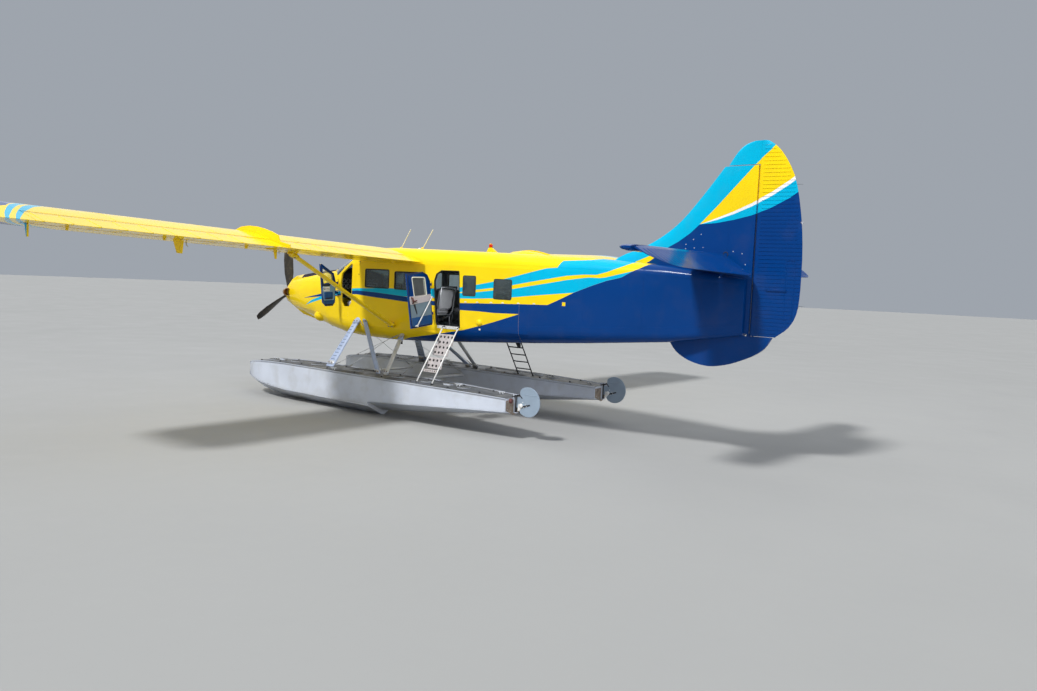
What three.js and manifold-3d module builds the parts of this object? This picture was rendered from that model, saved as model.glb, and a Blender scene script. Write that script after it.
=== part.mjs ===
// A single-engined high-wing utility floatplane, parked on the keels of its two floats.
// Millimetres, +X towards the nose, +Y to port, +Z up. The origin lies under the middle of the
// overall box, on the ground that the keels stand on. Places along the aircraft are given as
// stations: the distance aft of the spinner's tip.
import * as THREE from 'three';
import { mergeVertices } from 'three/addons/utils/BufferGeometryUtils.js';
import Module from 'manifold-3d';

const wasm = await Module();
wasm.setup();

// Driving dimensions
const OVERALL_LENGTH = 12960;
const HALF_SPAN = 8840;
const FIT_GAP = 0.3;
const WALL = 32;
const TAIL_WALL = 14;
const COWL_WALL = 22;
const PANE = 8;
const PANE_INSET = 10;

// Fuselage stations
const COWL_FRONT = 340;
const FIREWALL = 2480;
const COCKPIT_END = 3500;
const CABIN_END = 8200;
const TAIL_POST = 12085;
const SILL_Z = 1815;
const HEADER_Z = 3020;

// Wing
const CHORD = 1980;
const INCIDENCE = THREE.MathUtils.degToRad(2.5);
const DIHEDRAL_SLOPE = 0.0338;
const WING_ROOT_Y = 840;
const TRAILING_EDGE = { station: 5590, y: 770, z: 3080 };
const HINGE_FRACTION = 0.74;
const HINGE_LIFT = 0.0195;
const NOSE_RADIUS = 78;
const COVE_RADIUS = 90;
const FLAP_OUTER_Y = 4110;
const AILERON_INNER_Y = 4150;
const AILERON_OUTER_Y = 8200;
const END_GAP = 12;

// Tail
const RUDDER_HINGE = 12230;
const RUDDER_NOSE = 50;
const FIN_TOP_Z = 4822;
const ELEVATOR_HINGE = { station: 11690, z: 3345 };
const ELEVATOR_NOSE = 48;
const ELEVATOR_DROOP = THREE.MathUtils.degToRad(27);

// Propeller
const HUB = { station: 150, z: 2260 };
const BLADE_LENGTH = 1120;
const BLADE_COUNT = 3;
const BLADE_PARKED_ANGLE = THREE.MathUtils.degToRad(4);
const SPINNER_BACK = 150;

// Floats
const FLOAT_Y = 1430;
const DECK_FITTINGS = { front: 3440, rear: 5100 };
const STEP_STATION = 5150;
const RUDDER_POST = 8545;

// Finishes: colour, roughness, metalness
const finish = (color, roughness, metalness = 0) =>
  new THREE.MeshStandardMaterial({ color, roughness, metalness });
const YELLOW = finish(0xf5d414, 0.3);
const NAVY = finish(0x0b3a86, 0.3);
const FLOAT_GREY = finish(0xc9cedd, 0.5, 0.1);
const STRUT_GREY = finish(0x9fb0cf, 0.45, 0.1);
const SILVER = finish(0xb9bcc2, 0.35, 0.8);
const BLADE_BLACK = finish(0x2b2c2e, 0.55);
const CLEAR = finish(0x7f8d96, 0.08);
const EXHAUST_BRONZE = finish(0x7a5532, 0.4, 0.9);
const CABIN_GREY = finish(0xa9abad, 0.8);
const DARK = finish(0x2a2d33, 0.7);
const WHITE = finish(0xe8e8e6, 0.5);

const point = (station, y, z) => new THREE.Vector3(OVERALL_LENGTH / 2 - station, y, z);

// Booleans

function toManifold(geometry) {
  const bare = geometry.clone();
  for (const name of Object.keys(bare.attributes)) {
    if (name !== 'position') bare.deleteAttribute(name);
  }
  const merged = mergeVertices(bare, 1e-3);
  return new wasm.Manifold(new wasm.Mesh({
    numProp: 3,
    vertProperties: Float32Array.from(merged.attributes.position.array),
    triVerts: Uint32Array.from(merged.index.array),
  }));
}

function fromManifold(manifold) {
  const { vertProperties, triVerts } = manifold.getMesh();
  const geometry = new THREE.BufferGeometry();
  geometry.setAttribute('position', new THREE.BufferAttribute(Float32Array.from(vertProperties), 3));
  geometry.setIndex(new THREE.BufferAttribute(Uint32Array.from(triVerts), 1));
  return geometry;
}

function combine(operation, first, others) {
  const start = toManifold(first);
  return fromManifold(others.reduce((sum, other) => sum[operation](toManifold(other)), start));
}

const join = (first, ...others) => combine('add', first, others);
const cut = (first, ...others) => combine('subtract', first, others);
const common = (first, ...others) => combine('intersect', first, others);

// Shapes

function signedVolume(positions, indices) {
  const corner = [new THREE.Vector3(), new THREE.Vector3(), new THREE.Vector3()];
  let sum = 0;
  for (let i = 0; i < indices.length; i += 3) {
    corner.forEach((vertex, k) => vertex.fromArray(positions, 3 * indices[i + k]));
    sum += corner[0].dot(corner[1].cross(corner[2]));
  }
  return sum / 6;
}

function closedGeometry(positions, indices) {
  if (signedVolume(positions, indices) < 0) indices.reverse();
  const geometry = new THREE.BufferGeometry();
  geometry.setAttribute('position', new THREE.Float32BufferAttribute(positions, 3));
  geometry.setIndex(indices);
  return geometry;
}

// A closed body through rings of equal point count, with a flat cap on each end ring.
function loft(rings) {
  const count = rings[0].length;
  const positions = rings.flat().flatMap((vertex) => vertex.toArray());
  const indices = [];
  for (let ring = 0; ring + 1 < rings.length; ring += 1) {
    for (let k = 0; k < count; k += 1) {
      const a = ring * count + k;
      const b = ring * count + ((k + 1) % count);
      indices.push(a, b, b + count, a, b + count, a + count);
    }
  }
  const caps = [[rings[0], 0, true], [rings[rings.length - 1], count * (rings.length - 1), false]];
  for (const [ring, offset, isFirst] of caps) {
    for (const [a, b, c] of capTriangles(ring)) {
      indices.push(...(isFirst ? [offset + a, offset + c, offset + b] : [offset + a, offset + b, offset + c]));
    }
  }
  return closedGeometry(positions, indices);
}

// Triangulates a flat ring in its own plane, wound as the ring is.
function capTriangles(ring) {
  const normal = new THREE.Vector3();
  ring.forEach((vertex, k) => {
    const next = ring[(k + 1) % ring.length];
    normal.add(new THREE.Vector3().crossVectors(vertex, next));
  });
  normal.normalize();
  const turn = new THREE.Quaternion().setFromUnitVectors(normal, new THREE.Vector3(0, 0, 1));
  const flat = ring.map((vertex) => {
    const turned = vertex.clone().applyQuaternion(turn);
    return new THREE.Vector2(turned.x, turned.y);
  });
  return THREE.ShapeUtils.triangulateShape(flat, []);
}

// A prism whose outline is given in side view, as [station, z] pairs, between two y values.
function sidePrism(outline, yFrom, yTo) {
  return loft([yFrom, yTo].map((y) => outline.map(([station, z]) => point(station, y, z))));
}

function box(stations, ys, zs) {
  const [[s0, s1], [y0, y1], [z0, z1]] = [stations, ys, zs];
  return sidePrism([[s0, z0], [s1, z0], [s1, z1], [s0, z1]], y0, y1);
}

// A bar between two points whose section is an ellipse or a lens. The chord runs fore and aft.
function strut(from, to, { chord, endChord = chord, thickness, sides = 12 }) {
  const along = new THREE.Vector3().subVectors(to, from).normalize();
  const fore = new THREE.Vector3(1, 0, 0).addScaledVector(along, -along.x).normalize();
  const across = new THREE.Vector3().crossVectors(along, fore);
  const ring = (centre, width) => Array.from({ length: sides }, (_, k) => {
    const angle = (2 * Math.PI * k) / sides;
    return centre.clone()
      .addScaledVector(fore, (Math.cos(angle) * width) / 2)
      .addScaledVector(across, (Math.sin(angle) * thickness) / 2);
  });
  return loft([ring(from, chord), ring(to, endChord)]);
}

function rod(from, to, radius, sides = 12) {
  const along = new THREE.Vector3().subVectors(to, from).normalize();
  const helper = Math.abs(along.x) > 0.9 ? new THREE.Vector3(0, 1, 0) : new THREE.Vector3(1, 0, 0);
  const first = new THREE.Vector3().crossVectors(along, helper).normalize();
  const second = new THREE.Vector3().crossVectors(along, first);
  const ring = (centre) => Array.from({ length: sides }, (_, k) => {
    const angle = (2 * Math.PI * k) / sides;
    return centre.clone()
      .addScaledVector(first, Math.cos(angle) * radius)
      .addScaledVector(second, Math.sin(angle) * radius);
  });
  return loft([ring(from), ring(to)]);
}

function shifted(geometry, dx, dy, dz) {
  return geometry.clone().translate(dx, dy, dz);
}

function mirrored(geometry) {
  const copy = geometry.clone();
  const position = copy.attributes.position;
  for (let i = 0; i < position.count; i += 1) position.setY(i, -position.getY(i));
  copy.setIndex(Array.from(copy.index.array).reverse());
  return copy;
}

// The scene graph

const floatplane = new THREE.Group();
floatplane.name = 'floatplane';

function place(name, geometry, material, parent = floatplane) {
  const shaded = geometry.clone();
  shaded.computeVertexNormals();
  const mesh = new THREE.Mesh(shaded, material);
  mesh.name = name;
  parent.add(mesh);
  return mesh;
}

// Adds a port piece as built and its starboard twin mirrored through the middle plane.
function placePair(name, geometry, material) {
  place(`${name}_port`, geometry, material);
  place(`${name}_starboard`, mirrored(geometry), material);
}

// Adds a moving piece on a pivot group, so that its mesh turns about its own hinge.
function placeOnHinge(name, geometry, material, hinge, setAngle = () => {}) {
  const pivot = new THREE.Group();
  pivot.position.copy(hinge);
  setAngle(pivot);
  floatplane.add(pivot);
  place(name, shifted(geometry, -hinge.x, -hinge.y, -hinge.z), material, pivot);
}

// Fuselage: station, half width, top, bottom, radius of the top corners, radius of the bottom ones
const FUSELAGE = [
  [COWL_FRONT, 255, 2505, 1985, 240, 240],
  [620, 400, 2700, 1885, 380, 370],
  [1300, 565, 2778, 1755, 440, 430],
  [2000, 690, 2842, 1640, 450, 400],
  [FIREWALL, 765, 2885, 1555, 450, 370],
  [3000, 800, 3105, 1475, 380, 330],
  [3440, 826, 3290, 1450, 330, 310],
  [3900, 830, 3362, 1440, 300, 300],
  [4500, 830, 3382, 1435, 300, 300],
  [5600, 830, 3360, 1480, 300, 300],
  [7000, 826, 3330, 1570, 300, 290],
  [CABIN_END, 760, 3300, 1650, 300, 270],
  [9300, 610, 3268, 1735, 270, 220],
  [10800, 365, 3170, 1868, 180, 150],
  [TAIL_POST, 105, 3010, 2075, 60, 60],
];
const CORNER_STEPS = 4;

function fuselageRing([station, halfWidth, top, bottom, topRadius, bottomRadius], inset) {
  const corners = [
    [1, 1, topRadius, top, 0],
    [-1, 1, topRadius, top, 90],
    [-1, -1, bottomRadius, bottom, 180],
    [1, -1, bottomRadius, bottom, 270],
  ];
  return corners.flatMap(([side, upper, radius, edge, startAngle]) => {
    const centreY = side * (halfWidth - radius);
    const centreZ = edge - upper * radius;
    const reach = Math.max(radius - inset, 5);
    return Array.from({ length: CORNER_STEPS + 1 }, (_, k) => {
      const angle = THREE.MathUtils.degToRad(startAngle + (90 * k) / CORNER_STEPS);
      return point(station, centreY + reach * Math.cos(angle), centreZ + reach * Math.sin(angle));
    });
  });
}

// The fuselage row at any station, in straight lines between the table's rows.
function fuselageRow(station) {
  const next = Math.max(1, FUSELAGE.findIndex((row) => row[0] >= station));
  const [before, after] = [FUSELAGE[next - 1], FUSELAGE[next]];
  const share = (station - before[0]) / (after[0] - before[0]);
  return before.map((value, column) => value + share * (after[column] - value));
}

function fuselageBody(from, to, inset = 0) {
  const rows = FUSELAGE.filter((row) => row[0] > from && row[0] < to);
  return loft([fuselageRow(from), ...rows, fuselageRow(to)].map((row) => fuselageRing(row, inset)));
}

const wholeBody = fuselageBody(COWL_FRONT, TAIL_POST);
const sideY = (station) => fuselageRow(station)[1];

// Doors and windows: outlines in side view, as [station, z] pairs
const CREW_DOOR = [[3060, 2150], [3130, 2070], [3310, 2070], [3395, 2160], [3415, 3000], [3378, 3010],
  [3052, 2790], [3012, 2600]];
const CABIN_DOOR = [[5962, 1900], [5990, 1850], [6590, 1850], [6525, 2930], [6060, 2930], [5930, 2860],
  [5875, 2720]];
const DOOR_GAP = 9;
const WINDOWS = {
  window_1: [3840, 4560, 2525, 2900],
  window_2: [4740, 5430, 2520, 2870],
  window_3: [6640, 6960, 2470, 2850],
  window_4: [7400, 7810, 2440, 2810],
};
const WINDSCREEN = [[2560, 2868], [2880, 2735], [3335, 3090], [3335, 3330], [2540, 3060]];
const WINDSCREEN_POST = 26;

function shrunk(outline, gap) {
  const shape = outline.map(([station, z]) => new THREE.Vector2(station, z));
  const turn = Math.sign(THREE.ShapeUtils.area(shape));
  return shape.map((corner, k) => {
    const before = shape[(k + shape.length - 1) % shape.length];
    const after = shape[(k + 1) % shape.length];
    const first = corner.clone().sub(before).normalize();
    const second = after.clone().sub(corner).normalize();
    const inward = new THREE.Vector2(-first.y - second.y, first.x + second.x).multiplyScalar(turn);
    const reach = gap / Math.cos(first.angleTo(second) / 2);
    return corner.clone().addScaledVector(inward.normalize(), reach).toArray();
  });
}

const windowOutline = ([s0, s1, z0, z1]) => [[s0, z0], [s1, z0], [s1, z1], [s0, z1]];
const throughSides = (outline) => sidePrism(outline, -1200, 1200);

// A long tube of the fuselage wall between two stations, open at both ends.
function wallTube(from, to, wall) {
  return cut(fuselageBody(from, to), fuselageBody(from - 1, to + 1, wall));
}

// Chin of the cowl: station, half width, bottom, top; the intake in it, and the scoop low on its side
const CHIN = [[420, 130, 1960, 2120], [900, 200, 1770, 1950], [1500, 200, 1660, 1850]];
const INTAKE = { rear: 700, half: 110, levels: [2020, 2100] };
const SCOOP = { centre: [2085, 570, 1800], reach: [165, 150, 130] };
const SHAFT_HOLE_RADIUS = 120;
const ENGINE = { front: 700, half: 270, levels: [1990, 2560], shaftRadius: 70 };

function noseCowl() {
  const frontWall = 40;
  const inner = fuselageBody(COWL_FRONT + frontWall, FIREWALL - FIT_GAP + 1, COWL_WALL);
  const shaftHole = rod(point(0, 0, HUB.z), point(INTAKE.rear, 0, HUB.z), SHAFT_HOLE_RADIUS, 16);
  const intake = box([0, INTAKE.rear], [-INTAKE.half, INTAKE.half], INTAKE.levels);
  const scoop = new THREE.SphereGeometry(1, 20, 12);
  scoop.scale(...SCOOP.reach);
  scoop.translate(...point(...SCOOP.centre).toArray());
  const chin = loft(CHIN.map(([station, half, low, high]) =>
    [[-half, high], [-half * 0.8, low], [half * 0.8, low], [half, high]].map(([y, z]) => point(station, y, z))));
  const shell = join(fuselageBody(COWL_FRONT, FIREWALL - FIT_GAP), scoop, chin);
  return cut(shell, inner, shaftHole, intake);
}

function engineBlock() {
  const block = box([ENGINE.front, FIREWALL - FIT_GAP], [-ENGINE.half, ENGINE.half], ENGINE.levels);
  const shaftFront = point(HUB.station + SPINNER_BACK + FIT_GAP, 0, HUB.z);
  return join(block, rod(shaftFront, point(ENGINE.front + 50, 0, HUB.z), ENGINE.shaftRadius, 16));
}

function cockpitShell() {
  const outer = fuselageBody(FIREWALL, COCKPIT_END - FIT_GAP);
  const hollow = fuselageBody(FIREWALL + WALL, COCKPIT_END + 1, WALL);
  const upper = box([2000, 4000], [-1200, 1200], [SILL_Z, 4000]);
  const halves = [sidePrism(WINDSCREEN, WINDSCREEN_POST, 1200), sidePrism(WINDSCREEN, -1200, -WINDSCREEN_POST)];
  const shell = cut(common(cut(outer, hollow), upper), ...halves, throughSides(CREW_DOOR));
  const knuckles = wallKnuckles(CREW_HINGE);
  return join(shell, ...knuckles, ...knuckles.map(mirrored));
}

function windscreenPane() {
  const opening = sidePrism(shrunk(WINDSCREEN, FIT_GAP), WINDSCREEN_POST + FIT_GAP, 1200);
  const skin = cut(fuselageBody(FIREWALL, COCKPIT_END, PANE_INSET),
    fuselageBody(FIREWALL - 1, COCKPIT_END + 1, PANE_INSET + PANE));
  return common(skin, opening);
}

function sideWindow(rectangle) {
  const [from, to] = rectangle;
  const opening = sidePrism(shrunk(windowOutline(rectangle), FIT_GAP), 0, 1200);
  const skin = cut(fuselageBody(from - 50, to + 50, PANE_INSET),
    fuselageBody(from - 51, to + 51, PANE_INSET + PANE));
  return common(skin, opening);
}

const cabinOpenings = () => [throughSides(CABIN_DOOR),
  ...Object.values(WINDOWS).map((rectangle) => throughSides(windowOutline(rectangle)))];

function cabinSide() {
  const zone = box([COCKPIT_END, CABIN_END - FIT_GAP], [0, 1200], [SILL_Z, HEADER_Z - FIT_GAP]);
  const side = cut(common(wallTube(COCKPIT_END, CABIN_END - FIT_GAP, WALL), zone), ...cabinOpenings());
  return join(side, ...wallKnuckles(CABIN_HINGE));
}

// On the roof: the beacon, the hump (station, half width, top) and the whip antennas (foot, tip)
const BEACON = { station: 6610, radius: 32, foot: 3425, top: 3512 };
const BEACON_FAIRING = { outline: [[6500, 3310], [6830, 3310], [6640, 3435], [6580, 3435]], half: 30 };
const HUMP = [[7060, 40, 3305], [7250, 190, 3360], [7500, 230, 3383], [7750, 190, 3358], [8040, 40, 3300]];
const HUMP_BASE = 3290;
const WHIPS = [[4020, 4320], [4670, 4990]];
const WHIP_FOOT_Z = 3350;
const WHIP_TIP_Z = 3800;
const WHIP = { radius: 9, footRadius: 26, footRise: 60, footLean: 30 };

function cabinRoof() {
  const zone = box([COCKPIT_END, CABIN_END - FIT_GAP], [-1200, 1200], [HEADER_Z, 4000]);
  const roof = common(wallTube(COCKPIT_END, CABIN_END - FIT_GAP, WALL), zone);
  const beaconFairing = sidePrism(BEACON_FAIRING.outline, -BEACON_FAIRING.half, BEACON_FAIRING.half);
  const [beaconFoot, beaconTop] = [BEACON.foot, BEACON.top].map((z) => point(BEACON.station, 0, z));
  const beacon = rod(beaconFoot, beaconTop, BEACON.radius, 12);
  const hump = loft(HUMP.map(([station, half, top]) => {
    const middle = (top + HUMP_BASE) / 2;
    const side = [[half * 0.5, top], [half * 0.9, middle], [half, HUMP_BASE]];
    const other = side.slice().reverse().map(([y, z]) => [-y, z]);
    return [...other, ...side].map(([y, z]) => point(station, y, z));
  }));
  const whips = WHIPS.flatMap(([foot, tip]) => {
    const base = [point(foot - 6, 0, WHIP_FOOT_Z), point(foot + WHIP.footLean, 0, WHIP_FOOT_Z + WHIP.footRise)];
    const whip = [point(foot, 0, WHIP_FOOT_Z), point(tip, 0, WHIP_TIP_Z)];
    return [rod(...whip, WHIP.radius, 8), rod(...base, WHIP.footRadius, 10)];
  });
  return join(roof, beaconFairing, beacon, hump, ...whips);
}

function cabinBelly() {
  const zone = box([FIREWALL, CABIN_END - FIT_GAP], [-1200, 1200], [1000, SILL_Z - FIT_GAP]);
  const hollow = fuselageBody(FIREWALL + WALL, CABIN_END + 1, WALL);
  return common(cut(fuselageBody(FIREWALL, CABIN_END - FIT_GAP), hollow), zone);
}

const FLOOR_Z = [1770, 1800];
const FLOOR_REAR = 8150;

function cabinFloor() {
  const inside = fuselageBody(FIREWALL + WALL + FIT_GAP, CABIN_END - 1, WALL + FIT_GAP);
  return common(inside, box([FIREWALL, FLOOR_REAR], [-1200, 1200], FLOOR_Z));
}

// Behind the cabin: the solid block at the tail post, and the control cables' hole in the bulkhead
const TAIL_BLOCK = 185;
const CABLE_HOLE = { z: 2300, radius: 60, reach: 200 };

function rearFuselage() {
  const inner = fuselageBody(CABIN_END - 1, TAIL_POST - TAIL_BLOCK, TAIL_WALL);
  const shell = cut(fuselageBody(CABIN_END, TAIL_POST), inner);
  const holeEnds = [-1, 1].map((way) => point(CABIN_END + way * CABLE_HOLE.reach, 0, CABLE_HOLE.z));
  const cableHole = rod(...holeEnds, CABLE_HOLE.radius, 12);
  const bulkhead = cut(fuselageBody(CABIN_END + 10, CABIN_END + 40, TAIL_WALL / 2), cableHole);
  return join(shell, bulkhead);
}

// Wing section: fraction of the chord, upper height, lower height
const AEROFOIL = [
  [0, 0, 0], [0.0125, 0.032, -0.022], [0.05, 0.066, -0.033], [0.1, 0.088, -0.038], [0.2, 0.112, -0.042],
  [0.3, 0.12, -0.042], [0.4, 0.116, -0.04], [0.5, 0.105, -0.036], [0.6, 0.088, -0.03], [0.7, 0.067, -0.023],
  [0.8, 0.045, -0.016], [0.9, 0.023, -0.009], [1, 0.0015, -0.0015],
];

function aerofoilHeight(fraction, column) {
  const next = Math.max(1, AEROFOIL.findIndex((row) => row[0] >= fraction));
  const [before, after] = [AEROFOIL[next - 1], AEROFOIL[next]];
  const share = (fraction - before[0]) / (after[0] - before[0]);
  return before[column] + share * (after[column] - before[column]);
}

// Chord-wise place, as fractions of the chord, to a point at a span-wise y.
function wingPoint(fraction, height, y, scale = 1) {
  const back = (1 - fraction) * CHORD;
  const lift = height * CHORD * scale;
  return point(
    TRAILING_EDGE.station - back * Math.cos(INCIDENCE) - lift * Math.sin(INCIDENCE),
    y,
    TRAILING_EDGE.z + (y - TRAILING_EDGE.y) * DIHEDRAL_SLOPE + back * Math.sin(INCIDENCE)
      + lift * Math.cos(INCIDENCE),
  );
}

const hingePoint = (y) => wingPoint(HINGE_FRACTION, HINGE_LIFT, y);

// The fraction of the chord where the cove's arc leaves the upper or lower skin.
function lipFraction(column) {
  let fraction = HINGE_FRACTION;
  const reach = COVE_RADIUS / CHORD;
  while (Math.hypot(fraction - HINGE_FRACTION, aerofoilHeight(fraction, column) - HINGE_LIFT) < reach) {
    fraction -= 0.0005;
  }
  return fraction;
}

function arcFractions(radius, fromDegrees, toDegrees, steps) {
  return Array.from({ length: steps + 1 }, (_, k) => {
    const angle = THREE.MathUtils.degToRad(fromDegrees + ((toDegrees - fromDegrees) * k) / steps);
    return [HINGE_FRACTION + (radius / CHORD) * Math.cos(angle), HINGE_LIFT + (radius / CHORD) * Math.sin(angle)];
  });
}

function fixedSection() {
  const upperLip = lipFraction(1);
  const lowerLip = lipFraction(2);
  const upper = AEROFOIL.filter((row) => row[0] < upperLip - 0.02).map((row) => [row[0], row[1]]);
  const lower = AEROFOIL.filter((row) => row[0] > 0 && row[0] < lowerLip - 0.02).map((row) => [row[0], row[2]]);
  const lipAngle = (fraction, column) => THREE.MathUtils.radToDeg(
    Math.atan2(aerofoilHeight(fraction, column) - HINGE_LIFT, fraction - HINGE_FRACTION),
  );
  const cove = arcFractions(COVE_RADIUS, lipAngle(upperLip, 1), 360 + lipAngle(lowerLip, 2), 6);
  return [...upper, ...cove, ...lower.reverse()];
}

function surfaceSection() {
  const rear = AEROFOIL.filter((row) => row[0] > HINGE_FRACTION + 0.02);
  return [
    ...arcFractions(NOSE_RADIUS, 90, 270, 8),
    ...rear.map((row) => [row[0], row[2]]),
    ...rear.map((row) => [row[0], row[1]]).reverse(),
  ];
}

function fullSection() {
  const upper = AEROFOIL.map((row) => [row[0], row[1]]);
  const lower = AEROFOIL.slice(1).map((row) => [row[0], row[2]]);
  return [...upper, ...lower.reverse()];
}

function wingSpan(section, yFrom, yTo) {
  return loft([yFrom, yTo].map((y) => section.map(([fraction, height]) => wingPoint(fraction, height, y))));
}

// Rounded tip: share of the tip's width, leading edge cut back, trailing edge cut back, thickness
const WING_TIP = [[0, 0, 0, 1], [0.35, 0.01, 0.012, 0.93], [0.65, 0.035, 0.045, 0.75], [0.88, 0.085, 0.11, 0.45],
  [1, 0.16, 0.2, 0.16]];

function wingTip() {
  const width = HALF_SPAN - AILERON_OUTER_Y - END_GAP;
  return loft(WING_TIP.map(([share, fore, aft, thickness]) => fullSection().map(([fraction, height]) =>
    wingPoint(fore + fraction * (1 - fore - aft), height, HALF_SPAN - width * (1 - share), thickness))));
}

// A rib behind the cove that carries the hinge pins, with the wing fence above it.
function hingeRib(yFrom, yTo, withFence) {
  const rib = [[0.62, -0.028], [0.74, -0.03], [0.8, -0.02], [0.86, 0.01], [0.8, 0.03], [0.74, 0.045],
    [0.62, 0.06]];
  const fence = [[0.17, 0.08], [0.21, 0.124], [0.3, 0.155], [0.42, 0.169], [0.55, 0.165], [0.65, 0.152],
    [0.76, 0.13], [0.847, 0.104], [0.87, 0.05], [1.012, 0.03], [1.012, 0], [0.86, 0.01], [0.74, 0.03], [0.5, 0.04]];
  const plate = (outline) => loft([yFrom, yTo].map((y) => outline.map(([f, h]) => wingPoint(f, h, y))));
  return withFence ? join(plate(rib), plate(fence)) : plate(rib);
}

// A pin on the hinge line whose ends are square to the span, as the surfaces' ends are.
function hingePin(yFrom, yTo, radius = 14) {
  return loft([yFrom, yTo].map((y) => Array.from({ length: 10 }, (_, k) => {
    const angle = (2 * Math.PI * k) / 10;
    return hingePoint(y).add(new THREE.Vector3(Math.cos(angle) * radius, 0, Math.sin(angle) * radius));
  })));
}

// Brackets under the wing at the hinges: y, depth below the skin, fractions of the chord at foot and tip
const HINGE_BRACKETS = [[3975, 150, [0.665, 0.712], [0.69, 0.705]], [5760, 205, [0.56, 0.715], [0.62, 0.69]],
  [8085, 165, [0.665, 0.712], [0.69, 0.705]]];
const BRACKET_HALF = 11;
const BRACKET_HEIGHTS = { root: -0.02, skin: -0.032 };

function hingeBracket([y, depth, foot, tip]) {
  const { root, skin } = BRACKET_HEIGHTS;
  const low = skin - depth / CHORD;
  const outline = [[foot[0], root], [tip[0], low], [tip[1], low], [foot[1], root - 0.006]];
  return loft([y - BRACKET_HALF, y + BRACKET_HALF].map((edge) => outline.map(([f, h]) => wingPoint(f, h, edge))));
}

function wingPanel() {
  const fixed = wingSpan(fixedSection(), WING_ROOT_Y, AILERON_OUTER_Y + END_GAP + 4);
  const rib = hingeRib(FLAP_OUTER_Y + END_GAP, AILERON_INNER_Y - END_GAP, true);
  const rootRib = hingeRib(WING_ROOT_Y, WING_ROOT_Y + 20, false);
  const pins = [
    hingePin(WING_ROOT_Y + 10, WING_ROOT_Y + 20 + END_GAP - FIT_GAP),
    hingePin(FLAP_OUTER_Y + FIT_GAP, AILERON_INNER_Y - FIT_GAP),
    hingePin(AILERON_OUTER_Y + FIT_GAP, AILERON_OUTER_Y + END_GAP + 20),
  ];
  return join(fixed, wingTip(), rib, rootRib, ...pins, ...HINGE_BRACKETS.map(hingeBracket));
}

function addWing(side) {
  const flip = side === 'port' ? (geometry) => geometry : mirrored;
  const sign = side === 'port' ? 1 : -1;
  place(`wing_${side}`, flip(wingPanel()), YELLOW);
  const surfaces = {
    flap: [WING_ROOT_Y + 20 + END_GAP, FLAP_OUTER_Y],
    aileron: [AILERON_INNER_Y, AILERON_OUTER_Y],
  };
  for (const [name, [yFrom, yTo]] of Object.entries(surfaces)) {
    const hinge = hingePoint((yFrom + yTo) / 2);
    hinge.y *= sign;
    placeOnHinge(`${name}_${side}`, flip(wingSpan(surfaceSection(), yFrom, yTo)), YELLOW, hinge);
  }
}

// Rows of numbers with smooth curves between them, each gap cut into a few parts
function smoothRows(rows, parts) {
  const knots = rows.map(([a, b, c = 0]) => new THREE.Vector3(a, b, c));
  const curve = new THREE.CatmullRomCurve3(knots, false, 'centripetal');
  return curve.getPoints(parts * (rows.length - 1)).map((knot) => knot.toArray());
}

// The fin: z, leading edge, half thickness
const FIN_LEVELS = smoothRows([[2950, 9200, 62], [3300, 9620, 58], [3480, 10110, 56], [3700, 10520, 54],
  [3950, 10840, 52], [4340, 11190, 46], [4740, 11510, 38], [FIN_TOP_Z, 11575, 36]], 3);
const FIN_REAR = RUDDER_HINGE - RUDDER_NOSE - 12;
// The sternpost that carries the rudder below the fin: half width, bottom, top
const STERNPOST = { half: 56, levels: [2110, 3000] };

function uprightRing(z, leading, trailing, halfThickness) {
  const depth = trailing - leading;
  const shape = [[0, 0], [0.04, 0.42], [0.16, 0.82], [0.4, 1], [1, 0.94]];
  const half = shape.map(([share, thick]) => [leading + depth * share, halfThickness * thick]);
  const other = half.slice(1).reverse().map(([station, y]) => [station, -y]);
  return [...half, ...other].map(([station, y]) => point(station, y, z));
}

function fin() {
  const body = loft(FIN_LEVELS.map(([z, leading, half]) => uprightRing(z, leading, FIN_REAR, half)));
  const belowBody = box([FIN_REAR - 2400, FIN_REAR + 10], [-500, 500], [2000, 2990]);
  const sternpost = box([TAIL_POST + FIT_GAP, FIN_REAR], [-STERNPOST.half, STERNPOST.half], STERNPOST.levels);
  return join(cut(body, shifted(wholeBody, 0, 0, FIT_GAP), belowBody), sternpost);
}

const VENTRAL_TOP = 2068;
const VENTRAL_EDGE = smoothRows([[10720, 1910], [10880, 1715], [11130, 1580], [11480, 1515], [11800, 1565],
  [12040, 1650], [12300, 1775], [12450, 1895], [12560, VENTRAL_TOP]], 3);
const VENTRAL = [...VENTRAL_EDGE, [TAIL_POST, VENTRAL_TOP], [TAIL_POST, 2300], [10720, 2300]];
const VENTRAL_HALF = 24;
const RUDDER_PIN_RADIUS = 16;

function ventralFin() {
  const plate = sidePrism(VENTRAL, -VENTRAL_HALF, VENTRAL_HALF);
  const pinTop = RUDDER_LEVELS[0][0] - FIT_GAP;
  const pivot = rod(point(RUDDER_HINGE, 0, 2040), point(RUDDER_HINGE, 0, pinTop), RUDDER_PIN_RADIUS, 10);
  const aboveBody = box([10500, TAIL_POST - 1], [-100, 100], [2150, 2400]);
  return join(cut(plate, shifted(wholeBody, 0, 0, -FIT_GAP), aboveBody), pivot);
}

// A round nose about a hinge line, from one side to the other: [distance ahead, distance aside]
function noseArc(radius) {
  return Array.from({ length: 7 }, (_, k) => {
    const angle = THREE.MathUtils.degToRad(90 - 30 * k);
    return [radius * Math.cos(angle), radius * Math.sin(angle)];
  });
}

const EDGE_HALF = 4;

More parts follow.
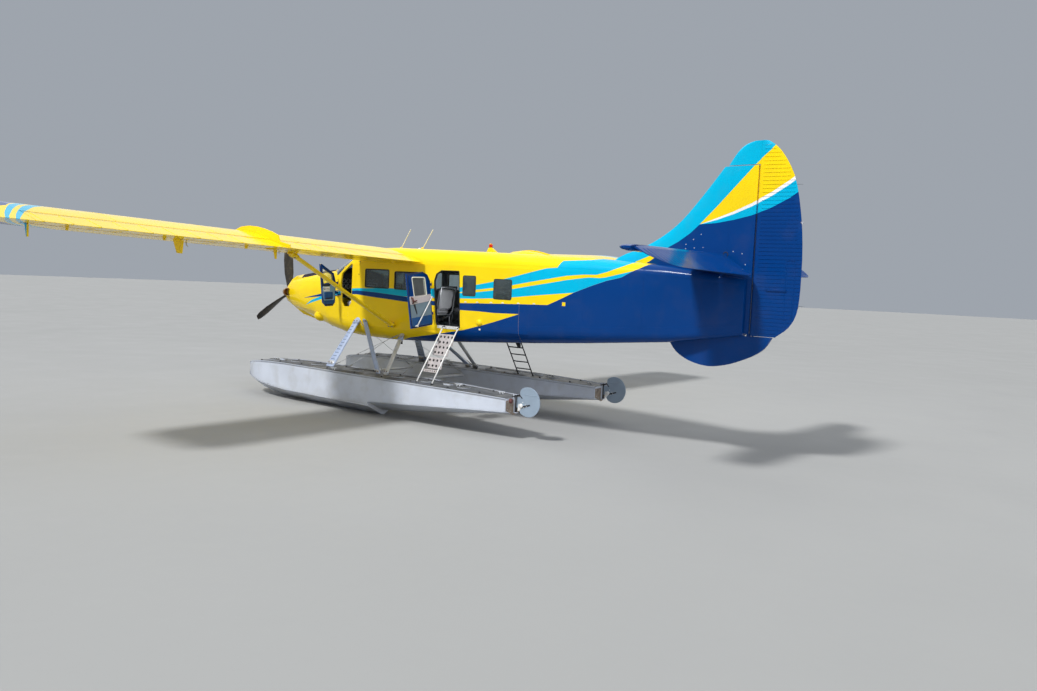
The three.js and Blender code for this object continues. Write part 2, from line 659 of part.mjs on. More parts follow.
// The rudder: z, trailing edge
const RUDDER_LEVELS = smoothRows([[2080, 12600], [2250, 12810], [2460, 12920], [2860, OVERALL_LENGTH],
  [3560, 12945], [4100, 12880], [4640, 12750], [5010, 12535], [5150, 12390], [5210, 12290]], 3);
const HORN_LEVELS = smoothRows([[FIN_TOP_Z + 14, 11640], [5000, 11745], [5100, 11830], [5170, 11930],
  [5210, 12060]], 2);

function rudderRing(z, trailing) {
  const nose = noseArc(RUDDER_NOSE).map(([ahead, aside]) => point(RUDDER_HINGE - ahead, aside, z));
  const edge = Math.min(trailing, OVERALL_LENGTH);
  return [...nose, point(edge, -EDGE_HALF, z), point(edge, EDGE_HALF, z)];
}

function rudder() {
  const blade = loft(RUDDER_LEVELS.map(([z, trailing]) => rudderRing(z, trailing)));
  const horn = loft(HORN_LEVELS.map(([z, leading]) => uprightRing(z, leading, RUDDER_HINGE + 30, 38)));
  return join(blade, horn);
}

// The tailplane: y, leading edge station, half thickness
const TAILPLANE = [[40, 11110, 56], [2600, 11330, 50], [2760, 11355, 46], [2880, 11390, 40], [2950, 11430, 28],
  [2990, 11480, 16]];
const TAIL_INCIDENCE = THREE.MathUtils.degToRad(1.5);
// The elevator when level: y, trailing edge station, nose radius
const ELEVATOR_PLAN = [[130, 12180, 46], [180, 12270, 46], [300, 12350, 46], [2500, 12240, 42], [2670, 12185, 37],
  [2790, 12100, 32], [2880, 12005, 23], [2950, 11900, 14]];
const ELEVATOR_PIN_RADIUS = 14;
const ROOT_ARM = { inner: 40, outer: 90, half: 20 };

const tailZ = (station) => ELEVATOR_HINGE.z + (ELEVATOR_HINGE.station - station) * Math.tan(TAIL_INCIDENCE);

function tailplane(flip, side) {
  const rear = ELEVATOR_HINGE.station - ELEVATOR_NOSE - 12;
  const shape = [[0, 0], [0.04, 0.45], [0.18, 0.85], [0.45, 1], [1, 0.88]];
  const rings = TAILPLANE.map(([y, leading, half]) => {
    const edge = shape.map(([share, thick]) => [leading + (rear - leading) * share, half * thick]);
    return [...edge, ...edge.slice(1).reverse().map(([station, lift]) => [station, -lift])]
      .map(([station, lift]) => point(station, y, tailZ(station) + lift));
  });
  const { station, z } = ELEVATOR_HINGE;
  const pin = rod(point(station, ROOT_ARM.inner, z), point(station, ELEVATOR_PLAN[0][0] - FIT_GAP, z),
    ELEVATOR_PIN_RADIUS, 10);
  const armLevels = [z - ROOT_ARM.half, z + ROOT_ARM.half];
  const rootArm = box([rear - 60, station + 24], [ROOT_ARM.inner, ROOT_ARM.outer], armLevels);
  return cut(flip(join(loft(rings), rootArm, pin)), shifted(fin(), 0, side * FIT_GAP, 0));
}

function elevator() {
  const { station, z } = ELEVATOR_HINGE;
  return loft(ELEVATOR_PLAN.map(([y, trailing, radius]) => {
    const nose = noseArc(radius).map(([ahead, above]) => point(station - ahead, y, z + above));
    return [...nose, point(trailing, y, z - EDGE_HALF), point(trailing, y, z + EDGE_HALF)];
  }));
}

function addTail() {
  place('fin', fin(), NAVY);
  place('ventral_fin', ventralFin(), NAVY);
  placeOnHinge('rudder', rudder(), NAVY, point(RUDDER_HINGE, 0, 2080));
  place('tailplane_port', tailplane((geometry) => geometry, 1), NAVY);
  place('tailplane_starboard', tailplane(mirrored, -1), NAVY);
  const droop = (pivot) => { pivot.rotation.y = -ELEVATOR_DROOP; };
  for (const [side, geometry] of [['port', elevator()], ['starboard', mirrored(elevator())]]) {
    const hinge = point(ELEVATOR_HINGE.station, 0, ELEVATOR_HINGE.z);
    placeOnHinge(`elevator_${side}`, geometry, NAVY, hinge, droop);
  }
}

// A float: station, half beam, keel, chine, gunwale
const FLOAT = [
  [735, 45, 400, 470, 545], [795, 112, 330, 440, 622], [915, 190, 245, 395, 682], [1150, 285, 160, 360, 728],
  [1500, 362, 90, 310, 765], [2000, 412, 30, 265, 790], [2500, 430, 0, 235, 802], [STEP_STATION, 430, 0, 215, 788],
  [STEP_STATION + 12, 430, 90, 290, 790], [6900, 400, 270, 415, 775], [8000, 320, 400, 480, 755],
  [8500, 255, 455, 500, 735],
];
const STERN = FLOAT.at(-1)[0];
const KEEL_HALF = 32;
const GUNWALE_ROUND = 35;
const DECK_CROWN = 14;

function floatRing([station, half, keel, chine, gunwale], y = FLOAT_Y) {
  const keelHalf = Math.min(KEEL_HALF, half * 0.4);
  const round = Math.min(GUNWALE_ROUND, half * 0.4);
  const outline = [[keelHalf, keel], [half, chine], [half, gunwale - round], [half - round, gunwale]];
  const rest = outline.slice().reverse().map(([offset, z]) => [-offset, z]);
  const crown = [0, gunwale + Math.min(DECK_CROWN, half * 0.1)];
  return [...outline, crown, ...rest].map(([offset, z]) => point(station, y + offset, z));
}

// Deck pads that ropes and lift slings are fastened to: station, length, half width, height
const DECK_PADS = [[1900, 160, 45, 832], [6900, 160, 45, 812]];
// The two lugs at the stern that carry the water rudder's post: bottom, top
const STERN_LUGS = [[470, 486], [796, 812]];
const LUG_HALF = 28;

function floatHull() {
  const hull = loft(FLOAT.map((row) => floatRing(row)));
  const pads = DECK_PADS.map(([station, length, half, top]) =>
    box([station - length / 2, station + length / 2], [FLOAT_Y - half, FLOAT_Y + half], [top - 60, top]));
  const across = [FLOAT_Y - LUG_HALF, FLOAT_Y + LUG_HALF];
  const lugs = STERN_LUGS.map((levels) => box([STERN - 20, RUDDER_POST + 30], across, levels));
  const lugPost = box([STERN - 10, STERN + 12], across, [STERN_LUGS[0][0], STERN_LUGS[1][1]]);
  return join(hull, ...pads, ...lugs, lugPost);
}

// The water rudder's blade is a disc cut straighter on its forward side
const WATER_BLADE = { station: 8805, z: 690, radius: 258, forward: 175, half: 7, sides: 28 };

function waterRudder() {
  const { station, z, radius, forward, half, sides } = WATER_BLADE;
  const postLevels = [STERN_LUGS[0][1] + FIT_GAP, STERN_LUGS[1][0] - FIT_GAP];
  const post = rod(...postLevels.map((level) => point(RUDDER_POST, FLOAT_Y, level)), 16, 10);
  const outline = Array.from({ length: sides }, (_, k) => {
    const angle = (2 * Math.PI * (k + 0.5)) / sides;
    return [station + Math.max(-forward, radius * Math.cos(angle)), z + radius * Math.sin(angle)];
  });
  const blade = sidePrism(outline, FLOAT_Y - half, FLOAT_Y + half);
  const arm = box([RUDDER_POST, station - forward + 20], [FLOAT_Y - half, FLOAT_Y + half], [z - 120, z + 60]);
  return join(post, blade, arm);
}

// Struts and what they stand on

// Where each float strut starts on the fuselage and ends on the deck, and its section
const STRUT_FOOT_Y = FLOAT_Y - 10;
const FLOAT_STRUTS = {
  float_front_strut: { top: [3640, 800, 1850], foot: [DECK_FITTINGS.front, STRUT_FOOT_Y, 790],
    section: { chord: 150, endChord: 250, thickness: 58 } },
  float_diagonal_strut: { top: [3810, 800, 1840], foot: [DECK_FITTINGS.rear - 120, STRUT_FOOT_Y, 765],
    section: { chord: 100, thickness: 50 } },
  float_rear_strut: { top: [4960, 770, 1590], foot: [DECK_FITTINGS.rear + 60, STRUT_FOOT_Y, 765],
    section: { chord: 105, thickness: 52 } },
};
const SPREADER = { z: 640, inboard: 300, section: { chord: 90, thickness: 56 } };
const WING_STRUT = { foot: [4730, 800, 1725], top: [4720, 3460, 3130],
  section: { chord: 165, thickness: 62, sides: 16 } };

function floatStrut({ top, foot, section }) {
  const bar = strut(point(...top), point(...foot), section);
  return cut(bar, shifted(floatHull(), 0, 0, FIT_GAP), shifted(wholeBody, 0, FIT_GAP, -FIT_GAP));
}

function spreaderBar(station) {
  const ends = [-1, 1].map((side) => point(station, side * (FLOAT_Y - SPREADER.inboard), SPREADER.z));
  const bar = strut(...ends, SPREADER.section);
  const hull = floatHull();
  return cut(bar, shifted(hull, 0, -FIT_GAP, 0), shifted(mirrored(hull), 0, FIT_GAP, 0));
}

function wingStrut() {
  const bar = strut(point(...WING_STRUT.foot), point(...WING_STRUT.top), WING_STRUT.section);
  return cut(bar, shifted(wholeBody, 0, FIT_GAP, 0), shifted(wingPanel(), 0, 0, -FIT_GAP));
}

// Doors

// Each door swings about a line just outside the skin, ahead of its doorway and leaning forward at the top:
// the line's station at a middle height, its lean, and the feet of its two knuckles
const DOOR_HINGES = {
  crew_door: { station: 2935, z: 2400, lean: THREE.MathUtils.degToRad(3), levels: [2330, 2540] },
  cabin_door: { station: 5845, z: 2350, lean: THREE.MathUtils.degToRad(7), levels: [2050, 2620] },
};
const HINGE_OUT = 20;
const KNUCKLE = { radius: 10, upper: 60, lower: 40 };
const HINGE_ARM = { under: 8, over: 6, inset: 4, hold: 60 };

function doorPanel(outline) {
  const [from, to] = [Math.min(...outline.map((p) => p[0])), Math.max(...outline.map((p) => p[0]))];
  const skin = cut(fuselageBody(from - 20, to + 20), fuselageBody(from - 21, to + 21, WALL));
  return common(skin, sidePrism(shrunk(outline, DOOR_GAP), 0, 1200));
}

// A door hinge's line: a point on it, its direction, and the place on it at any height.
function hingeLine({ station, z, lean, levels }) {
  const origin = point(station, sideY(station) + HINGE_OUT, z);
  const axis = new THREE.Vector3(Math.sin(lean), 0, Math.cos(lean));
  const at = (level) => origin.clone().addScaledVector(axis, (level - z) / Math.cos(lean));
  return { origin, axis, at, levels };
}

const CREW_HINGE = hingeLine(DOOR_HINGES.crew_door);
const CABIN_HINGE = hingeLine(DOOR_HINGES.cabin_door);

// The foremost station of an outline at one height.
function frontAt(outline, z) {
  const crossings = outline.flatMap(([s0, z0], k) => {
    const [s1, z1] = outline[(k + 1) % outline.length];
    return z0 !== z1 && (z0 - z) * (z1 - z) <= 0 ? [s0 + ((s1 - s0) * (z - z0)) / (z1 - z0)] : [];
  });
  return Math.min(...crossings);
}

// The half of each hinge that the door carries, on an arm over the wall's skin to the door's.
function doorKnuckles({ origin, at, levels }, outline) {
  const { under, over, inset, hold } = HINGE_ARM;
  return levels.flatMap((z) => {
    const station = OVERALL_LENGTH / 2 - at(z).x;
    const end = frontAt(outline, z) + DOOR_GAP + hold;
    const heights = [z + inset, z + KNUCKLE.upper - inset];
    return [
      rod(at(z), at(z + KNUCKLE.upper), KNUCKLE.radius, 10),
      box([station, end], [origin.y - under, origin.y + over], heights),
      box([end - hold + inset, end], [origin.y - HINGE_OUT - 10, origin.y + over], heights),
    ];
  });
}

// The other half, on the wall just ahead of the door.
function wallKnuckles({ origin, at, levels }) {
  return levels.flatMap((z) => {
    const station = OVERALL_LENGTH / 2 - at(z).x;
    return [
      rod(at(z - KNUCKLE.lower), at(z - FIT_GAP), KNUCKLE.radius, 10),
      box([station - 60, station], [origin.y - HINGE_OUT - 12, origin.y + 4],
        [z - KNUCKLE.lower + HINGE_ARM.inset, z - HINGE_ARM.inset]),
    ];
  });
}

function windowedDoor(outline, pane, hinge) {
  const opening = sidePrism(pane, 0, 1200);
  return join(cut(doorPanel(outline), opening), ...doorKnuckles(hinge, outline));
}

const CREW_PANE = [[3085, 2590], [3355, 2560], [3362, 2930], [3100, 2765]];
const CABIN_PANE = [[5985, 2430], [6480, 2430], [6460, 2845], [5970, 2805]];

function addDoors() {
  const doors = {
    crew_door: [windowedDoor(CREW_DOOR, CREW_PANE, CREW_HINGE), CREW_HINGE],
    cabin_door: [windowedDoor(CABIN_DOOR, CABIN_PANE, CABIN_HINGE), CABIN_HINGE],
  };
  for (const [name, [geometry, hinge]] of Object.entries(doors)) {
    const open = (pivot) => pivot.setRotationFromAxisAngle(hinge.axis, -Math.PI / 2);
    placeOnHinge(`${name}_port`, geometry, NAVY, hinge.origin, open);
    const across = hinge.origin.clone().setY(-hinge.origin.y);
    placeOnHinge(`${name}_starboard`, mirrored(geometry), YELLOW, across);
  }
}

// Ladders: stations of the rails at the top and at the foot, y at the top and at the foot
const LADDERS = {
  port: [[6220, 6620], [6300, 6700], 895, 1690],
  starboard: [[6220, 6620], [6450, 6850], 895, 1300],
};
const LADDER_LEVELS = [1836, 765];
const TREAD_COUNT = 6;
const TREAD = { half: 45, thick: 8 };

function ladder(side) {
  const [tops, feet, topY, footY] = LADDERS[side];
  const [topZ, footZ] = LADDER_LEVELS;
  const ends = [0, 1].map((k) => [point(tops[k], topY, topZ), point(feet[k], footY, footZ)]);
  const rails = ends.map(([top, foot]) => rod(top, foot, 15, 8));
  const treads = Array.from({ length: TREAD_COUNT }, (_, k) => {
    const share = (k + 1) / (TREAD_COUNT + 1);
    const [left, right] = ends.map(([top, foot]) => top.clone().lerp(foot, share));
    const section = [[-1, -1], [1, -1], [1, 1], [-1, 1]].map(([y, z]) => [y * TREAD.half, z * TREAD.thick]);
    return loft([left, right].map((centre) =>
      section.map(([y, z]) => new THREE.Vector3(centre.x, centre.y + y, centre.z + z))));
  });
  const piece = join(...rails, ...treads);
  const seated = cut(piece, shifted(floatHull(), 0, 0, FIT_GAP), shifted(wholeBody, 0, FIT_GAP, 0));
  return side === 'port' ? seated : mirrored(seated);
}

// Inside the cabin

const CABIN_SEATS = { stations: [4000, 4800, 5600, 7250], y: 460, width: 460 };
const PILOT_SEATS = { stations: [3180], y: 400, width: 480 };
const SEAT_CUSHION = { front: -240, rear: 220, levels: [2060, 2180] };
const SEAT_BACK = [[130, 2150], [230, 2150], [330, 2650], [240, 2650]];
const SEAT_LEG = { front: -200, rear: 180, fromEdge: 60, half: 14 };
const SEAT_RAIL = { over: 230, half: 18, height: 22 };

function seat(station, y, width) {
  const sides = [y - width / 2, y + width / 2];
  const cushion = box([station + SEAT_CUSHION.front, station + SEAT_CUSHION.rear], sides, SEAT_CUSHION.levels);
  return join(cushion, sidePrism(SEAT_BACK.map(([aft, z]) => [station + aft, z]), ...sides));
}

function seatRow({ stations, y, width }, side) {
  const foot = FLOOR_Z[1] + FIT_GAP;
  const legYs = [-1, 1].map((edge) => side * y + edge * (width / 2 - SEAT_LEG.fromEdge));
  const legs = stations.flatMap((station) => legYs.map((legY) =>
    box([station + SEAT_LEG.front, station + SEAT_LEG.rear], [legY - SEAT_LEG.half, legY + SEAT_LEG.half],
      [foot, SEAT_CUSHION.levels[0] + 10])));
  const rails = legYs.map((legY) => box([stations[0] - SEAT_RAIL.over, stations.at(-1) + SEAT_RAIL.over],
    [legY - SEAT_RAIL.half, legY + SEAT_RAIL.half], [foot, FLOOR_Z[1] + SEAT_RAIL.height]));
  return join(...stations.map((station) => seat(station, side * y, width)), ...legs, ...rails);
}

const SEAT_TIE = { stations: [3100, 3140], half: 230 };
const PANEL = { stations: [2640, 2760], half: 700, levels: [2250, 2790] };

// Both pilots' seats, tied across the floor.
function pilotSeats() {
  const levels = [FLOOR_Z[1] + FIT_GAP, FLOOR_Z[1] + SEAT_RAIL.height];
  const tie = box(SEAT_TIE.stations, [-SEAT_TIE.half, SEAT_TIE.half], levels);
  return join(seatRow(PILOT_SEATS, 1), seatRow(PILOT_SEATS, -1), tie);
}

function instrumentPanel() {
  const inside = fuselageBody(FIREWALL + WALL + FIT_GAP, COCKPIT_END, WALL + FIT_GAP);
  return common(inside, box(PANEL.stations, [-PANEL.half, PANEL.half], PANEL.levels));
}

// Propeller blade: share of the length, chord, pitch in degrees, thickness
const BLADE_STATIONS = [[0.08, 110, 62, 90], [0.2, 150, 52, 50], [0.42, 215, 38, 30], [0.7, 225, 26, 20],
  [0.92, 190, 20, 13], [1, 120, 18, 8]];
// Spinner: radius, place ahead of the hub's middle
const SPINNER_PROFILE = [[0, 150], [55, 135], [105, 90], [140, 20], [152, -60], [158, -SPINNER_BACK],
  [0, -SPINNER_BACK]];

function propellerBlade() {
  const rings = BLADE_STATIONS.map(([share, chord, pitch, thickness]) => Array.from({ length: 10 }, (_, k) => {
    const angle = (2 * Math.PI * k) / 10;
    const across = (Math.cos(angle) * chord) / 2;
    const deep = (Math.sin(angle) * thickness) / 2;
    const turn = THREE.MathUtils.degToRad(pitch);
    return new THREE.Vector3(
      across * Math.sin(turn) + deep * Math.cos(turn),
      across * Math.cos(turn) - deep * Math.sin(turn),
      share * BLADE_LENGTH,
    );
  }));
  return loft(rings);
}

function propeller() {
  const spinner = new THREE.LatheGeometry(SPINNER_PROFILE.map(([r, x]) => new THREE.Vector2(r, x)).reverse(), 20);
  spinner.rotateZ(-Math.PI / 2);
  const blades = Array.from({ length: BLADE_COUNT }, (_, k) =>
    propellerBlade().rotateX((2 * Math.PI * k) / BLADE_COUNT - BLADE_PARKED_ANGLE));
  const plain = closedGeometry(Array.from(spinner.attributes.position.array), Array.from(spinner.index.array));
  return join(plain, ...blades);
}

// Exhaust stub: a bent pipe out of the cowl's side, open at its outlet
const EXHAUST = { station: 520, y: 300, z: 2285, bend: 150, radius: 92, wall: 9, turn: 68, tail: 70 };

function exhaustPipe(radius, fromDegrees, tail) {
  const ring = (station, y, angle) => Array.from({ length: 14 }, (_, j) => {
    const around = (2 * Math.PI * j) / 14;
    const out = Math.cos(around) * radius;
    return point(station - Math.cos(angle) * out, y + Math.sin(angle) * out, EXHAUST.z + Math.sin(around) * radius);
  });
  const last = THREE.MathUtils.degToRad(EXHAUST.turn);
  const onArc = (angle) => [EXHAUST.station + EXHAUST.bend * (1 - Math.cos(angle)),
    EXHAUST.y + EXHAUST.bend * Math.sin(angle)];
  const rings = Array.from({ length: 6 }, (_, k) => {
    const angle = THREE.MathUtils.degToRad(fromDegrees + ((EXHAUST.turn - fromDegrees) * k) / 5);
    return ring(...onArc(angle), angle);
  });
  const [station, y] = onArc(last);
  rings.push(ring(station + tail * Math.sin(last), y + tail * Math.cos(last), last));
  return loft(rings);
}

function exhaustStub() {
  const pipe = exhaustPipe(EXHAUST.radius, 0, EXHAUST.tail);
  const bore = exhaustPipe(EXHAUST.radius - EXHAUST.wall, 25, EXHAUST.tail + 5);
  return cut(pipe, bore, shifted(wholeBody, 0, FIT_GAP, 0));
}

function build() {
  place('nose_cowl', noseCowl(), YELLOW);
  place('engine_block', engineBlock(), DARK);
  placePair('exhaust_stub', exhaustStub(), EXHAUST_BRONZE);
  place('cockpit_shell', cockpitShell(), YELLOW);
  placePair('windscreen', windscreenPane(), CLEAR);
  place('cabin_belly', cabinBelly(), YELLOW);
  placePair('cabin_side', cabinSide(), YELLOW);
  place('cabin_roof', cabinRoof(), YELLOW);
  place('cabin_floor', cabinFloor(), CABIN_GREY);
  place('rear_fuselage', rearFuselage(), NAVY);
  for (const [name, rectangle] of Object.entries(WINDOWS)) placePair(name, sideWindow(rectangle), CLEAR);
  place('instrument_panel', instrumentPanel(), DARK);
  place('pilot_seats', pilotSeats(), CABIN_GREY);
  for (const [side, sign] of [['port', 1], ['starboard', -1]]) {
    place(`cabin_seats_${side}`, seatRow(CABIN_SEATS, sign), CABIN_GREY);
  }
  placeOnHinge('propeller', shifted(propeller(), point(HUB.station, 0, HUB.z).x, 0, HUB.z), BLADE_BLACK,
    point(HUB.station, 0, HUB.z));
  addWing('port');
  addWing('starboard');
  addTail();
  placePair('wing_strut', wingStrut(), YELLOW);
  placePair('float', floatHull(), FLOAT_GREY);
  for (const side of ['port', 'starboard']) {
    const geometry = side === 'port' ? waterRudder() : mirrored(waterRudder());
    placeOnHinge(`water_rudder_${side}`, geometry, SILVER,
      point(RUDDER_POST, side === 'port' ? FLOAT_Y : -FLOAT_Y, STERN_LUGS[0][1]));
  }
  for (const [name, sizes] of Object.entries(FLOAT_STRUTS)) {
    placePair(name, floatStrut(sizes), name === 'float_rear_strut' ? SILVER : STRUT_GREY);
  }
  place('spreader_bar_front', spreaderBar(DECK_FITTINGS.front), SILVER);
  place('spreader_bar_rear', spreaderBar(DECK_FITTINGS.rear), SILVER);
  addDoors();
  place('ladder_port', ladder('port'), WHITE);
  place('ladder_starboard', ladder('starboard'), WHITE);
}

build();

export default floatplane;
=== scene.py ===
"""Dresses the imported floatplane: paint, glazing, cabin, fittings and hardware around its CAD frame."""
import logging
import math
from collections.abc import Iterable, Sequence
from dataclasses import dataclass, field, replace
from enum import Enum

import bpy
from mathutils import Matrix, Vector
from mathutils.bvhtree import BVHTree


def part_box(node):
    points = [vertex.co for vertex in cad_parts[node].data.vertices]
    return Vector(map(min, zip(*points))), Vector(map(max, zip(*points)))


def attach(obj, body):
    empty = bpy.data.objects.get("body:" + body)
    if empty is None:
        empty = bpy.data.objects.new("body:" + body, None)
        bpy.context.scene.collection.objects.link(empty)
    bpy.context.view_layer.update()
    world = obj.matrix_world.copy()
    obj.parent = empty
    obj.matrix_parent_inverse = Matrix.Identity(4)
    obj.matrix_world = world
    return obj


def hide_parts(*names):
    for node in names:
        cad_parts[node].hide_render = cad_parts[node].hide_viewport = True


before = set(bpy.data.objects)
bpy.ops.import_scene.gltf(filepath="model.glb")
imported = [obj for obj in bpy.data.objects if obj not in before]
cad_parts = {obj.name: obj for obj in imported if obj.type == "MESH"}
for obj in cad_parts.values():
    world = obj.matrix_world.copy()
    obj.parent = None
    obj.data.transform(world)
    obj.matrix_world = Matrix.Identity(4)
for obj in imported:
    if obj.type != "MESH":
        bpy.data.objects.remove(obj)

log = logging.getLogger("floatplane")

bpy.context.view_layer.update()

HALF_LENGTH = 6.48
FLOAT_CENTRE = 1.43
Point = Sequence[float]
Profile = Sequence[tuple[float, float]]
Socket = bpy.types.NodeSocket

MIX_INPUTS = (0, 6, 7)
MIX_COLOUR_OUTPUT = 2
BEVEL_SEGMENTS = 2
BEVEL_LIMIT = math.radians(40)

AHEAD = Vector((1, 0, 0))
AFT = Vector((-1, 0, 0))
UP = Vector((0, 0, 1))
SIGNS = (1, -1)


def at(station: float, y: float, z: float) -> Vector:
    """A point in the row frame from its station, which is its distance aft of the spinner's tip."""
    return Vector((HALF_LENGTH - station, y, z))


class Side(Enum):
    """The two sides of the aircraft, with the sign of Y there."""

    PORT = 1
    STARBOARD = -1

    @property
    def label(self) -> str:
        """The side's name as it stands in node names."""
        return self.name.lower()


@dataclass(frozen=True)
class Hinge:
    """A door's hinge: its centre on the port side, its lean aft and how far it opens, in degrees."""

    centre: tuple
    lean: float
    opening: float = 90.0

    @property
    def axis(self) -> Vector:
        """Which way the hinge pin points."""
        slope = math.radians(self.lean)
        return Vector((math.sin(slope), 0.0, math.cos(slope)))

    @property
    def angle(self) -> float:
        """How far the door opens, in radians."""
        return math.radians(self.opening)


CREW_HINGE = Hinge((3.545, 0.81563, 2.4), 3.0)
CABIN_HINGE = Hinge((0.635, 0.8493, 2.35), 7.0)


class Graph:
    """Writes one material's node tree."""

    def __init__(self, name: str) -> None:
        """Starts an empty material with a Principled surface.

        Args:
            name: the material's name.
        """
        self.material = bpy.data.materials.new(name)
        self.material.use_nodes = True
        self.tree = self.material.node_tree
        self.tree.nodes.clear()
        self.surface = self.node("ShaderNodeBsdfPrincipled")
        output = self.node("ShaderNodeOutputMaterial")
        self.tree.links.new(self.surface.outputs[0], output.inputs["Surface"])
        self.coordinates = self.node("ShaderNodeTexCoord").outputs["Object"]

    def node(self, kind: str, **settings: object) -> bpy.types.Node:
        """Adds a node.

        Args:
            kind: the node's type.
            settings: attributes to set on it.

        Returns:
            The new node.
        """
        made = self.tree.nodes.new(kind)
        for name, value in settings.items():
            setattr(made, name, value)
        return made

    def feed(self, socket: Socket, value: object) -> None:
        """Links a socket to another, or sets it to a constant."""
        if isinstance(value, bpy.types.NodeSocket):
            self.tree.links.new(value, socket)
        elif value is not None:
            socket.default_value = value

    def math(self, operation: str, a: object, b: object = None) -> Socket:
        """One Math node.

        Args:
            operation: what it does.
            a: its first input, a socket or a number.
            b: its second input, where the operation takes one.

        Returns:
            Its result.
        """
        made = self.node("ShaderNodeMath", operation=operation)
        self.feed(made.inputs[0], a)
        self.feed(made.inputs[1], b)
        return made.outputs[0]

    def fold(self, operation: str, masks: Sequence[object]) -> Socket:
        """Joins several masks by one operation, two at a time.

        Args:
            operation: the Math node's operation.
            masks: the masks.

        Returns:
            The joined mask.
        """
        joined = masks[0]
        for mask in masks[1:]:
            joined = self.math(operation, joined, mask)
        return joined

    def both(self, *masks: object) -> Socket:
        """The product of several masks, which is where all of them hold."""
        return self.fold("MULTIPLY", masks)

    def either(self, *masks: object) -> Socket:
        """The largest of several masks, which is where any of them holds."""
        return self.fold("MAXIMUM", masks)

    def mix(self, share: object, first: object, second: object) -> Socket:
        """A colour between two colours.

        Args:
            share: how much of the second colour there is, from 0 to 1.
            first: the colour at 0.
            second: the colour at 1.

        Returns:
            The mixed colour.
        """
        made = self.node("ShaderNodeMix", data_type="RGBA")
        share_in, first_in, second_in = (made.inputs[k] for k in MIX_INPUTS)
        self.feed(share_in, share)
        self.feed(first_in, rgba(first))
        self.feed(second_in, rgba(second))
        return made.outputs[MIX_COLOUR_OUTPUT]

    def spread(self, value: object, low: float, high: float, to_low: float = 0.0,
               to_high: float = 1.0) -> Socket:
        """A value mapped from one range to another, held at the ends.

        Args:
            value: the value.
            low: the start of its range.
            high: the end of its range.
            to_low: what the start becomes.
            to_high: what the end becomes.

        Returns:
            The mapped value.
        """
        made = self.node("ShaderNodeMapRange")
        self.feed(made.inputs[0], value)
        for index, limit in enumerate((low, high, to_low, to_high), start=1):
            made.inputs[index].default_value = limit
        return made.outputs[0]

    def axes(self, vector: Socket | None = None) -> list[Socket]:
        """The three coordinates of a point.

        Args:
            vector: the point, by default the one that is shaded.

        Returns:
            Its X, Y and Z.
        """
        made = self.node("ShaderNodeSeparateXYZ")
        self.feed(made.inputs[0], vector or self.coordinates)
        return list(made.outputs)

    def noise(self, scale: float, detail: float = 3.0, stretch: Point = (1, 1, 1)) -> Socket:
        """Soft noise in the row frame.

        Args:
            scale: how fine it is, per metre.
            detail: how many finer layers lie on it.
            stretch: its scale along each axis.

        Returns:
            The noise's value.
        """
        mapping = self.node("ShaderNodeMapping")
        mapping.inputs["Scale"].default_value = stretch
        self.feed(mapping.inputs["Vector"], self.coordinates)
        made = self.node("ShaderNodeTexNoise")
        self.feed(made.inputs["Vector"], mapping.outputs[0])
        made.inputs["Scale"].default_value = scale
        made.inputs["Detail"].default_value = detail
        return made.outputs[0]

    def edge(self, along: Socket, places: Sequence[tuple[float, float]]) -> Socket:
        """A line drawn through a few places, as a height over a distance.

        Args:
            along: the distance.
            places: pairs of distance and height, in metres, in order of distance.

        Returns:
            The line's height at that distance.
        """
        first, last = places[0][0], places[-1][0]
        low, high = min(p[1] for p in places), max(p[1] for p in places)
        high = max(high, low + 0.001)
        made = self.node("ShaderNodeFloatCurve")
        curve = made.mapping.curves[0]
        while len(curve.points) < len(places):
            curve.points.new(0.5, 0.5)
        for point, (distance, height) in zip(curve.points, places):
            point.location = ((distance - first) / (last - first), (height - low) / (high - low))
            point.handle_type = "VECTOR"
        made.mapping.update()
        self.feed(made.inputs["Value"], self.spread(along, first, last))
        return self.spread(made.outputs[0], 0.0, 1.0, low, high)

    def above(self, value: object, limit: object, softness: float = 0.0015) -> Socket:
        """A mask that is 1 where a value lies over a limit, with a painted line's narrow edge."""
        return self.spread(self.math("SUBTRACT", value, limit), -softness, softness)

    def within(self, value: object, low: object, high: object) -> Socket:
        """A mask that is 1 between two limits."""
        return self.both(self.above(value, low), self.above(high, value))

    def bump(self, height: Socket, depth: float, under: Socket | None = None) -> Socket:
        """A bump from a height mask.

        Args:
            height: the height, from 0 to 1.
            depth: the real height of 1, in metres.
            under: another bump's normal that this one lies on.

        Returns:
            The bumped normal.
        """
        made = self.node("ShaderNodeBump")
        made.inputs["Distance"].default_value = depth
        self.feed(made.inputs["Height"], height)
        self.feed(made.inputs["Normal"], under)
        return made.outputs[0]

    def set(self, name: str, value: object) -> None:
        """Sets or links one of the surface's own sockets."""
        self.feed(self.surface.inputs[name], rgba(value) if "Color" in name or "Tint" in name else value)


def rgba(colour: object) -> object:
    """A colour with its alpha, where it is given as three numbers."""
    if isinstance(colour, tuple) and len(colour) == 3:
        return (*colour, 1.0)
    return colour


@dataclass(frozen=True)
class Palette:
    """The colours of the paint scheme, as linear values."""

    yellow: tuple = (0.93, 0.66, 0.008)
    cyan: tuple = (0.0, 0.44, 0.68)
    navy: tuple = (0.0008, 0.042, 0.2)
    white: tuple = (0.86, 0.87, 0.88)
    black: tuple = (0.012, 0.012, 0.013)
    grime: tuple = (0.16, 0.12, 0.07)


PALETTE = Palette()


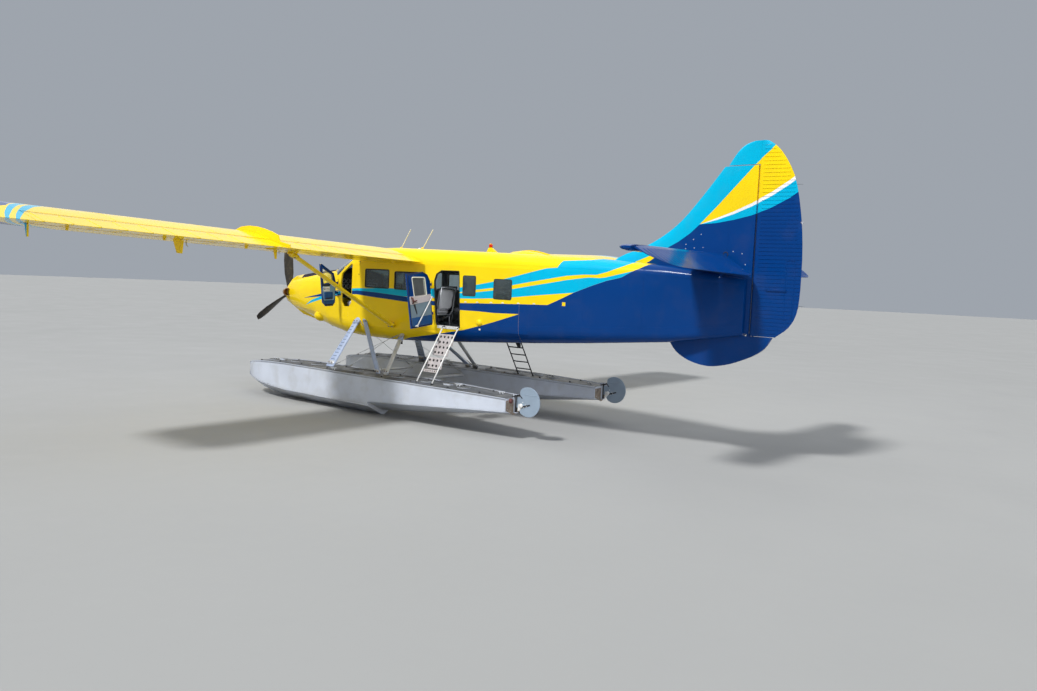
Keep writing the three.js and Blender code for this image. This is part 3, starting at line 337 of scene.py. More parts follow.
@dataclass(frozen=True)
class Paint:
    """One coat of paint or one bare surface, with the wear that the real one shows."""

    name: str
    colour: tuple
    roughness: float = 0.35
    metal: float = 0.0
    coat: float = 0.0
    specular: float = 0.4
    shade: float = 0.08
    grain: float = 3.0
    stretch: tuple = (1, 1, 1)
    dirt: float = 0.0
    dirt_colour: tuple = PALETTE.grime
    relief: float = 0.0002
    relief_grain: float = 60.0
    coat_roughness: float = 0.12
    shade_span: tuple = (0.3, 0.7)
    dirt_span: tuple = (0.5, 0.72)
    wear_span: tuple = (0.3, 0.75)
    smoothest: float = 0.8
    roughest: float = 1.35

    def make(self) -> bpy.types.Material:
        """Makes the material.

        Returns:
            The Blender material.
        """
        graph = Graph(self.name)
        graph.set("Base Color", self.toned(graph, self.colour))
        self.finish(graph)
        return graph.material

    def toned(self, graph: Graph, colour: object) -> Socket:
        """A colour with its slow change of shade, and dirt in the hollows of a second noise.

        Args:
            graph: the material under way.
            colour: the clean colour, or a socket that gives it.

        Returns:
            The worn colour.
        """
        patch = graph.noise(self.grain, 4.0, self.stretch)
        shade = graph.spread(patch, *self.shade_span, 1.0 - self.shade, 1.0 + self.shade * 0.5)
        scaled = graph.node("ShaderNodeVectorMath", operation="SCALE")
        graph.feed(scaled.inputs[0], colour if isinstance(colour, Socket) else colour[:3])
        graph.feed(scaled.inputs["Scale"], shade)
        if not self.dirt:
            return scaled.outputs[0]
        smear = graph.noise(self.grain * 2.3, 6.0, self.stretch)
        share = graph.spread(smear, *self.dirt_span, 0.0, self.dirt)
        return graph.mix(share, scaled.outputs[0], self.dirt_colour)

    def finish(self, graph: Graph, normal: Socket | None = None) -> None:
        """Sets gloss, metal, coat and the fine relief.

        Args:
            graph: the material under way.
            normal: a normal that the fine relief lies on.
        """
        wear = graph.noise(self.grain * 4.0, 5.0, self.stretch)
        dull = min(1.0, self.roughness * self.roughest)
        gloss = graph.spread(wear, *self.wear_span, self.roughness * self.smoothest, dull)
        graph.set("Roughness", gloss)
        graph.set("Metallic", self.metal)
        graph.set("Specular IOR Level", self.specular)
        graph.set("Coat Weight", self.coat)
        graph.set("Coat Roughness", self.coat_roughness)
        fine = graph.noise(self.relief_grain, 3.0, self.stretch)
        graph.set("Normal", graph.bump(fine, self.relief, normal))


@dataclass(frozen=True)
class Glass:
    """Window glass, thin and slightly tinted, that lets the cabin show."""

    name: str
    tint: tuple = (0.26, 0.33, 0.34)
    roughness: float = 0.03
    clear: float = 0.86
    index: float = 1.45
    shadow: float = 0.8
    smear_grain: float = 6.0
    ripple: float = 0.0006
    ripple_grain: float = 3.0

    def make(self) -> bpy.types.Material:
        """Makes the material.

        Returns:
            The Blender material.
        """
        graph = Graph(self.name)
        smear = graph.noise(self.smear_grain, 5.0, (1, 1, 0.4))
        smeared = tuple(self.shadow * c for c in self.tint)
        graph.set("Base Color", graph.mix(graph.spread(smear, 0.45, 0.8), self.tint, smeared))
        graph.set("Roughness", graph.spread(smear, 0.4, 0.8, self.roughness, self.roughness * 3))
        graph.set("IOR", self.index)
        graph.set("Transmission Weight", self.clear)
        graph.set("Normal", graph.bump(graph.noise(self.ripple_grain, 1.0), self.ripple))
        return graph.material


@dataclass(frozen=True)
class Cloth:
    """A woven cover, with its threads and a soft sheen."""

    name: str
    colour: tuple
    thread: float = 900.0
    sheen: float = 0.35
    roughness: float = 0.85
    shadow: float = 0.62
    weave: float = 0.35
    patches: float = 0.3
    relief: float = 0.0006

    def make(self) -> bpy.types.Material:
        """Makes the material.

        Returns:
            The Blender material.
        """
        graph = Graph(self.name)
        x, y, z = graph.axes()
        warp = graph.math("SINE", graph.math("MULTIPLY", graph.math("ADD", x, z), self.thread))
        weft = graph.math("SINE", graph.math("MULTIPLY", graph.math("SUBTRACT", y, z), self.thread))
        weave = graph.spread(graph.math("MULTIPLY", warp, weft), -1.0, 1.0)
        patch = graph.spread(graph.noise(5.0, 4.0), 0.3, 0.7, 0.0, self.patches)
        dark = tuple(channel * self.shadow for channel in self.colour)
        woven = graph.mix(graph.math("MULTIPLY", weave, self.weave), self.colour, dark)
        graph.set("Base Color", graph.mix(patch, woven, dark))
        graph.set("Roughness", self.roughness)
        graph.set("Sheen Weight", self.sheen)
        graph.set("Normal", graph.bump(weave, self.relief))
        return graph.material


class Scheme(Enum):
    """Which part of the paint scheme a surface wears."""

    FUSELAGE = "fuselage"
    TAIL = "tail"
    WING = "wing"


@dataclass(frozen=True)
class Stripes:
    """The edges of the stripes, as stations and heights, read off along the aircraft's side."""

    cyan_top: tuple = (
        (1.55, 2.025), (1.87, 2.157), (2.2, 2.238), (2.6, 2.325), (3.0, 2.405), (3.3, 2.455), (3.55, 2.483),
        (4.5, 2.523), (5.0, 2.525), (5.8, 2.567), (6.56, 2.62), (6.92, 2.676), (7.38, 2.763), (7.92, 2.891),
        (8.2, 2.962), (8.54, 3.05), (8.775, 3.072), (8.81, 3.196), (9.14, 3.215), (9.35, 3.228), (9.5, 3.25),
        (9.6, 3.4), (10.6, 3.5),
    )
    cyan_low: tuple = (
        (1.55, 2.02), (1.87, 2.093), (2.24, 2.175), (2.6, 2.25), (3.0, 2.34), (3.4, 2.418), (3.57, 2.436),
        (4.13, 2.42), (4.51, 2.402), (5.0, 2.374), (5.81, 2.383), (6.56, 2.408), (6.92, 2.419), (7.38, 2.448),
        (7.8, 2.484), (8.47, 2.562), (9.107, 2.631), (9.455, 2.771), (9.73, 2.87), (10.0, 2.938),
        (10.2, 3.055), (10.31, 3.108), (10.6, 3.3),
    )
    thin_top: tuple = (
        (6.4, 2.5), (6.92, 2.586), (7.37, 2.643), (7.81, 2.711), (8.46, 2.835), (8.96, 2.929), (9.29, 2.961),
        (9.54, 2.967), (9.75, 3.03), (10.02, 3.142), (10.2, 3.24), (10.6, 3.46),
    )
    thin_low: tuple = (
        (6.4, 2.5), (6.92, 2.538), (7.37, 2.596), (7.81, 2.64), (8.46, 2.759), (8.96, 2.854), (9.38, 2.915),
        (9.6, 2.914), (9.7, 2.927), (10.2, 3.055), (10.31, 3.108), (10.6, 3.3),
    )
    navy_top: tuple = (
        (2.6, 2.25), (3.0, 2.34), (3.4, 2.418), (3.57, 2.436), (4.13, 2.42), (4.51, 2.402), (5.0, 2.374),
        (5.5, 2.345), (5.9, 2.32), (6.57, 2.317), (7.05, 2.336), (7.38, 2.347), (8.02, 2.371), (8.6, 2.387),
        (8.85, 2.505), (9.107, 2.631), (9.455, 2.771), (9.73, 2.87), (10.0, 2.938), (10.2, 3.055),
        (10.31, 3.108), (10.6, 3.3), (12.5, 3.9),
    )
    navy_low: tuple = (
        (2.6, 2.25), (3.0, 2.3), (3.4, 2.345), (3.57, 2.352), (4.14, 2.315), (4.52, 2.297), (5.01, 2.269),
        (5.9, 2.232), (6.57, 2.181), (7.06, 2.183), (7.41, 2.172), (8.0, 2.185),
    )
    belly: tuple = (
        (4.7, 1.42), (5.12, 1.528), (5.75, 1.629), (6.68, 1.797), (7.11, 1.908), (7.42, 1.999), (8.0, 2.185),
    )
    streak_top: tuple = ((1.5, 2.185), (1.66, 2.21), (2.2, 2.298), (2.6, 2.365), (2.95, 2.42))
    streak_low: tuple = ((1.5, 2.18), (1.66, 2.192), (2.2, 2.24), (2.6, 2.322), (2.95, 2.405))
    fin_cyan: tuple = (
        (9.5, 3.2), (10.0, 3.23), (10.5, 3.42), (10.82, 3.588), (11.03, 3.73), (11.2, 3.88), (11.5, 4.18),
        (11.8, 4.5), (12.1, 4.82), (12.35, 5.05), (12.5, 5.25), (12.96, 5.8),
    )
    fin_thin: tuple = ((10.0, 3.1), (10.28, 3.242), (10.5, 3.39), (10.62, 3.475))
    crescent_yellow: tuple = (
        (11.2, 3.88), (11.5, 3.98), (11.8, 4.09), (12.1, 4.22), (12.4, 4.38), (12.7, 4.58), (12.96, 4.8),
    )
    crescent_white: tuple = (
        (11.2, 3.88), (11.5, 3.95), (11.8, 4.045), (12.1, 4.165), (12.4, 4.315), (12.7, 4.51), (12.96, 4.72),
    )
    crescent_cyan: tuple = (
        (11.2, 3.88), (11.5, 3.9), (11.8, 3.95), (12.1, 4.02), (12.4, 4.13), (12.7, 4.29), (12.96, 4.48),
    )
    tip_bands: tuple = (
        ((3.5, 6.95), (4.0, 7.5), (4.7, 8.031), (5.03, 8.216), (5.29, 8.346), (5.54, 8.446), (5.7, 8.5)),
        ((3.5, 6.75), (4.0, 7.3), (4.63, 7.845), (5.11, 8.17), (5.53, 8.39), (5.7, 8.45)),
        ((3.5, 7.3), (4.0, 7.72), (4.65, 8.18), (4.95, 8.338), (5.21, 8.457), (5.45, 8.545), (5.7, 8.62)),
        ((3.5, 7.15), (4.0, 7.58), (4.65, 8.07), (5.0, 8.275), (5.44, 8.491), (5.7, 8.57)),
    )
    tip_navy: tuple = ((3.5, 7.3), (4.0, 7.72), (4.52, 8.13), (4.74, 8.257), (4.83, 8.4), (4.9, 8.84),
                       (5.7, 9.9))
    glare_half: tuple = ((0.95, 0.16), (1.12, 0.4), (1.4, 0.44), (2.6, 0.52), (3.0, 0.55))
    glare_top: tuple = ((0.95, 2.5), (1.3, 2.58), (2.48, 2.7), (3.0, 2.8))
    glare_span: tuple = (0.95, 2.62)
    square: tuple = (8.926, 2.419, 0.033)
    cyan_start: float = 1.55
    thin_start: float = 6.4
    navy_start: float = 2.6
    wedge_start: float = 4.7
    streak_span: tuple = (1.5, 2.95)
    whip_span: tuple = (3.9, 5.2)
    whip_half: float = 0.3
    whip_foot: float = 3.425
    stripe_end: float = 8.0
    tail_start: float = 11.2
    fin_thin_span: tuple = (10.0, 10.62)
    fin_half: float = 0.075
    bands_start: float = 7.0
    corner_start: float = 7.2


STRIPES = Stripes()


@dataclass(frozen=True)
class AircraftPaint:
    """The glossy paint scheme on one group of panels.

    Its lines are drawn by place, so that every panel, lap and rivet along a stripe agrees.
    """

    name: str
    scheme: Scheme
    coat: Paint = Paint("coat", PALETTE.yellow, roughness=0.17, coat=0.05, specular=0.12, shade=0.05,
                        grain=1.3, dirt=0.05, relief=0.0011, relief_grain=2.4)
    hinge: Hinge | None = None
    lining: tuple = (0.42, 0.44, 0.46)
    whip: tuple = (0.78, 0.76, 0.68)
    glare: tuple = (0.035, 0.03, 0.04)
    glare_roughness: float = 0.9
    glare_specular: float = 0.02
    middle: float = 2.42
    inward: float = -0.3

    def make(self) -> bpy.types.Material:
        """Makes the material.

        Returns:
            The Blender material.
        """
        graph = Graph(self.name)
        place = self.closed_place(graph)
        x, y, z = graph.axes(place)
        station = graph.math("SUBTRACT", HALF_LENGTH, x)
        if self.scheme is Scheme.WING:
            colour = self.wing(graph, station, y)
        elif self.scheme is Scheme.TAIL:
            colour = self.tail(graph, station, y, z)
        else:
            painted = self.fuselage(graph, station, y, z)
            colour = graph.mix(self.inside(graph, y, z), painted, self.lining)
        graph.set("Base Color", self.coat.toned(graph, colour))
        self.coat.finish(graph)
        if self.scheme is Scheme.FUSELAGE:
            matt = self.glare_panel(graph, station, y, z)
            for socket, glossy, dull in (("Roughness", self.coat.roughness, self.glare_roughness),
                                         ("Specular IOR Level", self.coat.specular, self.glare_specular),
                                         ("Coat Weight", self.coat.coat, 0.0)):
                graph.set(socket, graph.spread(matt, 0.0, 1.0, glossy, dull))
        return graph.material

    def shut(self, graph: Graph, vector: Socket, hinge: Hinge) -> bpy.types.Node:
        """Turns a vector as its door turns when it shuts.

        Args:
            graph: the material under way.
            vector: the vector.
            hinge: the door's hinge.

        Returns:
            The node that turns it.
        """
        turn = graph.node("ShaderNodeVectorRotate", rotation_type="AXIS_ANGLE")
        graph.feed(turn.inputs["Vector"], vector)
        turn.inputs["Axis"].default_value = hinge.axis
        turn.inputs["Angle"].default_value = hinge.angle
        return turn

    def closed_place(self, graph: Graph) -> Socket:
        """Where the point lies with its door shut, which is where the stripes are drawn.

        Args:
            graph: the material under way.

        Returns:
            The place.
        """
        if self.hinge is None:
            return graph.coordinates
        turn = self.shut(graph, graph.coordinates, self.hinge)
        turn.inputs["Center"].default_value = self.hinge.centre
        return turn.outputs[0]

    def inside(self, graph: Graph, y: Socket, z: Socket) -> Socket:
        """A mask of the faces that look into the cabin, which wear its lining.

        Args:
            graph: the material under way.
            y: the place across.
            z: the height.

        Returns:
            The mask.
        """
        facing = graph.node("ShaderNodeTexCoord").outputs["Normal"]
        if self.hinge:
            facing = self.shut(graph, facing, self.hinge).outputs[0]
        _, across, upward = graph.axes(facing)
        rise = graph.math("MULTIPLY", graph.math("SUBTRACT", z, self.middle), 0.5)
        outward = graph.math("ADD", graph.math("MULTIPLY", y, across), graph.math("MULTIPLY", rise, upward))
        return graph.above(self.inward, outward, 0.01)

    def fuselage(self, graph: Graph, s: Socket, y: Socket, z: Socket) -> Socket:
        """The stripes from the cowl to the tail.

        Args:
            graph: the material under way.
            s: the station.
            y: the place across.
            z: the height.

        Returns:
            The colour.
        """
        stripes = STRIPES
        cyan_top, cyan_low, thin_top, thin_low, navy_top, navy_low, belly, streak_top, streak_low = (
            graph.edge(s, line) for line in (
                stripes.cyan_top, stripes.cyan_low, stripes.thin_top, stripes.thin_low, stripes.navy_top,
                stripes.navy_low, stripes.belly, stripes.streak_top, stripes.streak_low))
        ahead = graph.above(stripes.stripe_end, s, 0.002)
        aft = graph.above(s, stripes.stripe_end, 0.002)
        cyan = graph.both(graph.within(z, cyan_low, cyan_top), graph.above(s, stripes.cyan_start))
        thin = graph.both(graph.within(z, thin_low, thin_top), graph.above(s, stripes.thin_start))
        under_top = graph.above(navy_top, z)
        stripe = graph.both(under_top, graph.above(z, navy_low), ahead, graph.above(s, stripes.navy_start))
        wedge = graph.both(graph.above(belly, z), ahead, graph.above(s, stripes.wedge_start))
        navy = graph.either(stripe, wedge, graph.both(under_top, aft))
        streak = graph.both(graph.within(z, streak_low, streak_top), graph.within(s, *stripes.streak_span))
        centre_s, centre_z, half = stripes.square
        square = graph.both(graph.within(s, centre_s - half, centre_s + half),
                            graph.within(z, centre_z - half, centre_z + half))
        glare = self.glare_panel(graph, s, y, z)
        colour = graph.mix(cyan, PALETTE.yellow, PALETTE.cyan)
        for mask, shade in ((navy, PALETTE.navy), (thin, PALETTE.yellow), (streak, PALETTE.navy),
                            (square, PALETTE.yellow)):
            colour = graph.mix(mask, colour, shade)
        whips = graph.both(graph.above(z, stripes.whip_foot), graph.within(s, *stripes.whip_span),
                           graph.above(stripes.whip_half, graph.math("ABSOLUTE", y)))
        colour = graph.mix(whips, colour, self.whip)
        return graph.mix(glare, colour, self.glare)

    def glare_panel(self, graph: Graph, s: Socket, y: Socket, z: Socket) -> Socket:
        """A mask of the dark panel on top of the cowl, ahead of the windscreen.

        Args:
            graph: the material under way.
            s: the station.
            y: the place across.
            z: the height.

        Returns:
            The mask.
        """
        half = graph.edge(s, STRIPES.glare_half)
        top = graph.edge(s, STRIPES.glare_top)
        across = graph.above(half, graph.math("ABSOLUTE", y))
        return graph.both(across, graph.above(z, top), graph.within(s, *STRIPES.glare_span))

    def tail(self, graph: Graph, s: Socket, y: Socket, z: Socket) -> Socket:
        """The bands that run up the fin's leading edge and fan out over the rudder.

        Args:
            graph: the material under way.
            s: the station.
            y: the place across; the tailplane, further out than the fin, is plain.
            z: the height.

        Returns:
            The colour.
        """
        cyan_edge = graph.edge(s, STRIPES.fin_cyan)
        on_rudder = graph.above(s, STRIPES.tail_start)
        colour = graph.mix(graph.above(z, cyan_edge), PALETTE.navy, PALETTE.cyan)
        thin = graph.both(graph.within(z, graph.edge(s, STRIPES.fin_thin), cyan_edge),
                          graph.within(s, *STRIPES.fin_thin_span))
        colour = graph.mix(thin, colour, PALETTE.yellow)
        upper = cyan_edge
        bands = ((STRIPES.crescent_yellow, PALETTE.yellow), (STRIPES.crescent_white, PALETTE.white),
                 (STRIPES.crescent_cyan, PALETTE.cyan))
        for places, shade in bands:
            lower = graph.edge(s, places)
            colour = graph.mix(graph.both(graph.within(z, lower, upper), on_rudder), colour, shade)
            upper = lower
        on_fin = graph.above(STRIPES.fin_half, graph.math("ABSOLUTE", y))
        return graph.mix(on_fin, PALETTE.navy, colour)

    def wing(self, graph: Graph, s: Socket, y: Socket) -> Socket:
        """The yellow wing with two cyan bands and a navy corner at each tip.

        Args:
            graph: the material under way.
            s: the station.
            y: the place across.

        Returns:
            The colour.
        """
        out = graph.math("ABSOLUTE", y)
        outer_1, inner_1, outer_2, inner_2 = (graph.edge(s, places) for places in STRIPES.tip_bands)
        bands = graph.either(graph.within(out, inner_1, outer_1), graph.within(out, inner_2, outer_2))
        corner = graph.above(out, graph.edge(s, STRIPES.tip_navy))
        banded = graph.both(bands, graph.above(out, STRIPES.bands_start))
        colour = graph.mix(banded, PALETTE.yellow, PALETTE.cyan)
        return graph.mix(graph.both(corner, graph.above(out, STRIPES.corner_start)), colour, PALETTE.navy)


def around(count: int) -> list[float]:
    """Evenly spread angles around a circle."""
    return [math.tau * k / count for k in range(count)]


def quads(rings: int, count: int, last: int) -> list[tuple[int, int, int, int]]:
    """The faces between rings of points.

    Args:
        rings: how many rings there are.
        count: how many points each has.
        last: how many faces lie between two rings.

    Returns:
        Each face's four points, as indices.
    """
    made = []
    for ring in range(rings - 1):
        low, high = ring * count, (ring + 1) * count
        made += [(low + k, low + (k + 1) % count, high + (k + 1) % count, high + k) for k in range(last)]
    return made


def basis(normal: Vector) -> tuple[Vector, Vector, Vector]:
    """A direction and two others square to it.

    Args:
        normal: the direction.

    Returns:
        The three, each of length 1.
    """
    up = normal.normalized()
    first = up.orthogonal().normalized()
    return up, first, up.cross(first)


@dataclass
class Shape:
    """A mesh under construction, in the row frame and in metres."""

    points: list[Vector] = field(default_factory=list)
    faces: list[tuple[int, ...]] = field(default_factory=list)
    smooth: list[bool] = field(default_factory=list)

    def add(self, points: Iterable[Point], faces: Iterable[Sequence[int]], smooth: bool = False) -> None:
        """Adds points and the faces between them.

        Args:
            points: the new points.
            faces: faces as indices into those points.
            smooth: whether the faces are shaded smooth.
        """
        start = len(self.points)
        self.points.extend(Vector(p) for p in points)
        for face in faces:
            self.faces.append(tuple(start + k for k in face))
            self.smooth.append(smooth)

    def loft(self, rings: Sequence[Sequence[Point]], smooth: bool = True, capped: bool = True,
             closed: bool = True) -> None:
        """A skin through rings of equal point count.

        Args:
            rings: the rings, each a list of points.
            smooth: whether the sides are shaded smooth.
            capped: whether the end rings are filled.
            closed: whether each ring closes on itself.
        """
        count = len(rings[0])
        last = count if closed else count - 1
        start = len(self.points)
        self.add([p for ring in rings for p in ring], quads(len(rings), count, last), smooth)
        if capped:
            top = start + (len(rings) - 1) * count
            self.faces.append(tuple(start + k for k in reversed(range(count))))
            self.faces.append(tuple(top + k for k in range(count)))
            self.smooth += [False, False]

    def tube(self, path: Sequence[Point], radius: float | Sequence[float], sides: int = 10,
             squash: float = 1.0, closed: bool = False) -> None:
        """A round bar along a path.

        Args:
            path: the points that it follows.
            radius: its radius, or one for each point.
            sides: how many sides its section has.
            squash: the section's second half width as a share of the first.
            closed: whether the path is a loop.
        """
        points = [Vector(p) for p in path]
        radii = radius if isinstance(radius, (list, tuple)) else [radius] * len(points)
        rings = []
        normal = None
        for k, point in enumerate(points):
            before = points[k - 1] if k or closed else point
            after = points[(k + 1) % len(points)] if k + 1 < len(points) or closed else point
            along = (after - before).normalized()
            if normal is None:
                helper = UP if abs(along.z) < 0.9 else AHEAD
                normal = along.cross(helper).normalized()
            normal = (normal - along * normal.dot(along)).normalized()
            other = along.cross(normal)
            rings.append([point + normal * math.cos(a) * radii[k] + other * math.sin(a) * radii[k] * squash
                          for a in around(sides)])
        if closed:
            rings.append(rings[0])
        self.loft(rings, smooth=True, capped=not closed)

    def prism(self, outline: Sequence[Point], across: Vector) -> None:
        """A flat outline given thickness.

        Args:
            outline: its corners, in order.
            across: the thickness, as a vector.
        """
        first = [Vector(p) for p in outline]
        self.loft([first, [p + across for p in first]], smooth=False)

    def block(self, low: Point, high: Point) -> None:
        """A box between two corners."""
        (x0, y0, z0), (x1, y1, z1) = low, high
        self.prism([(x0, y0, z0), (x1, y0, z0), (x1, y1, z0), (x0, y1, z0)], Vector((0, 0, z1 - z0)))

    def holed(self, corner: Vector, along: Vector, across: Vector, columns: int, rows: int,
              share: float, thick: float) -> None:
        """A plate with a round hole in each cell of a grid.

        Args:
            corner: one of its corners.
            along: its first edge.
            across: its second edge.
            columns: how many cells lie along the first edge.
            rows: how many lie along the second.
            share: a hole's radius as a share of the smaller side of its cell.
            thick: the plate's thickness.
        """
        down = along.cross(across).normalized() * -thick
        cell_a, cell_b = along / columns, across / rows
        radius = share * min(cell_a.length, cell_b.length)
        way_a, way_b = along.normalized(), across.normalized()
        square = ((1, 0), (1, 1), (0, 1), (-1, 1), (-1, 0), (-1, -1), (0, -1), (1, -1))
        for i in range(columns):
            for j in range(rows):
                middle = corner + cell_a * (i + 0.5) + cell_b * (j + 0.5)
                outer = [middle + cell_a * (a / 2) + cell_b * (b / 2) for a, b in square]
                inner = [middle + (way_a * math.cos(a) + way_b * math.sin(a)) * radius
                         for a in around(len(square))]
                rings = [outer, inner, [p + down for p in inner], [p + down for p in outer]]
                self.loft(rings, smooth=False, capped=False)
        ends = [corner, corner + along, corner + along + across, corner + across]
        for first, second in zip(ends, [*ends[1:], ends[0]]):
            self.add([first, second, second + down, first + down], [(3, 2, 1, 0)])

    def dome(self, centre: Point, normal: Vector, radius: float, height: float, sides: int = 6,
             rings: int = 1) -> None:
        """A low round head, such as a rivet's, standing on a surface.

        Args:
            centre: where its foot's middle lies.
            normal: which way it faces.
            radius: its foot's radius.
            height: how high it stands.
            sides: how many sides it has.
            rings: how many rings stand between foot and top.
        """
        up, first, second = basis(normal)
        middle = Vector(centre)
        points = []
        for r in range(rings + 1):
            share = r / (rings + 1)
            width, rise = radius * math.cos(share * math.pi / 2), height * math.sin(share * math.pi / 2)
            points += [middle + (first * math.cos(a) + second * math.sin(a)) * width + up * rise
                       for a in around(sides)]
        points.append(middle + up * height)
        top = len(points) - 1
        faces = quads(rings + 1, sides, sides)
        faces += [(rings * sides + k, rings * sides + (k + 1) % sides, top) for k in range(sides)]
        self.add(points, faces, smooth=True)

    def disc(self, centre: Point, normal: Vector, profile: Profile, sides: int = 24,
             smooth: bool = True) -> None:
        """A turned piece, from its profile of radius and height along its axis.

        Args:
            centre: the axis's foot.
            normal: the axis.
            profile: pairs of radius and height, from the foot to the top.
            sides: how many sides it has.
            smooth: whether it is shaded smooth.
        """
        up, first, second = basis(normal)
        middle = Vector(centre)
        rings = [[middle + up * height + (first * math.cos(a) + second * math.sin(a)) * radius
                  for a in around(sides)] for radius, height in profile]
        self.loft(rings, smooth=smooth)

    def frame(self, outline: Sequence[Point], section: Profile, facing: Vector, smooth: bool = True) -> None:
        """A moulding around a closed outline.

        Args:
            outline: the corners of the outline, in order.
            section: the moulding's section, as pairs of distance outward and height along facing.
            facing: which way the outline faces.
            smooth: whether it is shaded smooth.
        """
        corners = [Vector(p) for p in outline]
        centre = sum(corners, Vector()) / len(corners)
        rings = []
        for k, corner in enumerate(corners):
            before, after = corners[k - 1], corners[(k + 1) % len(corners)]
            first, second = (corner - before).normalized(), (after - corner).normalized()
            out = (first.cross(facing) + second.cross(facing)).normalized()
            if out.dot(corner - centre) < 0:
                out = -out
            reach = 1.0 / max(0.5, math.cos(first.angle(second) / 2))
            rings.append([corner + out * aside * reach + facing * height for aside, height in section])
        rings.append(rings[0])
        self.loft(rings, smooth=smooth, capped=False)

    def build(self, name: str, material: bpy.types.Material, body: str = "airframe",
              slot: str | None = None, bevel: float = 0.0) -> bpy.types.Object:
        """Makes the object, which then rides on its body.

        Args:
            name: the object's name.
            material: its material.
            body: the CAD body that it rides on.
            slot: the record's material slot for the piece; not used.
            bevel: how far its sharp edges are rounded.

        Returns:
            The new object.
        """
        mesh = bpy.data.meshes.new(name)
        mesh.from_pydata([tuple(p) for p in self.points], [], self.faces)
        mesh.polygons.foreach_set("use_smooth", self.smooth)
        mesh.materials.append(material)
        mesh.validate()
        mesh.update()
        made = bpy.data.objects.new(name, mesh)
        bpy.context.scene.collection.objects.link(made)
        if bevel:
            edge = made.modifiers.new("rounded edges", "BEVEL")
            edge.width = bevel
            edge.segments = BEVEL_SEGMENTS
            edge.limit_method = "ANGLE"
            edge.angle_limit = BEVEL_LIMIT
        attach(made, body)
        log.info("%s: %d faces", name, len(self.faces))
        return made


@dataclass(frozen=True)
class Contact:
    """A place on a skin, and which way the skin faces there."""

    place: Vector
    normal: Vector

    def over(self, rise: float) -> Vector:
        """A point over the place, or under it where the rise is negative."""
        return self.place + self.normal * rise


class Skin:
    """The outside of some CAD nodes, to set details on."""

    def __init__(self, *nodes: str) -> None:
        """Gathers the nodes' faces.

        Args:
            nodes: the CAD nodes' names.
        """
        points: list[Vector] = []
        faces: list[list[int]] = []
        for node in nodes:
            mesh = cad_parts[node].data
            start = len(points)
            points.extend(v.co.copy() for v in mesh.vertices)
            faces.extend([start + k for k in polygon.vertices] for polygon in mesh.polygons)
        self.tree = BVHTree.FromPolygons(points, faces)

    def drop(self, start: Point, direction: Point, reach: float = 5.0) -> Contact | None:
        """Where a line from outside first meets the skin.

        Args:
            start: where the line starts.
            direction: which way it goes.
            reach: how far it may go.

        Returns:
            The contact, or None where it meets nothing, or meets the inside.
        """
        way = Vector(direction).normalized()
        place, normal, _, _ = self.tree.ray_cast(Vector(start), way, reach)
        if place is None or normal.dot(way) > -0.05:
            return None
        return Contact(place, normal)

    def side(self, station: float, z: float, sign: int) -> Contact | None:
        """The skin at a station and a height, seen from one side."""
        return self.drop(at(station, sign * 3.0, z), (0, -sign, 0), 3.2)

    def side_line(self, start: tuple, end: tuple, sign: int, size: float = 0.1) -> list[Contact | None]:
        """The skin along a straight line of stations and heights, seen from one side.

        Args:
            start: the line's first station and height.
            end: its last.
            sign: the side's sign.
            size: how far apart the contacts are, as a share of the line.

        Returns:
            The contacts, with None where there is none.
        """
        (s0, z0), (s1, z1) = start, end
        return [self.side(s0 + (s1 - s0) * t, z0 + (z1 - z0) * t, sign) for t in steps(0, 1, size)]

    def top(self, station: float, y: float) -> Contact | None:
        """The skin at a station and a place across, seen from above."""
        return self.drop(at(station, y, 6.0), (0, 0, -1), 6.0)

    def under(self, station: float, y: float, start: float = 0.0) -> Contact | None:
        """The skin at a station and a place across, seen from below."""
        return self.drop(at(station, y, start), (0, 0, 1), 6.0)


@dataclass(frozen=True)
class Seam:
    """How a lapped sheet edge looks: a thin raised strip with a row of rivets."""

    width: float = 0.022
    height: float = 0.0012
    pitch: float = 0.045
    rivet: float = 0.0042
    rivet_height: float = 0.0018
    sunk: float = 0.001
    slope: float = 0.93
    longest_gap: float = 0.35

    def lay(self, strips: Shape, rivets: Shape, line: Sequence[Contact | None]) -> None:
        """Lays a seam along contacts on a skin, broken where there is none.

        Args:
            strips: the shape that takes the strip.
            rivets: the shape that takes the rivets.
            line: the contacts, close together.
        """
        run: list[Contact] = []
        for contact in [*line, None]:
            broken = contact is None or (run and (contact.place - run[-1].place).length > self.longest_gap)
            if broken and len(run) > 1:
                self.strip(strips, run)
                self.rivet_row(rivets, run)
            if broken:
                run = []
            if contact is not None:
                run.append(contact)

    def strip(self, strips: Shape, run: Sequence[Contact]) -> None:
        """One unbroken strip.

        Args:
            strips: the shape that takes it.
            run: the contacts that it runs through.
        """
        rings = []
        for k, contact in enumerate(run):
            before, after = run[max(0, k - 1)], run[min(len(run) - 1, k + 1)]
            along = (after.place - before.place).normalized()
            aside = contact.normal.cross(along).normalized() * (self.width / 2)
            foot = contact.place - contact.normal * self.sunk
            top = contact.place + contact.normal * self.height
            rings.append([foot - aside, top - aside * self.slope, top + aside * self.slope, foot + aside])
        strips.loft(rings, smooth=False, capped=False, closed=False)

    def rivet_row(self, rivets: Shape, run: Sequence[Contact]) -> None:
        """Rivets at an even pitch along one run.

        Args:
            rivets: the shape that takes them.
            run: the contacts that they run through.
        """
        spare = self.pitch / 2
        for first, second in zip(run, run[1:]):
            step = second.place - first.place
            length = step.length
            while spare < length:
                share = spare / length
                normal = first.normal.lerp(second.normal, share).normalized()
                centre = first.place + step * share + normal * (self.height - 0.0002)
                rivets.dome(centre, normal, self.rivet, self.rivet_height)
                spare += self.pitch
            spare -= length


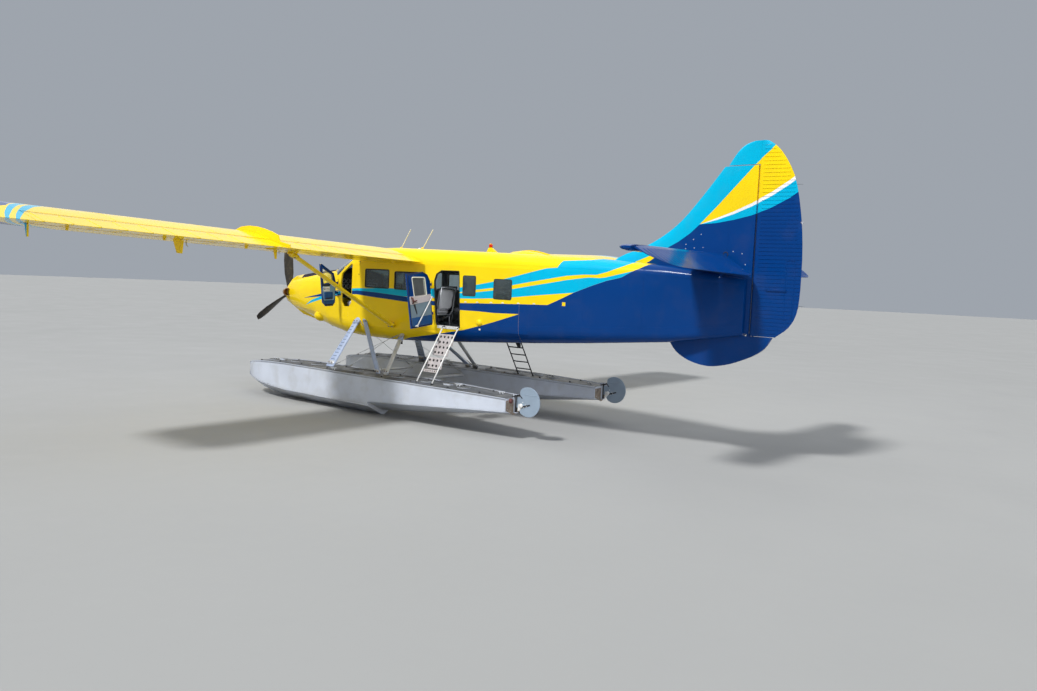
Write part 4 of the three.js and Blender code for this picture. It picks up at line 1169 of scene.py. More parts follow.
def steps(first: float, last: float, size: float) -> list[float]:
    """Evenly spread numbers from first to last, about size apart."""
    count = max(1, round(abs(last - first) / size))
    return [first + (last - first) * k / count for k in range(count + 1)]


@dataclass(frozen=True)
class FloatPaint(Paint):
    """Satin pale grey on the floats' sides, with a darker deck and a stained waterline."""

    roughness: float = 0.42
    shade: float = 0.1
    grain: float = 1.5
    dirt: float = 0.28
    dirt_colour: tuple = (0.34, 0.33, 0.3)
    relief: float = 0.0012
    relief_grain: float = 5.0
    deck: tuple = (0.045, 0.05, 0.06)
    deck_aft: tuple = (0.075, 0.08, 0.085)
    stain: tuple = (0.33, 0.3, 0.22)
    wet_heights: tuple = (0.05, 0.42)
    wetness: float = 0.55
    deck_change: tuple = (-0.6, 1.8)
    deck_facing: float = 0.72

    def make(self) -> bpy.types.Material:
        """Makes the material.

        Returns:
            The Blender material.
        """
        graph = Graph(self.name)
        _, _, upward = graph.axes(graph.node("ShaderNodeTexCoord").outputs["Normal"])
        x, _, z = graph.axes()
        wet = graph.spread(z, *self.wet_heights, self.wetness, 0.0)
        line = graph.both(wet, graph.spread(graph.noise(2.2, 6.0, (1, 1, 3)), 0.42, 0.66))
        colour = graph.mix(line, self.colour, self.stain)
        deck = graph.mix(graph.spread(x, *self.deck_change), self.deck_aft, self.deck)
        colour = graph.mix(graph.above(upward, self.deck_facing, 0.08), colour, deck)
        graph.set("Base Color", self.toned(graph, colour))
        self.finish(graph)
        return graph.material


@dataclass(frozen=True)
class PropellerPaint(Paint):
    """Dark blades, a black spinner tip and bronze metal behind it, told apart by place."""

    roughness: float = 0.34
    shade: float = 0.25
    grain: float = 8.0
    dirt: float = 0.35
    axis_height: float = 2.26
    spinner: float = 0.175
    tip: float = 6.385
    bronze: tuple = (0.33, 0.2, 0.12)
    shine: float = 0.9

    def make(self) -> bpy.types.Material:
        """Makes the material.

        Returns:
            The Blender material.
        """
        graph = Graph(self.name)
        x, y, z = graph.axes()
        rise = graph.math("SUBTRACT", z, self.axis_height)
        squares = graph.math("ADD", graph.math("MULTIPLY", y, y), graph.math("MULTIPLY", rise, rise))
        on_spinner = graph.above(self.spinner, graph.math("SQRT", squares))
        metal = graph.both(on_spinner, graph.above(self.tip, x))
        graph.set("Base Color", self.toned(graph, graph.mix(metal, self.colour, self.bronze)))
        self.finish(graph)
        graph.set("Metallic", graph.math("MULTIPLY", metal, self.shine))
        return graph.material


def paint(name: str, colour: tuple, **wear: float | tuple) -> bpy.types.Material:
    """A painted or bare finish.

    Args:
        name: its name.
        colour: its colour.
        wear: the fields of Paint that differ from its defaults.

    Returns:
        The material.
    """
    return Paint(name, colour, **wear).make()


class Finish:
    """The finishes that several sub-assemblies share, each made once."""

    def __init__(self) -> None:
        """Makes the materials."""
        self.fuselage = AircraftPaint("fuselage_paint", Scheme.FUSELAGE).make()
        self.tail = AircraftPaint("tail_paint", Scheme.TAIL).make()
        self.wing = AircraftPaint("wing_paint", Scheme.WING).make()
        self.float_deck = paint("float_deck_paint", (0.09, 0.1, 0.12), roughness=0.7, shade=0.16,
                                grain=2.4, dirt=0.4, dirt_colour=(0.2, 0.19, 0.17), relief=0.0008,
                                relief_grain=160.0)
        self.strut_blue = paint("strut_blue_grey_paint", (0.36, 0.44, 0.62), roughness=0.4, shade=0.12,
                                grain=3.0, dirt=0.2, relief=0.0003)
        self.aluminium = paint("bare_aluminium", (0.62, 0.64, 0.67), roughness=0.42, metal=0.45,
                               shade=0.14, grain=4.0, stretch=(1, 1, 0.2), dirt=0.2, relief=0.0002,
                               relief_grain=90.0)
        self.steel = paint("dull_steel", (0.42, 0.42, 0.43), roughness=0.38, metal=0.95, shade=0.2,
                           grain=9.0, relief=0.0002, relief_grain=120.0)
        self.bronze = paint("heat_tinted_metal", (0.5, 0.3, 0.13), roughness=0.3, metal=0.95, shade=0.4,
                            grain=7.0, dirt=0.5, dirt_colour=(0.1, 0.07, 0.09), relief=0.0004,
                            relief_grain=30.0)
        self.rubber = paint("black_rubber", (0.018, 0.018, 0.02), roughness=0.62, shade=0.25, grain=12.0,
                            relief=0.0003, relief_grain=140.0)
        self.black = paint("matt_black_paint", (0.025, 0.025, 0.028), roughness=0.55, shade=0.3,
                           grain=6.0, relief=0.0003, relief_grain=80.0)
        self.dark_glass = Glass("window_glass").make()
        self.white = paint("white_paint", (0.8, 0.8, 0.78), roughness=0.36, shade=0.1, grain=5.0,
                           dirt=0.25, relief=0.0003, relief_grain=50.0)
        self.lining = paint("cabin_lining", (0.5, 0.52, 0.54), roughness=0.72, shade=0.12, grain=5.0,
                            dirt=0.15, relief=0.0006, relief_grain=220.0)
        self.slate = paint("door_lining", (0.21, 0.29, 0.35), roughness=0.6, shade=0.14, grain=4.0,
                           dirt=0.12, relief=0.0008, relief_grain=180.0)
        self.navy = paint("navy_paint", PALETTE.navy, roughness=0.3, specular=0.2, shade=0.1, grain=3.0)
        self.yellow = paint("yellow_paint", PALETTE.yellow, roughness=0.26, coat=0.08, specular=0.2,
                            shade=0.06, grain=3.0, dirt=0.12)
        self.clear_glass = Glass("door_glass", (0.72, 0.78, 0.8)).make()
        self.rudder_grey = paint("water_rudder_paint", (0.27, 0.34, 0.42), roughness=0.5, shade=0.1,
                                 grain=3.0, dirt=0.15, dirt_colour=(0.2, 0.22, 0.24), relief=0.0004)
        self.step_grey = paint("step_mark_paint", (0.14, 0.18, 0.27), roughness=0.75, shade=0.2,
                               grain=20.0)
        self.arm_strip = paint("arm_strip_lining", (0.62, 0.56, 0.57), roughness=0.55, shade=0.12,
                               grain=6.0, dirt=0.25, dirt_colour=(0.36, 0.3, 0.32), relief=0.0006,
                               relief_grain=150.0)
        self.brown = paint("brown_trim", (0.13, 0.045, 0.04), roughness=0.5, shade=0.3, grain=9.0,
                           relief=0.0005, relief_grain=90.0)
        self.cream = paint("cream_trim", (0.86, 0.87, 0.72), roughness=0.5, shade=0.12, grain=8.0,
                           relief=0.0004, relief_grain=120.0)
        self.engine = paint("engine_metal", (0.2, 0.19, 0.18), roughness=0.45, metal=0.8, shade=0.4,
                            grain=14.0, dirt=0.4, relief=0.002, relief_grain=40.0)
        self.door_blue = paint("door_blue_lining", (0.26, 0.46, 0.66), roughness=0.5, shade=0.14,
                               grain=5.0, dirt=0.12, relief=0.0006, relief_grain=160.0)
        self.door_blue_dark = paint("door_blue_lower", (0.012, 0.09, 0.27), roughness=0.5, shade=0.2,
                                    grain=5.0, dirt=0.15, relief=0.0006, relief_grain=160.0)
        self.door_pocket = paint("door_pocket", (0.015, 0.1, 0.33), roughness=0.6, shade=0.2, grain=8.0,
                                 relief=0.0008, relief_grain=240.0)
        self.rust = paint("weathered_transom", (0.3, 0.25, 0.2), roughness=0.7, shade=0.4, grain=9.0,
                          dirt=0.6, dirt_colour=(0.2, 0.07, 0.04), relief=0.001, relief_grain=60.0)
        self.red_lens = Glass("red_lens", (0.8, 0.02, 0.01), 0.05, 0.6).make()
        self.green_lens = Glass("green_lens", (0.01, 0.6, 0.12), 0.05, 0.6).make()
        self.clear_lens = Glass("clear_lens", (0.9, 0.9, 0.92), 0.04, 0.7).make()
        self.float_paint = FloatPaint("float_paint", (0.56, 0.6, 0.68)).make()
        self.propeller = PropellerPaint("propeller_paint", (0.03, 0.028, 0.026)).make()
        self.fabric = Cloth("seat_fabric", (0.86, 0.87, 0.9)).make()
        self.tread = paint("tread_alloy", (0.5, 0.46, 0.46), roughness=0.45, shade=0.15, grain=8.0,
                           dirt=0.4)
        self.card = paint("card", (0.93, 0.96, 1.0), roughness=0.4, shade=0.02, grain=5.0, dirt=0.0)


@dataclass
class Skinning:
    """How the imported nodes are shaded, so that their facets read as curved sheet."""

    crease: float = math.radians(32)
    weld: float = 0.00005

    def dress(self, node: str, material: bpy.types.Material) -> None:
        """Gives a CAD node its finish and smooth shading between its creases.

        Args:
            node: the CAD node's name.
            material: its finish.
        """
        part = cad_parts[node]
        mesh = part.data
        if "custom_normal" in mesh.attributes:
            mesh.attributes.remove(mesh.attributes["custom_normal"])
        mesh.polygons.foreach_set("use_smooth", [True] * len(mesh.polygons))
        mesh.materials.clear()
        mesh.materials.append(material)
        joined = part.modifiers.new("joined", "WELD")
        joined.merge_threshold = self.weld
        creased = part.modifiers.new("creased", "EDGE_SPLIT")
        creased.split_angle = self.crease
        creased.use_edge_sharp = False


SKINNING = Skinning()


def both_sides(name: str) -> list[str]:
    """A node's names on the two sides."""
    return [f"{name}_{side.label}" for side in Side]


@dataclass
class Camera:
    """The photograph's viewpoint."""

    place: tuple = (-11.27979, 13.27854, 2.84126)
    yaw: float = -52.10766
    pitch: float = -4.46622
    roll: float = 2.50122
    focal_pixels: float = 855.34
    image_width: float = 1037.0
    sensor: float = 36.0
    farthest: float = 500.0

    def build(self) -> None:
        """Makes the camera and gives it to the scene."""
        yaw, pitch, roll = (math.radians(a) for a in (self.yaw, self.pitch, self.roll))
        ahead = Vector((math.cos(pitch) * math.cos(yaw), math.cos(pitch) * math.sin(yaw), math.sin(pitch)))
        right = ahead.cross(UP).normalized()
        up = right.cross(ahead)
        across = right * math.cos(roll) + up * math.sin(roll)
        upward = up * math.cos(roll) - right * math.sin(roll)
        data = bpy.data.cameras.new("photo_camera")
        data.sensor_width = self.sensor
        data.lens = self.focal_pixels * self.sensor / self.image_width
        data.clip_end = self.farthest
        camera = bpy.data.objects.new("photo_camera", data)
        turn = Matrix((across, upward, -ahead)).transposed().to_4x4()
        camera.matrix_world = Matrix.Translation(self.place) @ turn
        bpy.context.scene.collection.objects.link(camera)
        bpy.context.scene.camera = camera


@dataclass(frozen=True)
class Lamp:
    """A distant lamp with a soft edge: its turn and its width are in degrees."""

    name: str
    turn: tuple
    strength: float
    width: float

    def build(self) -> None:
        """Makes the lamp."""
        data = bpy.data.lights.new(self.name, "SUN")
        data.energy = self.strength
        data.angle = math.radians(self.width)
        lamp = bpy.data.objects.new(self.name, data)
        lamp.rotation_euler = [math.radians(a) for a in self.turn]
        bpy.context.scene.collection.objects.link(lamp)


@dataclass
class Studio:
    """A plain pale floor and soft light around the aircraft."""

    floor_radius: float = 140.0
    floor_sides: int = 96
    floor_paint: Paint = Paint("studio_floor", (0.36, 0.36, 0.35), roughness=0.8, shade=0.03, grain=0.2)
    sky: tuple = (0.78, 0.85, 0.95)
    sky_strength: float = 0.44
    lamps: tuple = (
        Lamp("key_light", (40.0, 0.0, 170.0), 3.0, 8.0),
        Lamp("fill_light", (66.0, 0.0, 248.0), 1.1, 60.0),
        Lamp("back_light", (62.0, 0.0, 50.0), 0.35, 60.0),
    )
    box_size: float = 13.0
    box_height: float = 13.0
    box_power: float = 400.0
    tone: str = "Standard"

    def build(self) -> None:
        """Makes the floor, the sky's light, the distant lamps and the softbox."""
        rim = [(math.cos(a) * self.floor_radius, math.sin(a) * self.floor_radius, 0.0)
               for a in around(self.floor_sides)]
        mesh = bpy.data.meshes.new("studio_floor")
        mesh.from_pydata(rim, [], [tuple(range(self.floor_sides))])
        floor = bpy.data.objects.new("studio_floor", mesh)
        mesh.materials.append(self.floor_paint.make())
        bpy.context.scene.collection.objects.link(floor)
        world = bpy.data.worlds.new("soft_sky")
        world.use_nodes = True
        background = world.node_tree.nodes["Background"]
        background.inputs["Color"].default_value = (*self.sky, 1.0)
        background.inputs["Strength"].default_value = self.sky_strength
        bpy.context.scene.world = world
        bpy.context.scene.view_settings.view_transform = self.tone
        for lamp in self.lamps:
            lamp.build()
        self.softbox()

    def softbox(self) -> None:
        """A broad lamp overhead, which gives the upper curves a soft bright reflection."""
        data = bpy.data.lights.new("overhead_softbox", "AREA")
        data.energy = self.box_power
        data.size = self.box_size
        box = bpy.data.objects.new("overhead_softbox", data)
        box.location = (0.0, 0.0, self.box_height)
        box.visible_camera = False
        bpy.context.scene.collection.objects.link(box)


@dataclass(frozen=True)
class Hull:
    """The fuselage's sections, as station, half width, top and bottom."""

    rows: tuple = (
        (0.34, 0.255, 2.505, 1.985), (0.62, 0.4, 2.7, 1.885), (1.3, 0.565, 2.778, 1.755),
        (2.0, 0.69, 2.842, 1.64), (2.48, 0.765, 2.885, 1.555), (3.0, 0.8, 3.105, 1.475),
        (3.44, 0.826, 3.29, 1.45), (3.9, 0.83, 3.362, 1.44), (4.5, 0.83, 3.382, 1.435),
        (5.6, 0.83, 3.36, 1.48), (7.0, 0.826, 3.33, 1.57), (8.2, 0.76, 3.3, 1.65),
        (9.3, 0.61, 3.268, 1.735), (10.8, 0.365, 3.17, 1.868), (12.085, 0.105, 3.01, 2.075),
    )
    wall: float = 0.032

    def row(self, station: float) -> tuple[float, float, float]:
        """The half width, top and bottom at a station.

        Args:
            station: the station.

        Returns:
            The three, between the two nearest sections.
        """
        for first, second in zip(self.rows, self.rows[1:]):
            if station <= second[0]:
                share = max(0.0, (station - first[0]) / (second[0] - first[0]))
                return tuple(a + (b - a) * share for a, b in zip(first[1:], second[1:]))
        return self.rows[-1][1:]

    def half(self, station: float) -> float:
        """The half width at a station."""
        return self.row(station)[0]

    def middle(self, station: float) -> float:
        """The height halfway between the bottom and the top."""
        _, top, bottom = self.row(station)
        return (top + bottom) / 2


HULL = Hull()
LONGEST_CUT = 0.45
SHARPEST_CORNER = 0.4


def rounded(corners: Profile, radius: float, parts: int = 4) -> list[tuple[float, float]]:
    """An outline with its corners rounded.

    Args:
        corners: the corners, in order.
        radius: the size of the rounding.
        parts: how many pieces each corner's curve has.

    Returns:
        The rounded outline.
    """
    points = []
    for k, corner in enumerate(corners):
        here = Vector(corner)
        back, on = Vector(corners[k - 1]) - here, Vector(corners[(k + 1) % len(corners)]) - here
        cut = min(radius / math.tan(back.angle(on) / 2), back.length * LONGEST_CUT, on.length * LONGEST_CUT)
        start, end = here + back.normalized() * cut, here + on.normalized() * cut
        for j in range(parts + 1):
            t = j / parts
            points.append(tuple(start * (1 - t) ** 2 + here * (2 * t * (1 - t)) + end * t * t))
    return points


def offset(corners: Profile, distance: float) -> list[tuple[float, float]]:
    """An outline moved outward.

    Args:
        corners: the corners, in order.
        distance: how far it moves; a negative distance moves it inward.

    Returns:
        The moved outline.
    """
    pairs = list(zip(corners, [*corners[1:], corners[0]]))
    turn = 1 if sum(a[0] * b[1] - b[0] * a[1] for a, b in pairs) > 0 else -1
    moved = []
    for k, corner in enumerate(corners):
        here = Vector(corner)
        first = (here - Vector(corners[k - 1])).normalized()
        second = (Vector(corners[(k + 1) % len(corners)]) - here).normalized()
        out = Vector((first.y, -first.x)) * turn
        way = (out + Vector((second.y, -second.x)) * turn).normalized()
        moved.append(tuple(here + way * (distance / max(SHARPEST_CORNER, way.dot(out)))))
    return moved


def rectangle(low: tuple[float, float], high: tuple[float, float]) -> list[tuple[float, float]]:
    """A rectangle's corners, in order."""
    return [(low[0], low[1]), (high[0], low[1]), (high[0], high[1]), (low[0], high[1])]


RUBBER_SECTION = ((0.015, -0.001), (0.015, 0.002), (0.01, 0.004), (0.0, 0.0045), (-0.007, 0.0035),
                  (-0.01, 0.0), (-0.01, -0.012), (0.0, -0.012))


@dataclass
class SidePanel:
    """A frame of reference on the fuselage's side, or on a door that swings out of it."""

    side: Side
    hinge: Hinge | None = None

    def turn(self) -> Matrix:
        """How the panel is turned at rest from its closed place.

        Returns:
            The turn about its hinge, or none where it has no hinge.
        """
        if self.hinge is None:
            return Matrix.Identity(4)
        place = Matrix.Translation(self.hinge.centre)
        return place @ Matrix.Rotation(-self.hinge.angle, 4, self.hinge.axis) @ place.inverted()

    def point(self, station: float, z: float, depth: float = 0.0) -> Vector:
        """A point on the panel, or a depth inside it."""
        return self.turn() @ at(station, self.side.value * (HULL.half(station) - depth), z)

    def outline(self, corners: Profile, depth: float = 0.0) -> list[Vector]:
        """An outline of stations and heights on the panel."""
        return [self.point(s, z, depth) for s, z in corners]

    def outward(self) -> Vector:
        """Which way the panel's outer face looks."""
        return self.turn().to_3x3() @ Vector((0, self.side.value, 0))

    def plate(self, shape: Shape, corners: Profile, depth: float, thickness: float) -> None:
        """Adds a flat plate whose outer face lies at a depth inside the panel."""
        shape.prism(self.outline(corners, depth), -self.outward() * thickness)


@dataclass
class Windows:
    """The cabin's side windows: rubber seals outside and pale trim frames inside."""

    openings: tuple = ((3.84, 4.56, 2.525, 2.9), (4.74, 5.43, 2.52, 2.87), (6.64, 6.96, 2.47, 2.85),
                       (7.4, 7.81, 2.44, 2.81))
    first_blister: int = 3
    corner: float = 0.034
    blister_corner: float = 0.02
    blister_rings: tuple = ((0.006, -0.002), (0.012, 0.004), (0.275, 0.032), (0.48, 0.04))
    slim: float = 0.6
    trim_section: tuple = ((0.03, 0.0), (0.03, 0.006), (-0.008, 0.008), (-0.012, 0.0))

    def build(self, finish: Finish) -> None:
        """Builds the frames of all windows.

        Args:
            finish: the shared finishes.
        """
        for side in Side:
            panel = SidePanel(side)
            for number, (s0, s1, z0, z1) in enumerate(self.openings, start=1):
                outline = rounded(rectangle((s0, z0), (s1, z1)), self.corner)
                width = self.slim if number >= self.first_blister else 1.0
                section = [(a * width, b) for a, b in RUBBER_SECTION]
                seal = Shape()
                seal.frame(panel.outline(outline), section, panel.outward())
                seal.build(f"window_{number}_seal_{side.label}", finish.rubber)
                if number >= self.first_blister:
                    self.blister(panel, number, finish)
                trim = Shape()
                trim.frame(panel.outline(outline, HULL.wall), self.trim_section, -panel.outward())
                trim.build(f"window_{number}_trim_{side.label}", finish.white, slot="cabin_trim")

    def blister(self, panel: SidePanel, number: int, finish: Finish) -> None:
        """The aft windows' panes stand out in four soft facets.

        Args:
            panel: the side's frame of reference.
            number: the window's number.
            finish: the shared finishes.
        """
        s0, s1, z0, z1 = self.openings[number - 1]
        rings = []
        for share, height in self.blister_rings:
            margin_s, margin_z = (s1 - s0) * share, (z1 - z0) * share
            corners = rectangle((s0 + margin_s, z0 + margin_z), (s1 - margin_s, z1 - margin_z))
            rings.append(panel.outline(rounded(corners, self.blister_corner, 3), -height))
        shape = Shape()
        shape.loft(rings, smooth=False)
        shape.build(f"window_{number}_blister_{panel.side.label}", finish.dark_glass, slot="glazing")


@dataclass
class DoorTrim:
    """What all four doors carry: glass, window frames, seal, inner panel, handles and hinges."""

    name: str
    side: Side
    corners: tuple
    pane: tuple
    inner: tuple
    handle: tuple
    hinge: Hinge
    knuckles: tuple
    sight: tuple
    gap: float = 0.009
    glass_margin: float = 0.004
    glass_depth: float = 0.015
    glass_thickness: float = 0.004
    pane_corner: float = 0.05
    sight_corner: float = 0.03
    surround_margin: float = 0.02
    surround_heights: tuple = (0.001, 0.006)
    lining_corner: float = 0.04
    lining_thickness: float = 0.007
    seal_inset: float = 0.016
    seal_radius: float = 0.006
    band_corner: float = 0.004
    frame_section: tuple = ((0.016, 0.0), (0.016, 0.012), (0.01, 0.016), (0.002, 0.016), (-0.004, 0.01),
                            (-0.005, -0.006))
    handle_plate: tuple = ((0.034, -0.002), (0.034, 0.005), (0.028, 0.009), (0.014, 0.011), (0.012, 0.026))
    lever: tuple = ((0.0, 0.0, 0.024), (-0.03, 0.002, 0.027), (-0.08, 0.008, 0.028), (-0.12, 0.016, 0.022))
    lever_radii: tuple = (0.011, 0.010, 0.009, 0.007)
    knuckle_radius: float = 0.0095
    door_knuckles: tuple = ((-0.045, -0.016), (0.016, 0.045))
    frame_knuckles: tuple = ((-0.014, 0.014),)

    def __post_init__(self) -> None:
        """Works out the door's frame of reference and its body: the port doors stand open."""
        self.opened = self.side is Side.PORT
        self.panel = SidePanel(self.side, self.hinge if self.opened else None)
        self.body = f"{self.name}_{self.side.label}"

    def piece(self, name: str, material: bpy.types.Material, corners: Profile, depth: float,
              thickness: float, bevel: float = 0.0, slot: str | None = None) -> None:
        """Builds one flat plate on the door as a piece of its own.

        Args:
            name: its name after the door's own.
            material: its material.
            corners: its outline in stations and heights.
            depth: how deep inside the panel its outer face lies.
            thickness: its thickness.
            bevel: how far its edges are rounded.
            slot: the record's material slot, passed on to the build, which does not use it.
        """
        shape = Shape()
        self.panel.plate(shape, corners, depth, thickness)
        shape.build(f"{self.body}_{name}", material, self.body, slot, bevel)

    def build(self, finish: Finish, frame_paint: bpy.types.Material, panel_paint: bpy.types.Material) -> None:
        """Builds the door's trim.

        Args:
            finish: the shared finishes.
            frame_paint: the inner window frame's finish.
            panel_paint: the inner panel's finish.
        """
        self.window(finish, frame_paint)
        self.piece("lining", panel_paint, rounded(self.inner, self.lining_corner), HULL.wall,
                   self.lining_thickness, 0.003, "cabin_trim")
        self.edges(finish)
        self.handles(finish)
        self.hinges(finish)

    def window(self, finish: Finish, frame_paint: bpy.types.Material) -> None:
        """Builds the pane, its rubber seal, its inner frame and the panel around that.

        Args:
            finish: the shared finishes.
            frame_paint: the inner window frame's finish.
        """
        pane_finish = finish.clear_glass if self.opened else finish.dark_glass
        self.piece("glass", pane_finish, offset(self.pane, self.glass_margin), self.glass_depth,
                   self.glass_thickness, slot="glazing")
        seal = Shape()
        outline = rounded(self.pane, self.pane_corner)
        seal.frame(self.panel.outline(outline), RUBBER_SECTION, self.panel.outward())
        seal.build(f"{self.body}_window_seal", finish.rubber, self.body)
        inner = rounded(self.sight, self.sight_corner)
        trim = Shape()
        trim.frame(self.panel.outline(inner, HULL.wall), self.frame_section, -self.panel.outward())
        trim.build(f"{self.body}_window_frame", frame_paint, self.body)
        outer = rounded(offset(self.pane, self.surround_margin), self.pane_corner)
        low, high = (HULL.wall + height for height in self.surround_heights)
        rings = [self.panel.outline(line, depth) for line, depth in (
            (outer, low), (inner, low), (inner, high), (outer, high))]
        surround = Shape()
        surround.loft([*rings, rings[0]], smooth=False, capped=False)
        surround.build(f"{self.body}_window_surround", finish.navy, self.body, bevel=0.001)

    def edges(self, finish: Finish) -> None:
        """Builds the seal around the inner face and the band around the door's edge.

        Args:
            finish: the shared finishes.
        """
        edge = Shape()
        rim = rounded(offset(self.corners, -self.gap - self.seal_inset), self.pane_corner)
        edge.tube(self.panel.outline(rim, HULL.wall + 0.004), self.seal_radius, 6, closed=True)
        edge.build(f"{self.body}_edge_seal", finish.rubber, self.body)
        back, front = -HULL.wall - 0.001, -HULL.wall + 0.001
        section = ((0.0014, -0.002), (0.0014, back), (-0.006, back), (-0.006, front), (-0.002, front),
                   (-0.002, -0.002))
        outline = rounded(offset(self.corners, -self.gap), self.band_corner)
        band = Shape()
        band.frame(self.panel.outline(outline), section, self.panel.outward(), smooth=False)
        band.build(f"{self.body}_edge_band", finish.navy, self.body)

    def handles(self, finish: Finish) -> None:
        """Builds the outer and the inner handle, each a lever on a round plate.

        Args:
            finish: the shared finishes.
        """
        station, z = self.handle
        shape = Shape()
        for sign, depth in ((1, 0.0), (-1, HULL.wall + self.lining_thickness)):
            way = self.panel.outward() * sign
            shape.disc(self.panel.point(station, z, depth), way, self.handle_plate)
            grip = [self.panel.point(station + run, z - drop, depth) + way * rise
                    for run, drop, rise in self.lever]
            shape.tube(grip, self.lever_radii, 8)
        shape.build(f"{self.body}_handles", finish.steel, self.body)

    def hinges(self, finish: Finish) -> None:
        """Builds the hinges' knuckles, whose middle third stays on the fuselage.

        Args:
            finish: the shared finishes.
        """
        x, y, z = self.hinge.centre
        axis = self.hinge.axis
        for name, spans, body in (("door", self.door_knuckles, self.body),
                                  ("frame", self.frame_knuckles, "airframe")):
            shape = Shape()
            for height in self.knuckles:
                centre = Vector((x, y * self.side.value, z)) + axis * (height - z)
                for low, high in spans:
                    shape.tube([centre + axis * low, centre + axis * high], self.knuckle_radius, 12)
            shape.build(f"{self.body}_hinge_{name}", finish.fuselage, body)


CREW_CORNERS = ((3.06, 2.15), (3.13, 2.07), (3.31, 2.07), (3.395, 2.16), (3.415, 3.0), (3.378, 3.01),
                (3.052, 2.79), (3.012, 2.6))
CREW_PANE = ((3.085, 2.59), (3.355, 2.56), (3.362, 2.93), (3.1, 2.765))
CABIN_CORNERS = ((5.962, 1.9), (5.99, 1.85), (6.59, 1.85), (6.525, 2.93), (6.06, 2.93), (5.93, 2.86),
                 (5.875, 2.72))
CABIN_PANE = ((5.985, 2.43), (6.48, 2.43), (6.46, 2.845), (5.97, 2.805))
CABIN_SIGHT = ((6.045, 2.46), (6.385, 2.445), (6.38, 2.835), (6.035, 2.8))


